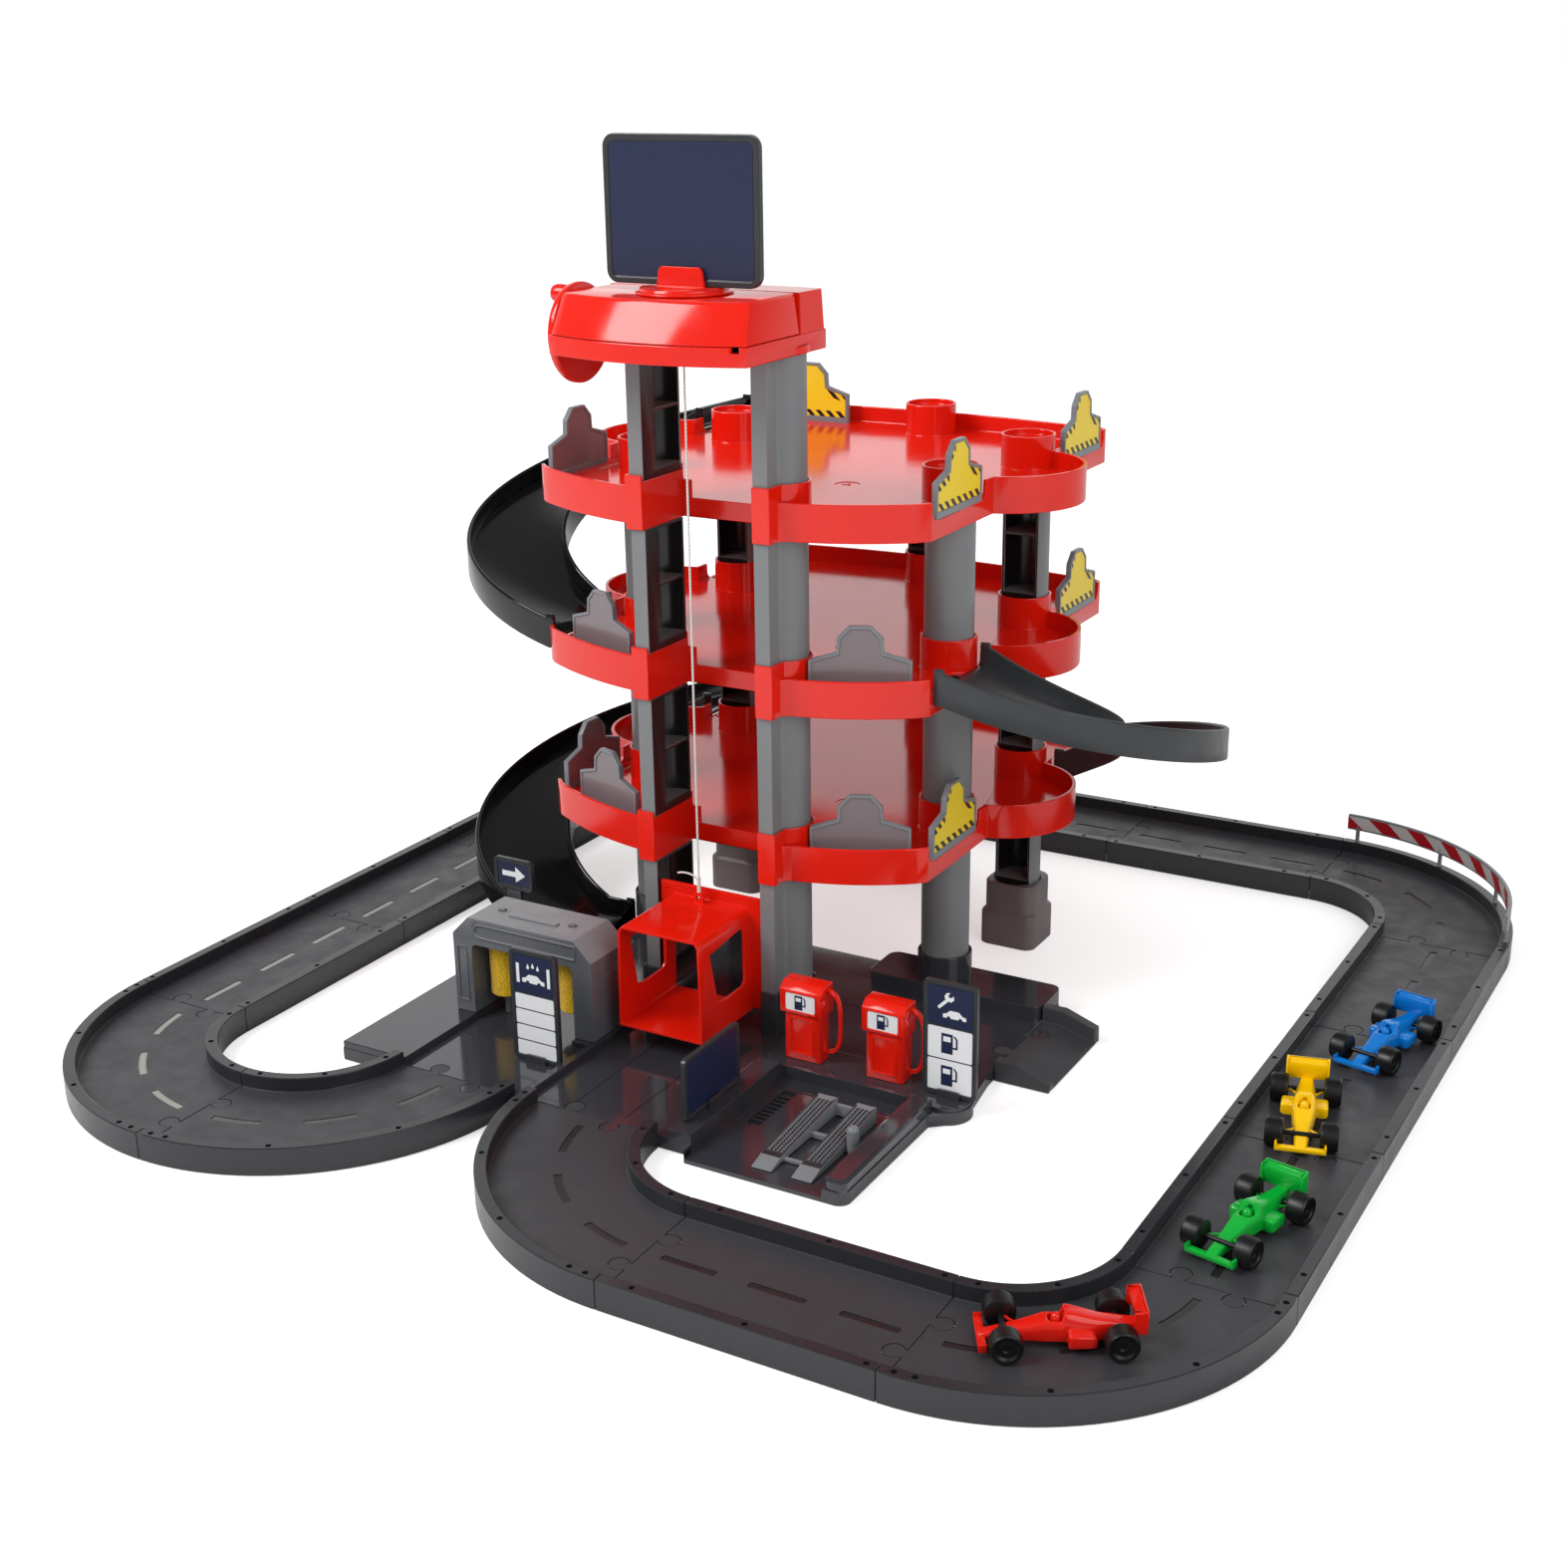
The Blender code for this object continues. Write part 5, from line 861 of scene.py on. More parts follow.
def barrier_places():
    """For each floor the barriers: x, y, turn, and the side of the yellow stripes or none."""
    right = RIGHT_GATE - 2
    left = LEFT_GATE + 2
    edge = LIFT_HALF + FLANGE
    mid_y = (FRONT_WALL + CORNER) / 2 + 8
    slope_right = math.degrees(math.atan2(CORNER - FRONT_WALL, RIGHT_GATE - TOWER - edge))
    slope_left = math.degrees(math.atan2(CORNER - FRONT_WALL, LEFT_GATE - TOWER + edge)) + 180
    pair = [((TOWER + edge + RIGHT_GATE) / 2, mid_y, slope_right, 0),
            ((TOWER - edge + LEFT_GATE) / 2, mid_y, slope_left, 0)]
    front = (right, FRONT_GATE, 90, -1)
    rear = (right, REAR_GATE, 90, -1)
    far = (left, FRONT_GATE, 90, 0)
    return [pair + [front, far], pair + [rear], [front, rear, far, (TOWER - 110, BACK_WALL - 18, 0, -1)]]


def put_barrier(name, node, height, x, y, turn, stripes):
    """Stepped gable plate with a glossy sunk panel on each face and printed stripes on one."""
    outline = [(a, b - 1.25) for a, b in gable(34, 24, 47.2)]
    inner = [(a, max(b, 4)) for a, b in inset(outline, 2.1)]
    plate = started("barrier", (slab_xz, outline, -2, 2))
    cut(plate, (slab_xz, inner, -3, -1.2), (slab_xz, inner, 1.2, 3))

    def sunk_face(middle, normal):
        return 1 if abs(middle.y) < 1.4 and abs(normal.y) > 0.9 else 0

    at = (x, y, height)
    put(name, shaped(plate, 0.4), ["gate", "panel"], "root", [node], at, turn, sunk_face)
    if not stripes:
        return
    film = started("film", (slab_xz, inset(inner, 0.3), *sorted((stripes * 1.15, stripes * 1.4))))
    put(name + "_film", shaped(film, 0), ["yellow"], "root", [], at, turn)
    depth = sorted((stripes * 1.35, stripes * 1.55))
    bands = [(slab_xz, box(-31.2, 4.3, 31.2, 9.0), *depth)]
    for side in (-1, 1):
        for band in ([(31.4, 16.2), (31.4, 20.8), (15.2, 25.7), (15.2, 21.1)],
                     [(12.8, 32.6), (12.8, 36.8), (6.4, 43.2), (6.4, 39.0)]):
            bands.append((slab_xz, [(side * a, b) for a, b in band][::side], *depth))
    data = print_map(shaped(started("film", *bands), 0), lambda point: (point.x, point.z))
    put(name + "_stripes", data, ["hazard"], "root", [], at, turn)


# Helical ramps
def ramp_section():
    """Section from deck to skirt, with a full round on top of each wall."""
    return both_halves([(34.5, 0), (34.5, 12.2)] + arc(36.0, 12.5, 1.5, 180, 0, 8)
                       + [(37.5, -9), (36, -9), (36, -2.5)])


def build_ramp(node, side, gate, low_y, high_y, deck_low, deck_high, low_at_front, lead, finish, slot):
    """Half a turn of helix between two gates; lead is how far its lower mouth reaches back in."""
    radius = (high_y - low_y) / 2
    path = []
    for i in range(49):
        t = i / 48
        x = gate + side * 6 + side * radius * math.sin(math.pi * t)
        y = (high_y + low_y) / 2 - radius * math.cos(math.pi * t)
        right = (side * math.sin(math.pi * t), -math.cos(math.pi * t))
        share = t if low_at_front else 1 - t
        path.append((x, y, deck_low + (deck_high - deck_low) * share + 2.3, right))
    edge = gate + side * SEAT
    low_edge = edge - side * lead
    start, end = (low_edge, edge) if low_at_front else (edge, low_edge)
    path = [(start, *path[0][1:])] + path + [(end, *path[-1][1:])]
    section = ramp_section()
    loops = [[(x + u * r[0], y + u * r[1], z + w) for u, w in section] for x, y, z, r in path]
    tongues = []
    for x, y, z, _ in (path[0], path[-1]):
        x0, x1 = sorted((x - side * 7, x + side * 5))
        tongues.append((prism, box(x0, y - 8.5, x1, y + 8.5), z - 2, z - 0.3))
        x0, x1 = sorted((x, x + side * 7))
        for middle in (y - 36, y + 36):
            tongues.append((prism, rounded(x0, middle - 1.4, x1, middle + 1.4, 1, 2), z + 10, z + 16))
    ramp = started("ramp", (loft, loops))
    join(ramp, *tongues)
    put(node + "_shell", shaped(ramp, 0.4), [finish], "root", [node], smooth=24)


def build_ramps():
    low, middle, high = [FIRST_FLOOR + i * STOREY + FLOOR_DECK for i in range(3)]
    black = ("black", "black_plastic")
    build_ramp("ramp_right", 1, RIGHT_GATE, 250, 458, low, middle, False, 0, "slate", "slate_plastic")
    build_ramp("ramp_left_upper", -1, LEFT_GATE, 250, 458, middle, high, True, 0, *black)
    build_ramp("ramp_left_lower", -1, LEFT_GATE, 240, 458, DECK, low, True, 17, *black)


# Base plate
def base_outline():
    exit_x = BASE_EXIT - PIECE_GAP
    points = [(BASE_LEFT, PIECE_GAP), (BAY_LEFT, PIECE_GAP), (BAY_LEFT, -9)]
    points += arc(BASE_SIDE - 8, -1, 8, -90, 0, 8)
    points += [(BASE_SIDE, 103)]
    points += arc(BASE_SIDE + 2, 126, 17, -68, 40, 16)
    points += [(exit_x, EXIT_LANE - 52), (exit_x, 292), (BASE_EXIT - 8, 300)]
    return points + [(-142, 300), (-150, 292), (-150, 200), (BASE_LEFT + 8, 198), (BASE_LEFT, 190)]


def clip(mesh, x, y, z, along_y=False):
    """Two rounded prongs that hold a standing plate between them."""
    shape = rounded(-8, z - 2, 8, z + 5.5, 1.5, 3)
    for low, high in ((2.0, 4.0), (-4.0, -2.0)):
        if along_y:
            slab_yz(mesh, [(y + a, b) for a, b in shape], x + low, x + high)
        else:
            slab_xz(mesh, [(x + a, b) for a, b in shape], y + low, y + high)


def build_base():
    base = started("base", (prism, base_outline(), 0, DECK))
    cut(base, (prism, box(BASE_LEFT + 2.2, 2.35, BAY_LEFT - 4.4, 193.4), -3, DECK_UNDER),
        (prism, box(-147.8, 200, BASE_SIDE, 287.8), -3, DECK_UNDER))
    attach(
        base,
        (prism, box(BASE_LEFT + 0.4, 0.55, BASE_LEFT + 54, 189.5), KERB_ROOT, KERB_TOP),
        (prism, [(-55, 0.55), (-50, 0.55), (-50, 129), (-68, 129), (-68, 74), (-55, 74)], KERB_ROOT, KERB_TOP),
        (prism, box(BAY_LEFT - 17, 0.55, BAY_LEFT - 0.4, 113), KERB_ROOT, LEDGE_TOP),
        (prism, rounded(62, 258, BASE_EXIT - 1, 299.6, 8, 6), KERB_ROOT, 20),
    )
    attach(base, (prism, rounded(BAY_RIGHT + 0.4, -8.6, BASE_SIDE - 0.4, 113, 5.3, 8), KERB_ROOT, 17), edge=2)
    attach(base, (prism, box(BAY_LEFT - 17, 115, BASE_SIDE, 151), KERB_ROOT, ISLAND_TOP))
    attach(base, (prism, circle(BASE_SIDE + 2, 126, 16, 40), KERB_ROOT, ISLAND_TOP - 0.1))
    attach(base, (clip, -75, 46, DECK), (clip, 190, 128, ISLAND_TOP), (clip, PARKING_CLIP, 44, LEDGE_TOP, True),
           (clip, ARROW_CLIP, 178, KERB_TOP), edge=0.4)
    spots = [spot for spot in plain_spots() if spot[3] == "base"]
    attach(base, (collars, 8.1, 8.1, BASE_COLLAR, spots, 2))
    engrave(base, (collars, BASE_COLLAR - 4, BASE_COLLAR - 4, BASE_COLLAR + 4, spots, 0.3))
    engrave(base, (prism, box(BAY_LEFT, -12, BAY_RIGHT, 115), 3, 20))
    slot = arc(BAY_LEFT + 15, 52, 5, 180, 360, 12) + [(BAY_LEFT + 20, 99), (BAY_LEFT + 10, 99)]
    engrave(base, (prism, slot, 0.8, 4))
    add_tabs(base, (0, 0, -90), (-LANE_GAP, 0, -90), (BASE_EXIT, EXIT_LANE, 0))
    grooves = [box(x - 0.4, 8, x + 0.4, 142) for x in (-20, 20)]
    for y in (158, 222):
        grooves += [box(-140, y, -60, y + 0.8), box(46, y, 90, y + 0.8)]
    grooves.append(circle(112, 196, 11, 36))
    engrave(base, *[(prism, groove, DECK - 0.4, DECK + 1) for groove in grooves])
    put("base_plate_shell", shaped(base, 0.5), ["plate"], "root", ["base_plate"])
    put_columns("base", spots, True, BASE_COLLAR, FIRST_FLOOR, ["base_plate"])
    ribs = [(prism, box(BAY_LEFT + 10.4, y, BAY_LEFT + 19.6, y + 1.6), 1.2, 2.6) for y in range(56, 96, 5)]
    ribs.append((prism, box(BAY_LEFT + 3, 100.5, BAY_RIGHT - 3, 101.5), 2.6, 3.6))
    ribs.append((prism, box(BAY_LEFT + 3, 4, BAY_LEFT + 4, 100), 2.6, 3.6))
    put("service_bay_lines", shaped(started("ribs", *ribs), 0.2), ["plate"], "root",
        ["base_plate"])


def build_exit_ramp():
    near = EXIT_LANE - 44
    far = EXIT_LANE + 44
    loops = []
    for i in range(12):
        t = max(0.0, (i - 1) / 10)
        x = BASE_EXIT + PIECE_GAP + (0 if i == 0 else 15) + 24 * t
        deck = DECK + (1.1 - DECK) * t
        near_top = LEDGE_TOP + (4.65 - LEDGE_TOP) * t
        far_top = 20 + (11.5 - 20) * t
        under = max(deck - 2.4, 0.55)
        loops.append([
            (x, near, 0), (x, near, near_top), (x, near + 8, near_top), (x, near + 8, deck),
            (x, far - 8, deck), (x, far - 8, far_top), (x, far, far_top), (x, far, 0),
            (x, far - 2.2, 0), (x, far - 2.2, under), (x, near + 2.2, under), (x, near + 2.2, 0),
        ])
    ramp = started("exit", (loft, loops))
    add_tabs(ramp, (BASE_EXIT, EXIT_LANE, 180))
    put("exit_ramp_shell", shaped(ramp, 0.5), ["deck"], "root", ["exit_ramp"])


# Lift head
def head_outline(shrink, y_back, lean=None):
    """Outline with a bowed front; lean sets the front edge back, as far as the sides where not given."""
    left = HEAD_LEFT + shrink
    right = HEAD_RIGHT - shrink
    front_y = 118 + (shrink if lean is None else lean)
    return bowed((left, front_y), (right, front_y), 14, 24) + [(right, y_back), (left, y_back)]


def build_head():
    head = started("head", (prism, head_outline(0, 216), HEAD_LOW, HEAD_LOW + 12))
    block = box(HEAD_LEFT + 0.4, 184, HEAD_RIGHT - 0.4, 215.6)
    join(head, (frustum, block, inset(block, 1.6), HEAD_LOW + 2.4, COVER_TOP))
    cut(head, (prism, head_outline(2.4, 181.6), HEAD_LOW + 2.4, HEAD_LOW + 15))
    posts = []
    sockets = []
    for side in (1, -1):
        posts.append((prism, mirrored(lift_outline(SEAT + 2, 2), side), HEAD_LOW + 0.4, HEAD_LOW + 5.4))
        sockets.append((prism, mirrored(lift_outline(SEAT, SEAT), side), HEAD_LOW - 2.4, HEAD_LOW + 3))
    join(head, *posts)
    cut(head, *sockets, (prism, circle(STRING.x, STRING.y, 2.7, 16), HEAD_LOW - 2.4, HEAD_LOW + 4.8))
    shaft = box(CRANK_Y - 3.2, CRANK_Z - 3.2, CRANK_Y + 3.2, COVER_TOP)
    notch = rounded(TOWER + 52, HEAD_LOW + 8.5, TOWER + 57, HEAD_LOW + 13, 0.6, 2)
    cut(head, (slab_yz, shaft, HEAD_LEFT - 3, HEAD_LEFT + 5), (slab_xz, notch, 100, 123))
    put("lift_head_tray", shaped(head, 0.6), ["red"], "root", ["lift_head"])


def build_cover():
    steps = ((1.2, 1.2, COVER_LOW), (1.6, 1.8, COVER_LOW + 1.5), (4.2, 11.0, COVER_TOP - 2.2),
             (5.0, 12.2, COVER_TOP - 0.5), (6.4, 13.8, COVER_TOP))
    cover = started("cover", (loft, [[(x, y, z) for x, y in head_outline(shrink, 183.7, lean)]
                                     for shrink, lean, z in steps]))
    cut(cover, (frustum, head_outline(3.6, 181.3), head_outline(7, 181.3, 14.5), COVER_LOW - 3, COVER_TOP - 2.4))
    engrave(cover, (prism, circle(TABLE.x, TABLE.y, 3.4, 32), COVER_TOP - 5, COVER_TOP + 3))
    put("lift_head_hood", shaped(cover, 0.6), ["red"], "root", ["lift_head_cover"])


def build_crank():
    left = HEAD_LEFT - 0.6
    place = Matrix.Translation((left, 0, 0)) @ Matrix.Rotation(math.pi / 2, 4, "Y")
    drum = STRING.x - left
    crank = started("crank", (turned, [
        (12, -5.2), (13.6, -6), (14.6, -5.4), (15.4, -3.4), (17, -2.9), (26, -2.9), (27.4, -3.6), (28.6, -5.6),
        (30, -6), (31.3, -5.4), (32, -4), (32, -0.9), (31.1, 0),
    ], 64, place))
    join(crank, (turned, [
        (2.8, -1.5), (2.8, drum - 9), (6, drum - 9), (5, drum - 8), (5, drum + 9), (6, drum + 10),
    ], 24, place))
    spot = Matrix.Translation((left - 2, 0, 24)) @ Matrix.Rotation(-math.pi / 2, 4, "Y")
    join(crank, (turned, [(4.9, 0), (5.2, 4), (5.9, 12), (6, 15), (5.8, 17), (5.1, 18.8), (3.7, 19.8), (1.6, 20)],
                 32, spot))
    at = (0, CRANK_Y, CRANK_Z)
    put("crank_hand_wheel", shaped(crank, 0.3), ["red"], "crank", ["crank_wheel"], at, smooth=32)
    coil = []
    for i in range(12 * 16 + 1):
        angle = 2 * math.pi * i / 16
        coil.append((STRING.x - 7 + 14 * i / 192, 5.5 * math.cos(angle), 5.5 * math.sin(angle)))
    turns = started("turns", (tube, coil, 0.6, 6))
    put("string_on_drum", shaped(turns, 0), ["cord"], "crank", [], at, smooth=60)


# Turntable and sign board
def build_turntable():
    low = COVER_TOP + SEAT
    table = started("table", (turned, [
        (30.4, low), (31, low + 0.5), (31, low + 1.4), (30.4, low + 1.8), (28.6, low + 2), (28.2, low + 3.5),
        (27.6, low + 4),
    ], 64))
    outline = [(-18, low + 3), (18, low + 3), (17, low + 6)] + arc(12.4, low + 12.4, 3.6, 8, 90, 6)
    outline += arc(-12.4, low + 12.4, 3.6, 90, 172, 6) + [(-17, low + 6)]
    join(table, (prism, circle(0, 0, 3, 24), low - 4.8, low + 0.3), (slab_xz, outline, 2.8, 5.3),
         (slab_xz, outline, -5.3, -2.8))
    put("sign_turntable_disc", shaped(table, 0.4), ["red"], "sign", ["sign_turntable"], TABLE,
        smooth=32)


def framed_plate(width, height, thickness, corner, frame_width, low, recess=0.8):
    """Upright plate with a sunk field inside a rounded frame on both faces."""
    outer = rounded(-width / 2, low, width / 2, low + height, corner, 8)
    inner = rounded(-width / 2 + frame_width, low + frame_width, width / 2 - frame_width,
                    low + height - frame_width, max(1.0, corner - frame_width), 8)
    plate = started("plate", (slab_xz, outer, -thickness / 2, thickness / 2))
    cut(plate, (slab_xz, inner, -thickness, -thickness / 2 + recess),
        (slab_xz, inner, thickness / 2 - recess * 0.5, thickness))
    return plate


def film_sheet(name, outlines, y, finish, body, at, turn=0.0):
    """Printed shapes on an upright face whose front looks towards -Y."""
    film = started("film", *[(slab_xz, outline, y - 0.15, y + 0.05) for outline in outlines])
    put(name, shaped(film, 0), [finish], body, [], at, turn)


def build_sign_board():
    low = COVER_TOP + SEAT + 4.3
    put("sign_board_frame", shaped(framed_plate(112, 90, 5, 8, 4, low), 0.5), ["frame"], "sign",
        ["sign_board"], TABLE)
    field = rounded(-51.5, low + 4.5, 51.5, low + 85.5, 4, 6)
    film_sheet("sign_board_panel", [field], -1.75, "navy", "sign", TABLE)


# Lift car
def build_lift_car():
    half = 33.5
    car = started("lift", (slab_xz, rounded(-40.4, 0, 40.4, 82, 1.2, 2), -1.3, 1.3))
    outline = [(-half, 0.4), (half, 0.4), (half - 1.6, 70), (half - 4, 73.4), (half - 6, 74)]
    outline += [(-x, z) for x, z in reversed(outline[2:])]
    join(car, (slab_xz, outline, -68, 0))
    cut(car, (slab_xz, inset(outline, 2), -70, 5))
    window = [(-47, 24), (-41, 22), (-15, 22), (-12, 25), (-11, 58), (-12.2, 62.2), (-16, 64), (-55, 60.5),
              (-54.6, 59.4)]
    cut(car, (slab_yz, window, -half - 3, half + 3))
    x = STRING.x - TOWER
    y = STRING.y - CAR_PLATE_Y
    join(car, (slab_xz, [(x - 4, 73), (x + 4, 73)] + arc(x, 78, 4, 0, 180, 14), y - 1.2, y + 1.2))
    engrave(car, (slab_xz, circle(x, 78, 1.8, 16), y - 3, y + 3), (prism, circle(0, -36, 8, 36), 73.6, 76),
            (slab_xz, circle(-34, 76, 1.5, 14), -2, -0.8),
            *[(slab_xz, box(-28, z, 36, z + 0.6), -2, -0.9) for z in (76.4, 79.2)])
    put("lift_car_shell", shaped(car, 0.5), ["red"], "lift", ["lift_car"],
        (TOWER, CAR_PLATE_Y, CAR_LOW))


def build_string(sizes):
    """The string crosses no joint: it hangs from the drum, with its run on the fixed body and its knot and tail on the
    lift.
    """
    low = CAR_LOW + 82.6
    rod = [(0, 0, low + (CRANK_Z - low) * i / 12) for i in range(13)]
    string = started("string", (tube, rod, sizes.string_diameter / TO_METRES / 2, 10))
    string = put("lift_string_run", shaped(string, 0), ["cord"], "root", ["lift_string"], STRING,
                 smooth=60)
    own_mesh(string)
    knot = [(turned, [(0.9, 0), (1.35, 0.4), (1.35, 1.6), (0.9, 2.0)], 14,
             Matrix.Translation((0, 0, low - 1 + height * 1.9))) for height in range(6)]
    knot.append((tube, [(0, 0, low - 5 + i * 3) for i in range(12)], 0.75, 10))
    tail = []
    for i in range(13):
        t = i / 12
        tail.append((-14 * t ** 1.3 - 0.8, -3 * t, low + 8 + 13 * t - 9 * t * t))
    for word, shapes in (("knot", knot), ("tail", [(tube, tail, 0.65, 8)])):
        put("lift_string_" + word, shaped(started(word, *shapes), 0), ["cord"], "lift", [], STRING,
            smooth=60)


# Car wash
def build_wash():
    low = KERB_TOP + SEAT
    top = low + 72
    mid = -LANE_GAP
    sides = ((-1, "left"), (1, "right"))
    outline = [(mid - 58, low), (mid - 42, low), (mid - 42, low + 48)]
    outline += arc(mid - 38, low + 48, 4, 180, 90, 4)
    outline += arc(mid + 38, low + 48, 4, 90, 0, 4)
    outline += [(mid + 42, low), (mid + 58, low), (mid + 58, top - 14), (mid + 44, top), (mid - 44, top),
                (mid - 58, top - 14)]
    wash = started("wash", (slab_xz, outline, 78, 121))
    arch = arc(mid - 34, low + 63, 5.5, 90, 270, 10) + [(mid + 46, low + 57.5), (mid + 46, low + 68.5)]
    legs = box(mid - 55, low + 8, mid - 46, low + 50)
    join(wash, (slab_xz, arch, 77.2, 79), (slab_xz, legs, 77.2, 79),
         (prism, rounded(mid - 20, 92, mid + 20, 98, 1.5, 3), top - 1, top + 1.2))
    cut(wash, (slab_xz, inset(arch, 1.3), 76, 78.2), (slab_xz, inset(legs, 1.3), 76, 78.2),
        (prism, rounded(mid - 42, 88, mid + 42, 112, 3, 4), top - 1.4, top + 0.3),
        *[(prism, circle(mid + side * ROLLER_ASIDE, ROLLER_Y, 2.9, 24), low + 40, top + 3) for side, _ in sides])

    # The upward faces of the roof take the paler grey, a painted sheen
    def roof(middle, normal):
        return 1 if normal.z > 0.5 and middle.z > top - 16 else 0

    node = ["car_wash_housing"]
    put("car_wash_body", shaped(wash, 0.5), ["wash", "pale"], "root", node, pick=roof)
    boss = [(6, top - 1.3), (6, top - 0.2), (5.4, top + 0.2), (3.4, top + 0.2), (3.2, top - 1.2)]
    bosses = started("bosses", *[(turned, boss, 32, Matrix.Translation((mid + side * ROLLER_ASIDE, ROLLER_Y, 0)))
                                 for side, _ in sides])
    # The bosses on the roof take the same paler grey, a painted sheen
    put("car_wash_roof_bosses", shaped(bosses, 0), ["pale"], "root", node)
    brush = low + 52 - 41
    sleeve = [(3.2, brush), (10.6, brush), (11.5, brush + 0.9), (11.3, brush + 12), (11.5, brush + 24),
              (11.5, brush + 37), (10.6, brush + 38), (3.2, brush + 38)]
    axle = [(2.5, DECK + SEAT), (2.5, brush - 1.2), (4.5, brush - 1), (4.5, brush), (2.4, brush + 0.5),
            (2.4, top + 0.6), (1.8, top + 1.5)]
    for side, word in sides:
        for part, steps, profile, finish, slot in (("sleeve", 64, sleeve, "foam", "yellow_foam"),
                                                   ("axle", 28, axle, "wash", "grey_plastic")):
            put("roller_%s_%s" % (part, word), shaped(started(part, (turned, profile, steps)), 0), [finish],
                "roller_" + word, ["wash_roller_" + word], (mid + side * ROLLER_ASIDE, ROLLER_Y, 0), smooth=35)


# Fuel pumps
def superbend(reach, rise):
    """Half of a squarish loop, from its low end to its high one."""
    points = []
    for i in range(29):
        angle = math.radians(-90 + 180 * i / 28)
        c = math.cos(angle)
        s = math.sin(angle)
        points.append((reach * abs(c) ** 0.6, rise * math.copysign(abs(s) ** 0.6, s)))
    return points


def placed(outline, x, z, scale=1.0):
    return [(x + a * scale, z + b * scale) for a, b in outline]


def pump_picture(x, z, scale):
    """The pump pictogram: the outlines of its body and hose, and that of its window."""
    hose = [(3, -3), (6.4, -3), (6.4, 4), (4.4, 6.5), (3.7, 5.7), (5.2, 3.6), (5.2, -1.8), (3, -1.8)]
    marks = [placed(shape, x, z, scale) for shape in (box(-5, -7, 3, 7), hose)]
    return marks, [placed(box(-3.6, 1.5, 1.6, 5), x, z, scale)]


def build_pumps():
    low = ISLAND_TOP + SEAT
    neck = low + 34
    top = neck + 21
    middle = (top + low) / 2 + 2
    rise = (top - low) / 2 - 4
    handle = placed(superbend(15, rise) + superbend(12.6, rise - 2.4)[::-1], 11.5, middle)
    hood = [(-9, neck), (8, neck), (8, top - 1), (7, top), (-3.2, top), (-4.6, top - 0.6), (-9, top - 4.4)]
    pump = started("pump", (prism, rounded(-13.5, -7, 13.5, 7, 1.5, 3), low, neck + 2))
    join(pump, (slab_yz, hood, -15.5, 15.5))
    join(pump, (slab_xz, handle, -1.2, 1.2))
    join(pump, (slab_xz, rounded(-9, low + 4, 9, neck - 3, 1.5, 3), -7.7, -6),
         (slab_xz, rounded(-12.6, neck + 0.9, 12.6, top - 5, 2, 4), -9.8, -8),
         (slab_xz, circle(13, top - 12, 4, 20), -8.6, -5))
    cut(pump, (slab_xz, rounded(-7.6, low + 5.4, 7.6, neck - 4.4, 1, 3), -9, -7.2),
        (slab_xz, rounded(-11.2, neck + 2.2, 11.2, top - 6.1, 1.4, 4), -11, -9.1))
    data = shaped(pump, 0.4)
    label = rounded(-10.9, neck + 2.5, 10.9, top - 6.4, 1.2, 3)
    marks, window = pump_picture(-0.5, (neck + top) / 2 - 1.9, 0.72)
    for number, x in ((1, 82), (2, 143)):
        at = (x, 134, 0)
        put("fuel_pump_body_%d" % number, data, ["red"], "root", ["fuel_pump_%d" % number], at,
            smooth=25)
        film_sheet("fuel_pump_label_%d" % number, [label], -9.15, "white", "root", at)
        film_sheet("fuel_pump_mark_%d" % number, marks, -9.32, "navy", "root", at)
        film_sheet("fuel_pump_mark_window_%d" % number, window, -9.5, "white", "root", at)


# Standing signs. Their plates are 3.4 mm thick and their fields are sunk by 0.8 mm
SIGN_PLATE = 3.4
SIGN_FACE = 0.8 - SIGN_PLATE / 2
PICTURE_STEP = 0.16
TALL_SIGN = 80


def sign_pictures():
    """The wash sign's and the pump sign's pictures, about the middle of their navy fields."""
    car = [(-9, -2), (-6, -2)] + arc(-4.6, -2, 1.6, 180, 0, 6) + [(3, -2)] + arc(4.6, -2, 1.6, 180, 0, 6)
    car += [(9, -2), (9, 0.6), (6, 1.4), (3.4, 4), (-3.6, 4), (-6.4, 1.4), (-9, 0.8)]
    drop = arc(0, 0, 1.0, 160, 380, 10) + [(0, 2.6)]
    wrench = [(-10, -4), (-8.6, -5.4), (-2.4, 0.8), (-0.4, 0.4), (1.6, 2.4), (1.2, 5), (-0.6, 3.4), (-2.2, 3.6),
              (-2.4, 5.2), (-1, 6.8), (-3.6, 6.4), (-5.2, 4), (-4.4, 1.8)]
    wash = [placed(car, 0, -4)] + [placed(drop, x, z, 1.1) for x, z in ((-4, 5), (0, 6), (4, 5))]
    wash += [box(-13.6, -7, -11.2, 7), box(11.2, -7, 13.6, 7)]
    return wash, [placed(wrench, 1, 3), placed(car, 3, -6, 0.9)]


def put_frame(node, plate, at, turn=0.0):
    put(node + "_frame", shaped(plate, 0.4), ["frame"], "root", [node], at, turn)


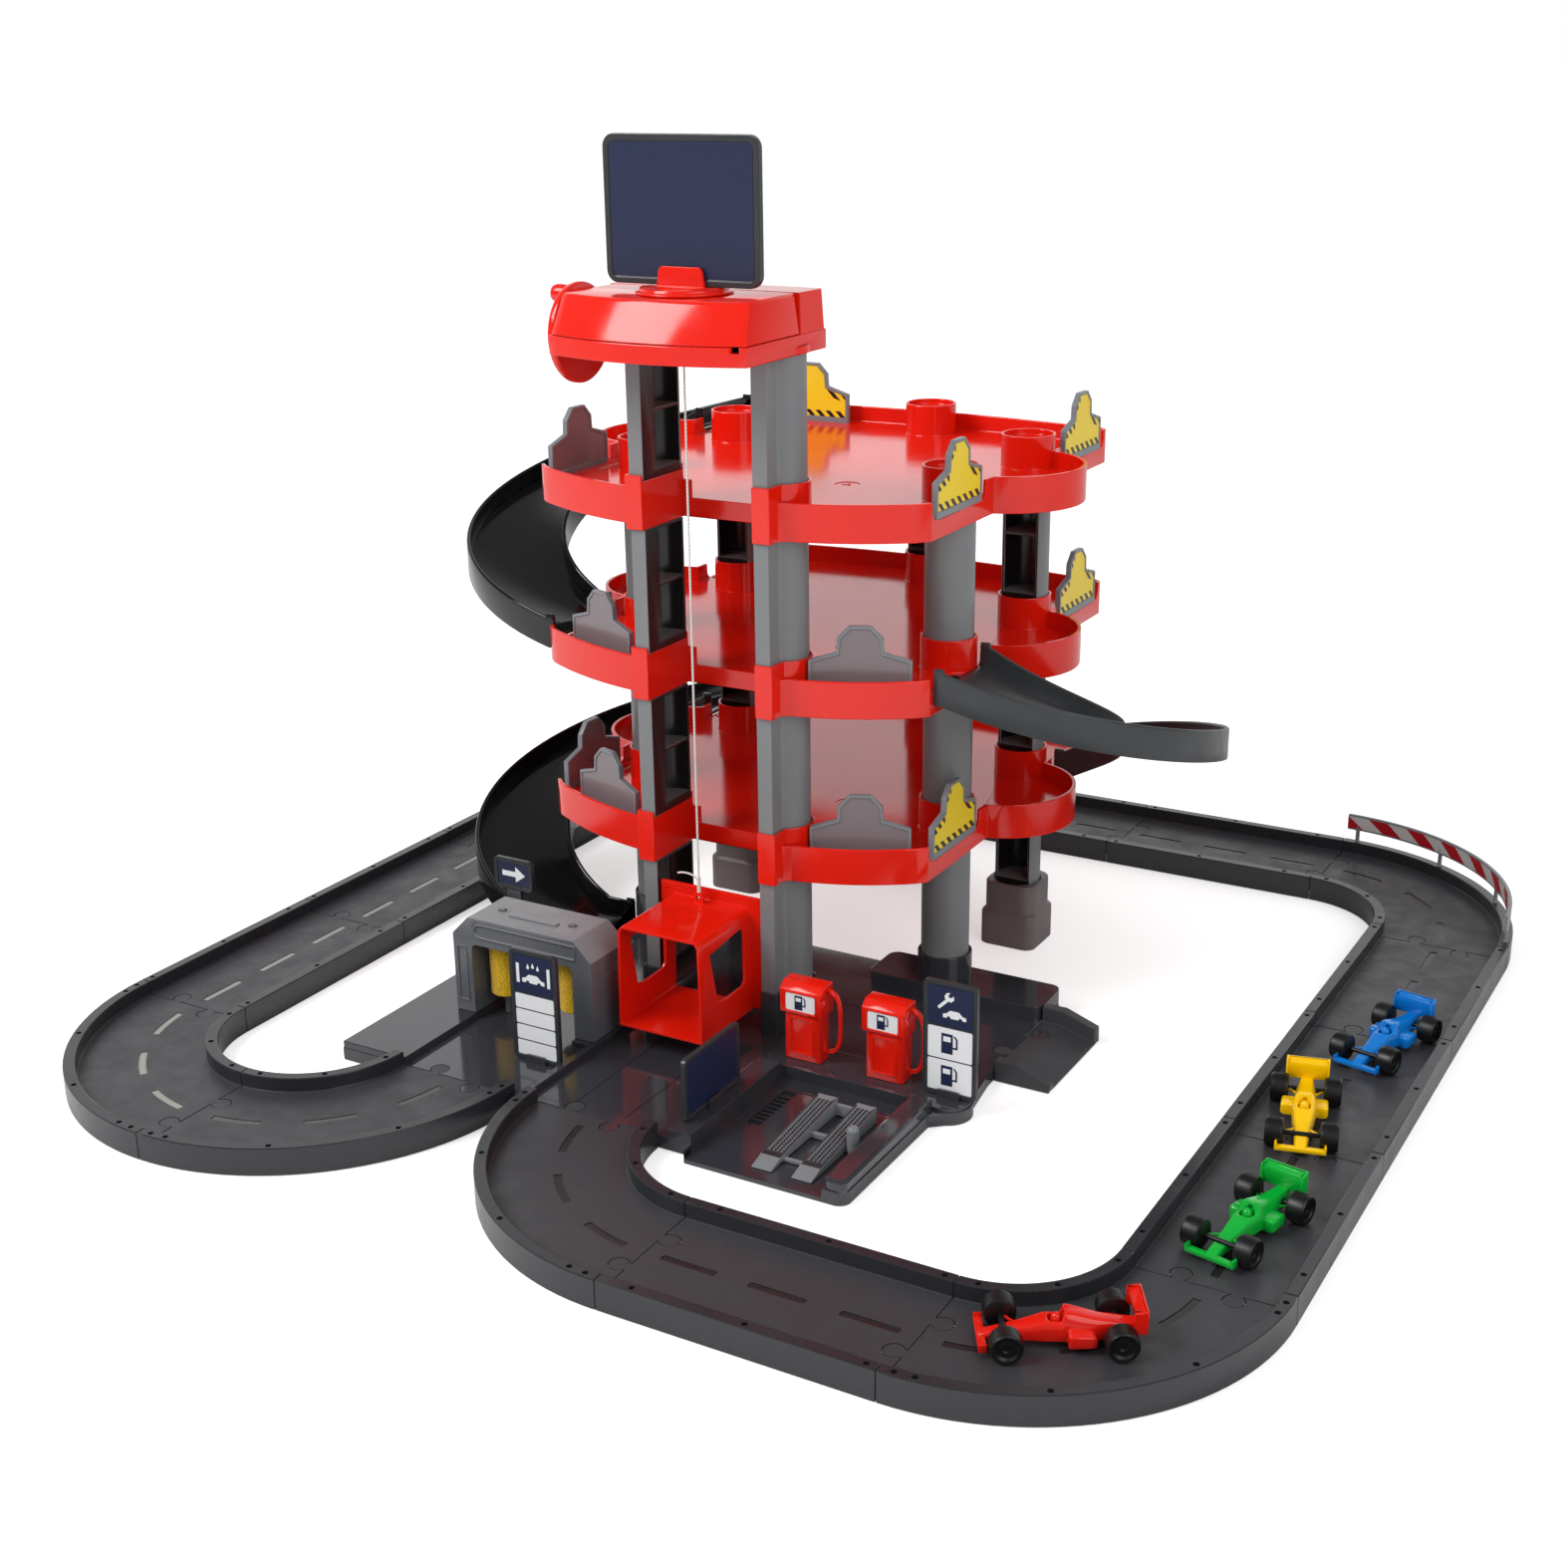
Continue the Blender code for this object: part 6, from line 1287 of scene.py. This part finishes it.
def put_tall_sign(node, at, low, count, picture):
    """A picture on a navy field above some white strips; gives the pitch of the strips."""
    put_frame(node, framed_plate(38, TALL_SIGN, SIGN_PLATE, 4, 3, low), at)
    split = low + TALL_SIGN * 0.62
    top = low + TALL_SIGN - 3.4
    film_sheet(node + "_panel", [rounded(-15.6, split, 15.6, top, 1.6, 4)], SIGN_FACE, "navy", "root", at)
    step = (split - low - 4) / count
    strips = [rounded(-15.6, low + 3.4 + i * step, 15.6, low + 2.4 + (i + 1) * step, 1, 3) for i in range(count)]
    film_sheet(node + "_strips", strips, SIGN_FACE, "white", "root", at)
    shapes = [placed(shape, 0, (split + top) / 2) for shape in picture]
    film_sheet(node + "_picture", shapes, SIGN_FACE - PICTURE_STEP, "white", "root", at)
    return step


def build_signs():
    wash, service = sign_pictures()
    put_tall_sign("wash_sign", (-75, 46, 0), DECK + SEAT, 4, wash)
    at = (190, 128, 0)
    low = ISLAND_TOP + SEAT
    step = put_tall_sign("pump_sign", at, low, 2, service)
    for i in range(2):
        marks, window = pump_picture(-1, low + 3 + (i + 0.5) * step, 1.0)
        film_sheet("pump_sign_pump_%d" % i, marks, SIGN_FACE - PICTURE_STEP, "navy", "root", at)
        film_sheet("pump_sign_pump_window_%d" % i, window, SIGN_FACE - 2 * PICTURE_STEP, "white", "root", at)
    at = (PARKING_CLIP, 44, 0)
    low = LEDGE_TOP + SEAT
    put_frame("parking_sign", framed_plate(66, 43, SIGN_PLATE, 4, 3, low), at, 90.0)
    field = rounded(-29.6, low + 3.4, 29.6, low + 39.6, 1.6, 4)
    film_sheet("parking_sign_panel", [field], SIGN_FACE, "navy", "root", at, 90.0)
    build_arrow_sign()


def build_arrow_sign():
    low = KERB_TOP + SEAT
    at = (ARROW_CLIP, 178, 0)
    plate = framed_plate(34, 24, SIGN_PLATE, 4, 3, low + 50)
    join(plate, (slab_xz, box(-6, low, 6, low + 51.5), -1.5, 1.5))
    cut(plate, (slab_xz, box(-4, low + 9, 4, low + 46), -2, -1))
    put_frame("arrow_sign", plate, at)
    field = rounded(-13.6, low + 53.4, 13.6, low + 70.6, 1.6, 4)
    film_sheet("arrow_sign_panel", [field], SIGN_FACE, "navy", "root", at)
    arrow = [(-10, -2), (2, -2), (2, -6), (10.5, 0), (2, 6), (2, 2), (-10, 2)]
    film_sheet("arrow_sign_arrow", [placed(arrow, 0, low + 62)], SIGN_FACE - PICTURE_STEP, "white", "root", at)


# Patterns laid by Geometry Nodes
def pattern_tree(name, sockets, finish):
    """A node tree with named inputs whose result ends in Realize Instances and Set Material."""
    tree = bpy.data.node_groups.new(name, "GeometryNodeTree")
    for label, kind in sockets:
        tree.interface.new_socket(label, in_out="INPUT", socket_type=kind)
    tree.interface.new_socket("Geometry", in_out="OUTPUT", socket_type="NodeSocketGeometry")
    start = add_node(tree, "NodeGroupInput")
    real = add_node(tree, "GeometryNodeRealizeInstances")
    dressed = add_node(tree, "GeometryNodeSetMaterial", {"Geometry": real.outputs[0], "Material": FINISH[finish]})
    add_node(tree, "NodeGroupOutput", {"Geometry": dressed.outputs[0]})
    return tree, start, real


def tread_tree():
    """Raised diamonds in rows over a strip, as on a drive-on track."""
    tree, start, real = pattern_tree("Tread Diamonds", (
        ("Width", "NodeSocketFloat"), ("Length", "NodeSocketFloat"), ("Columns", "NodeSocketInt"),
        ("Rows", "NodeSocketInt"), ("Diamond Size", "NodeSocketFloat"),
    ), "gate")
    grid = add_node(tree, "GeometryNodeMeshGrid", {
        "Size X": start.outputs["Width"], "Size Y": start.outputs["Length"],
        "Vertices X": start.outputs["Columns"], "Vertices Y": start.outputs["Rows"],
    })
    diamond = add_node(tree, "GeometryNodeMeshCone", {
        "Vertices": 4, "Radius Top": 0.45, "Radius Bottom": 1.0, "Depth": 0.9,
    })
    laid = add_node(tree, "GeometryNodeInstanceOnPoints", {
        "Points": grid.outputs["Mesh"], "Instance": diamond.outputs["Mesh"], "Scale": start.outputs["Diamond Size"],
    })
    tree.links.new(laid.outputs["Instances"], real.inputs[0])
    return tree


def rib_tree():
    """Short cross ribs round a ring, as on a tyre's tread."""
    tree, start, real = pattern_tree("Tyre Ribs", (
        ("Radius", "NodeSocketFloat"), ("Width", "NodeSocketFloat"), ("Count", "NodeSocketInt"),
        ("Rib Height", "NodeSocketFloat"),
    ), "tyre")
    ring = add_node(tree, "GeometryNodeMeshCircle", {
        "Vertices": start.outputs["Count"], "Radius": start.outputs["Radius"],
    })
    size = add_node(tree, "ShaderNodeCombineXYZ", {
        0: start.outputs["Rib Height"], 1: start.outputs["Rib Height"], 2: start.outputs["Width"],
    })
    rib = add_node(tree, "GeometryNodeMeshCube", {"Size": size.outputs[0]})
    where = add_node(tree, "GeometryNodeInputPosition")
    facing = add_node(tree, "FunctionNodeAlignRotationToVector", {"Vector": where.outputs[0]}, axis="X",
                      pivot_axis="Z")
    laid = add_node(tree, "GeometryNodeInstanceOnPoints", {
        "Points": ring.outputs[0], "Instance": rib.outputs["Mesh"], "Rotation": facing.outputs[0],
    })
    tree.links.new(laid.outputs["Instances"], real.inputs[0])
    return tree


def pattern_mesh(tree, values):
    """The plain mesh that a pattern tree gives for the named values."""
    thing = bpy.data.objects.new("pattern", bpy.data.meshes.new("pattern"))
    bpy.context.scene.collection.objects.link(thing)
    modifier = thing.modifiers.new("pattern", "NODES")
    modifier.node_group = tree
    for item in tree.interface.items_tree:
        if item.in_out == "INPUT" and item.name in values:
            modifier[item.identifier] = values[item.name]
    return shaped(thing, 0)


# Service lift
def build_service_lift(sizes):
    back = 86.0
    slope = 7 / 74
    at = (137, 2, 3.3)
    outline = [(0, 0), (back, 0), (back, 11), (12, 4), (0, 0.8)]
    tracks = ((-TRACK_ASIDE, "left"), (TRACK_ASIDE, "right"))
    lift = started("lift", *[(slab_yz, outline, x - 7, x + 7) for x, _ in tracks])
    bars = [(prism, box(-TRACK_ASIDE, y, TRACK_ASIDE, y + 3), 0.3, height)
            for y, height in ((15, 2.5), (49, 4), (82, 8))]
    knob = [[(a, b, z) for a, b in circle(25.5, 45.3, radius, 28)]
            for z, radius in ((0.3, 4), (15.6, 4), (17.2, 3.4), (18, 2.2))]
    join(lift, *bars, (loft, knob))
    join(lift, (prism, box(17.5, 43.8, 25.5, 46.8), 0.8, 5))
    sunk = []
    for x, _ in tracks:
        groove = [[(x + a, y, 4 + (y - 12) * slope + z) for a, z in box(-5.4, -0.5, 5.4, 3)] for y in (17, 82)]
        sunk.append((loft, groove))
        sunk += [(prism, circle(x, y, 1.3, 14), 3, 14) for y in (24, 76)]
    cut(lift, *sunk)

    def runway(middle, normal):
        inside = abs(abs(middle.x) - TRACK_ASIDE) < 5 and 17 < middle.y < 82
        return 1 if inside and normal.z > 0.9 and middle.z < 3.8 + middle.y * slope else 0

    put("service_lift_tracks", shaped(lift, 0.4), ["gate", "wall"], "service_lift", ["service_lift"],
        at, pick=runway)
    studs = pattern_mesh(tread_tree(), {"Width": 8.4, "Length": 62.0, "Columns": 4, "Rows": sizes.tread_rows,
                                        "Diamond Size": 1.05})
    pitch = Matrix.Rotation(math.atan(slope), 4, "X")
    for x, word in tracks:
        strip = studs.copy()
        strip.transform(Matrix.Translation((x, 49.5, 4 + (49.5 - 12) * slope - 0.2)) @ pitch)
        put("service_lift_tread_" + word, strip, ["gate"], "service_lift", ["service_lift"], at)


# Toy racing cars: colour, place along the road and across it, and skew in degrees
CARS = (("red", -0.58, -0.94, -7.5), ("green", 0.366, 0.2, -11.3), ("yellow", 1.18, -0.8, 14.0),
        ("blue", 1.913, 1.0, -11.8))


def car_place(along, aside, skew):
    """Where a car stands and how it is turned; along counts pieces of road from the end of the bend."""
    corner = CURVE + STRAIGHT
    radius = CURVE + aside * 10
    if along < 0:
        angle = math.radians(along * 90)
        return corner + radius * math.cos(angle), radius * math.sin(angle), along * 90 + skew
    return corner + radius, along * STRAIGHT, skew


def oval_section(half, shoulder, top_half, top):
    """Car section: flat floor, upright flanks, rounded shoulders and a crowned top."""
    low = 3.5
    right = [(half - 0.8, low), (half, low + 0.8), (half, shoulder)]
    for i in range(1, 7):
        t = i / 6
        bend = math.sin(math.pi * t / 2)
        right.append((half + (top_half - half) * t ** 1.4, shoulder + (top - shoulder) * bend))
    return both_halves(right)


def car_body():
    """Body lofted along its stations, with wings, side pods, arms, cockpit and bores for the axles."""
    stations = (
        (-43.5, 2.6, 4.6, 1.6, 5.6), (-42, 3.6, 4.8, 2.4, 6.6), (-30, 4.7, 6.6, 3.0, 9.0), (-21, 5.5, 8, 3.6, 11.0),
        (-14, 6.3, 9, 4.2, 12.8), (-9, 7, 10, 4.8, 14.2), (-7.6, 7, 10, 4.8, 14.5), (0, 7.5, 10, 4.6, 14.0),
        (2, 7.8, 10.6, 4.0, 19.6), (5, 7.6, 11, 3.4, 19.4), (19, 6.5, 11, 2.6, 15.2), (31, 5.4, 10, 2.8, 13.2),
        (41, 4.5, 9, 2.8, 12.0),
    )
    body = started("car", (loft, [[(x, y, z) for x, z in oval_section(*numbers)] for y, *numbers in stations]))
    wing = [(-15.5, 3.5), (15.5, 3.5), (15.5, 8), (14.2, 8.6), (13.9, 5.8), (-13.9, 5.8), (-14.2, 8.6), (-15.5, 8)]
    fittings = [(slab_xz, wing, -44, -39.4)]
    for side in (1, -1):
        x0, x1 = sorted((side * 5, side * 14.6))
        fittings.append((loft, [[(x, y, z) for x, z in rounded(x0 + a, 3.5, x1 - a, 11.4 - b, 1.6, 3)]
                                for y, a, b in ((3, 0.8, 1.2), (4.2, 0, 0), (14, 0.2, 0.4), (17, 0.8, 1.6),
                                                (18, 1.6, 3))]))
    spoiler = [(39.5, 11.5), (43, 11.5), (44, 25), (42.6, 25), (42.2, 23.6), (37.4, 22.4), (37, 23.6), (36.8, 20.6)]
    fittings.append((slab_yz, spoiler, -13.5, 13.5))
    for side in (1, -1):
        end_plate = [(36.2, 13), (43.6, 12), (44, 25), (36.4, 24.4)]
        fittings.append((slab_yz, end_plate, *sorted((side * 12.2, side * 13.5))))
        fittings.append((tube, [(side * 3, -22, 8.5), (side * 12, -AXLE_Y, 8.8)], 0.9, 8))
        fittings.append((tube, [(side * 4, 22, 8.5), (side * 12, AXLE_Y, 8.8)], 0.9, 8))
    change(body, "UNION", "loose", fittings)
    cockpit = (prism, rounded(-3.9, -7, 3.9, 1.4, 3, 5), 10.5, 16)
    change(body, "DIFFERENCE", "loose", [cockpit, (slab_xz, circle(0, 16.2, 1.7, 14), -1, 3.2)])
    cut(body, *[(slab_yz, circle(y, AXLE_Z, 1.9, 16), -22, 22) for y in (-AXLE_Y, AXLE_Y)])
    return shaped(body, 0.3)


def car_driver():
    """Plain round helmet, sunk in the cockpit."""
    helmet = [(2.4, 10.6), (2.9, 12), (3, 13.6), (2.7, 15.2), (1.9, 16.6), (0.8, 17.2)]
    return shaped(started("driver", (turned, helmet, 24, Matrix.Translation((0, -2.2, 0)))), 0)


def wheel_pair(ribs):
    """Two tyres on their axle, with the ribs laid round each."""
    across = Matrix.Rotation(math.pi / 2, 4, "Y")
    side = [
        (1.5, -20), (2.4, -20.6), (5.2, -20.4), (6.0, -20.9), (6.6, -21.6), (8.0, -22), (8.7, -21.2), (8.85, -20.2),
        (8.85, -12.6), (8.6, -11.6), (7.6, -11), (1.5, -11),
    ]
    profile = side + [(radius, -height) for radius, height in reversed(side)]
    mesh = bmesh.new()
    mesh.from_mesh(shaped(started("wheels", (turned, profile, 48, across)), 0))
    for x in (-16.5, 16.5):
        copy = ribs.copy()
        copy.transform(Matrix.Translation((x, 0, 0)) @ across)
        mesh.from_mesh(copy)
    data = bpy.data.meshes.new("wheels")
    mesh.to_mesh(data)
    mesh.free()
    return data


def build_toy_cars(sizes):
    body = car_body()
    driver = car_driver()
    ribs = pattern_mesh(rib_tree(), {"Radius": 8.75, "Width": 7.2, "Count": sizes.tyre_ribs, "Rib Height": 0.5})
    wheels = wheel_pair(ribs)
    for colour, *place in CARS:
        x, y, turn = car_place(*place)
        at = (x, y, DECK + SEAT)
        name = colour + "_car"
        for part, data, smooth in (("shell", body, 32), ("driver", driver, 40)):
            put("%s_%s" % (name, part), data, [name], name, [name + "_body"], at, turn,
                smooth=smooth)
        for end, word in ((-AXLE_Y, "front"), (AXLE_Y, "rear")):
            spot = Matrix.Rotation(math.radians(turn), 4, "Z") @ Vector((0, end, AXLE_Z))
            node = "%s_%s_wheels" % (name, word)
            put(node + "_set", wheels, ["tyre"], "%s_%s_axle" % (name, word), [node],
                (x + spot.x, y + spot.y, at[2] + spot.z), turn, smooth=32)


# Stage
def build_floor_paper():
    """A wide sheet of matt white paper just under the toy, with a faint fibre mottle and no gloss."""
    mesh = bmesh.new()
    mesh.faces.new([mesh.verts.new(point) for point in ((-40, -40, 0), (40, -40, 0), (40, 40, 0), (-40, 40, 0))])
    data = bpy.data.meshes.new("studio_floor")
    mesh.to_mesh(data)
    mesh.free()
    floor = bpy.data.objects.new("studio_floor", data)
    bpy.context.scene.collection.objects.link(floor)
    data.transform(Matrix.Translation((0, 0, -0.0004)))
    material, tree, shader, place = new_material("studio_paper_white")
    fibre = add_node(tree, "ShaderNodeTexNoise", {"Vector": place, "Scale": 1000 / 4, "Detail": 3.0})
    paper = add_node(tree, "ShaderNodeMix", {
        "Factor": fibre.outputs["Fac"], 6: linear("F2F2F2"), 7: linear("F6F6F6"),
    }, data_type="RGBA")
    rays = add_node(tree, "ShaderNodeLightPath")
    lift = add_node(tree, "ShaderNodeMath", {0: rays.outputs["Is Camera Ray"], 1: 0.5}, operation="MULTIPLY")
    set_inputs(tree, shader, {
        "Base Color": paper.outputs[2], "Roughness": 0.9, "Specular IOR Level": 0.1,
        "Emission Strength": lift.outputs[0], "Emission Color": (1.0, 1.0, 1.0, 1.0),
    })
    data.materials.append(material)


def build_world():
    """White surroundings; gloss mirrors a white wall behind the toy and a dim room in front of it."""
    world = bpy.data.worlds.new("studio_world")
    world.use_nodes = True
    bpy.context.scene.world = world
    tree = world.node_tree
    rays = add_node(tree, "ShaderNodeLightPath")
    way = add_node(tree, "ShaderNodeTexCoord").outputs["Generated"]
    behind = add_node(tree, "ShaderNodeVectorMath", {0: way, 1: (-0.5, 0.87, -0.9)}, operation="DOT_PRODUCT")
    room = add_node(tree, "ShaderNodeMapRange", {
        "Value": behind.outputs["Value"], "From Min": 0.0, "From Max": 0.6, "To Min": 0.2, "To Max": 1.1,
    })
    glossy = add_node(tree, "ShaderNodeMix", {
        "Factor": rays.outputs["Is Glossy Ray"], 2: 0.62, 3: room.outputs["Result"],
    })
    seen = add_node(tree, "ShaderNodeMath", {0: rays.outputs["Is Camera Ray"], 1: rays.outputs["Is Transmission Ray"]},
                    operation="MAXIMUM")
    level = add_node(tree, "ShaderNodeMix", {"Factor": seen.outputs[0], 2: glossy.outputs[0], 3: 1.0})
    set_inputs(tree, tree.nodes["Background"], {"Color": (1.0, 1.0, 1.0, 1.0), "Strength": level.outputs[0]})


def build_stage():
    scene = bpy.context.scene
    build_floor_paper()
    build_world()
    for name, at, target, size, power in (
        ("key_softbox", (-1.3, -1.6, 2.1), (0.0, 0.0, 0.2), 1.3, 46.0),
        ("fill_softbox", (2.0, -1.0, 1.4), (0.0, 0.0, 0.25), 1.5, 14.0),
    ):
        lamp = bpy.data.lights.new(name, "AREA")
        lamp.shape = "SQUARE"
        lamp.size = size
        lamp.energy = power
        thing = bpy.data.objects.new(name, lamp)
        thing.location = at
        thing.rotation_euler = (Vector(target) - Vector(at)).to_track_quat("-Z", "Y").to_euler()
        scene.collection.objects.link(thing)

    lens = bpy.data.cameras.new("photo_camera")
    lens.sensor_width = 36.0
    lens.lens = 48.35
    camera = bpy.data.objects.new("photo_camera", lens)
    yaw, pitch, roll = math.radians(-30.03), math.radians(19.49), math.radians(-0.81)
    ahead = Vector((math.sin(yaw) * math.cos(pitch), math.cos(yaw) * math.cos(pitch), -math.sin(pitch)))
    level_right = Vector((math.cos(yaw), -math.sin(yaw), 0.0))
    level_up = level_right.cross(ahead)
    right = level_right * math.cos(roll) + level_up * math.sin(roll)
    up = level_up * math.cos(roll) - level_right * math.sin(roll)
    turn = Matrix((right, up, -ahead)).transposed().to_4x4()
    camera.matrix_world = Matrix.Translation((0.6735, -1.2272, 0.6532)) @ turn
    scene.collection.objects.link(camera)
    scene.camera = camera
    scene.view_settings.view_transform = "Standard"


# Settings
def colour_setting(name, description, colour):
    return FloatVectorProperty(name=name, description=description, default=linear(colour)[:3], subtype="COLOR",
                               size=3, min=0.0, max=1.0)


class GarageColours(bpy.types.PropertyGroup):
    red: colour_setting("Red Parts", "Floors, lift head, crank, lift car and pumps", "E41C0A")
    anthracite: colour_setting("Road", "Road pieces and exit ramp", "3A3A3E")
    plate: colour_setting("Base Plate", "Polished base plate", "34353A")
    black: colour_setting("Left Ramps", "The two ramps on the left", "0D0D0F")
    slate: colour_setting("Right Ramp", "The ramp on the right", "34373A")
    grey: colour_setting("Columns", "Columns of the tower", "7A7C7E")
    car_red: colour_setting("Red Car", "Body of the first toy car", "E01C0C")
    car_green: colour_setting("Green Car", "Body of the second toy car", "0AAE38")
    car_yellow: colour_setting("Yellow Car", "Body of the third toy car", "FFC800")
    car_blue: colour_setting("Blue Car", "Body of the fourth toy car", "0A78D0")


def length_setting(name, description, metres):
    return FloatProperty(name=name, description=description, default=metres, min=0.0005, max=0.1, precision=4,
                         subtype="DISTANCE", unit="LENGTH")


class GarageSizes(bpy.types.PropertyGroup):
    hazard_pitch: length_setting("Barrier Stripes", "Width of one yellow and one black stripe", 0.009)
    rail_pitch: length_setting("Guard Rail Stripes", "Width of one red and one white stripe", 0.034)
    string_diameter: length_setting("String", "Thickness of the lift's string", 0.0014)
    tread_rows: IntProperty(name="Tread Rows", description="Rows of raised diamonds on a service lift track",
                            default=25, min=2, max=60)
    tyre_ribs: IntProperty(name="Tyre Ribs", description="Cross ribs round each toy car tyre", default=36, min=8,
                           max=90)


# Operators, in the order in which they build
class GARAGE_OT_finishes(bpy.types.Operator):
    """Makes every plastic, film, foam and cord finish of the toy"""
    bl_idname = "garage.finishes"
    bl_label = "Make Finishes"

    def execute(self, context):
        make_finishes(context.scene.garage_colours, context.scene.garage_sizes)
        return {"FINISHED"}


class GARAGE_OT_road(bpy.types.Operator):
    """Builds the sixteen jigsaw road pieces of the loop"""
    bl_idname = "garage.road"
    bl_label = "Build Road"

    def execute(self, context):
        build_road()
        return {"FINISHED"}


class GARAGE_OT_guard_rail(bpy.types.Operator):
    """Builds the striped guard rail on the rear right bend"""
    bl_idname = "garage.guard_rail"
    bl_label = "Build Guard Rail"

    def execute(self, context):
        build_guard_rail()
        return {"FINISHED"}


class GARAGE_OT_base(bpy.types.Operator):
    """Builds the base plate, its ground columns and the exit ramp"""
    bl_idname = "garage.base"
    bl_label = "Build Base Plate"

    def execute(self, context):
        build_base()
        build_exit_ramp()
        return {"FINISHED"}


class GARAGE_OT_feet(bpy.types.Operator):
    """Builds the three free column feet and their columns"""
    bl_idname = "garage.feet"
    bl_label = "Build Column Feet"

    def execute(self, context):
        build_feet()
        return {"FINISHED"}


class GARAGE_OT_floors(bpy.types.Operator):
    """Builds the three floors with their columns and gate barriers"""
    bl_idname = "garage.floors"
    bl_label = "Build Floors"

    def execute(self, context):
        for number in (1, 2, 3):
            build_floor(number)
        return {"FINISHED"}


class GARAGE_OT_ramps(bpy.types.Operator):
    """Builds the three helical ramps"""
    bl_idname = "garage.ramps"
    bl_label = "Build Ramps"

    def execute(self, context):
        build_ramps()
        return {"FINISHED"}


class GARAGE_OT_head(bpy.types.Operator):
    """Builds the lift's guide columns, tray and hood above the top floor"""
    bl_idname = "garage.head"
    bl_label = "Build Lift Head"

    def execute(self, context):
        build_top_columns()
        build_head()
        build_cover()
        return {"FINISHED"}


class GARAGE_OT_crank(bpy.types.Operator):
    """Builds the hand wheel, its drum and the string wound on it"""
    bl_idname = "garage.crank"
    bl_label = "Build Crank"

    def execute(self, context):
        build_crank()
        return {"FINISHED"}


class GARAGE_OT_sign_board(bpy.types.Operator):
    """Builds the turntable and the bare sign board on it"""
    bl_idname = "garage.sign_board"
    bl_label = "Build Sign Board"

    def execute(self, context):
        build_turntable()
        build_sign_board()
        return {"FINISHED"}


class GARAGE_OT_lift(bpy.types.Operator):
    """Builds the lift car and the string that it hangs from"""
    bl_idname = "garage.lift"
    bl_label = "Build Lift Car"

    def execute(self, context):
        build_lift_car()
        build_string(context.scene.garage_sizes)
        return {"FINISHED"}


class GARAGE_OT_wash(bpy.types.Operator):
    """Builds the car wash and its two foam rollers"""
    bl_idname = "garage.wash"
    bl_label = "Build Car Wash"

    def execute(self, context):
        build_wash()
        return {"FINISHED"}


class GARAGE_OT_pumps(bpy.types.Operator):
    """Builds the two fuel pumps with their labels"""
    bl_idname = "garage.pumps"
    bl_label = "Build Fuel Pumps"

    def execute(self, context):
        build_pumps()
        return {"FINISHED"}


class GARAGE_OT_signs(bpy.types.Operator):
    """Builds the four standing signs and their pictograms"""
    bl_idname = "garage.signs"
    bl_label = "Build Signs"

    def execute(self, context):
        build_signs()
        return {"FINISHED"}


class GARAGE_OT_service_lift(bpy.types.Operator):
    """Builds the tilting tracks of the service bay"""
    bl_idname = "garage.service_lift"
    bl_label = "Build Service Lift"

    def execute(self, context):
        build_service_lift(context.scene.garage_sizes)
        return {"FINISHED"}


class GARAGE_OT_toy_cars(bpy.types.Operator):
    """Builds the four toy racing cars"""
    bl_idname = "garage.toy_cars"
    bl_label = "Build Toy Cars"

    def execute(self, context):
        build_toy_cars(context.scene.garage_sizes)
        return {"FINISHED"}


class GARAGE_OT_stage(bpy.types.Operator):
    """Builds the white floor, the soft lights and the camera"""
    bl_idname = "garage.stage"
    bl_label = "Build Stage"

    def execute(self, context):
        build_stage()
        return {"FINISHED"}


OPERATORS = (
    GARAGE_OT_finishes, GARAGE_OT_road, GARAGE_OT_guard_rail, GARAGE_OT_base, GARAGE_OT_feet,
    GARAGE_OT_floors, GARAGE_OT_ramps, GARAGE_OT_head, GARAGE_OT_crank, GARAGE_OT_sign_board,
    GARAGE_OT_lift, GARAGE_OT_wash, GARAGE_OT_pumps, GARAGE_OT_signs, GARAGE_OT_service_lift,
    GARAGE_OT_toy_cars, GARAGE_OT_stage,
)


class GARAGE_PT_panel(bpy.types.Panel):
    """Lists the garage's colours and the operators that build it"""
    bl_idname = "GARAGE_PT_panel"
    bl_label = "Toy Parking Garage"
    bl_space_type = "VIEW_3D"
    bl_region_type = "UI"
    bl_category = "Garage"

    def draw(self, context):
        column = self.layout.column()
        for group in (context.scene.garage_sizes, context.scene.garage_colours):
            for key in type(group).__annotations__:
                column.prop(group, key)
        for operator in OPERATORS:
            column.operator(operator.bl_idname)


CLASSES = (GarageColours, GarageSizes, *OPERATORS, GARAGE_PT_panel)


def register():
    for item in CLASSES:
        bpy.utils.register_class(item)
    bpy.types.Scene.garage_colours = PointerProperty(type=GarageColours)
    bpy.types.Scene.garage_sizes = PointerProperty(type=GarageSizes)


def unregister():
    del bpy.types.Scene.garage_sizes
    del bpy.types.Scene.garage_colours
    for item in reversed(CLASSES):
        bpy.utils.unregister_class(item)


def main():
    register()
    for operator in OPERATORS:
        group, name = operator.bl_idname.split(".")
        getattr(getattr(bpy.ops, group), name)()


if __name__ == "__main__":
    main()
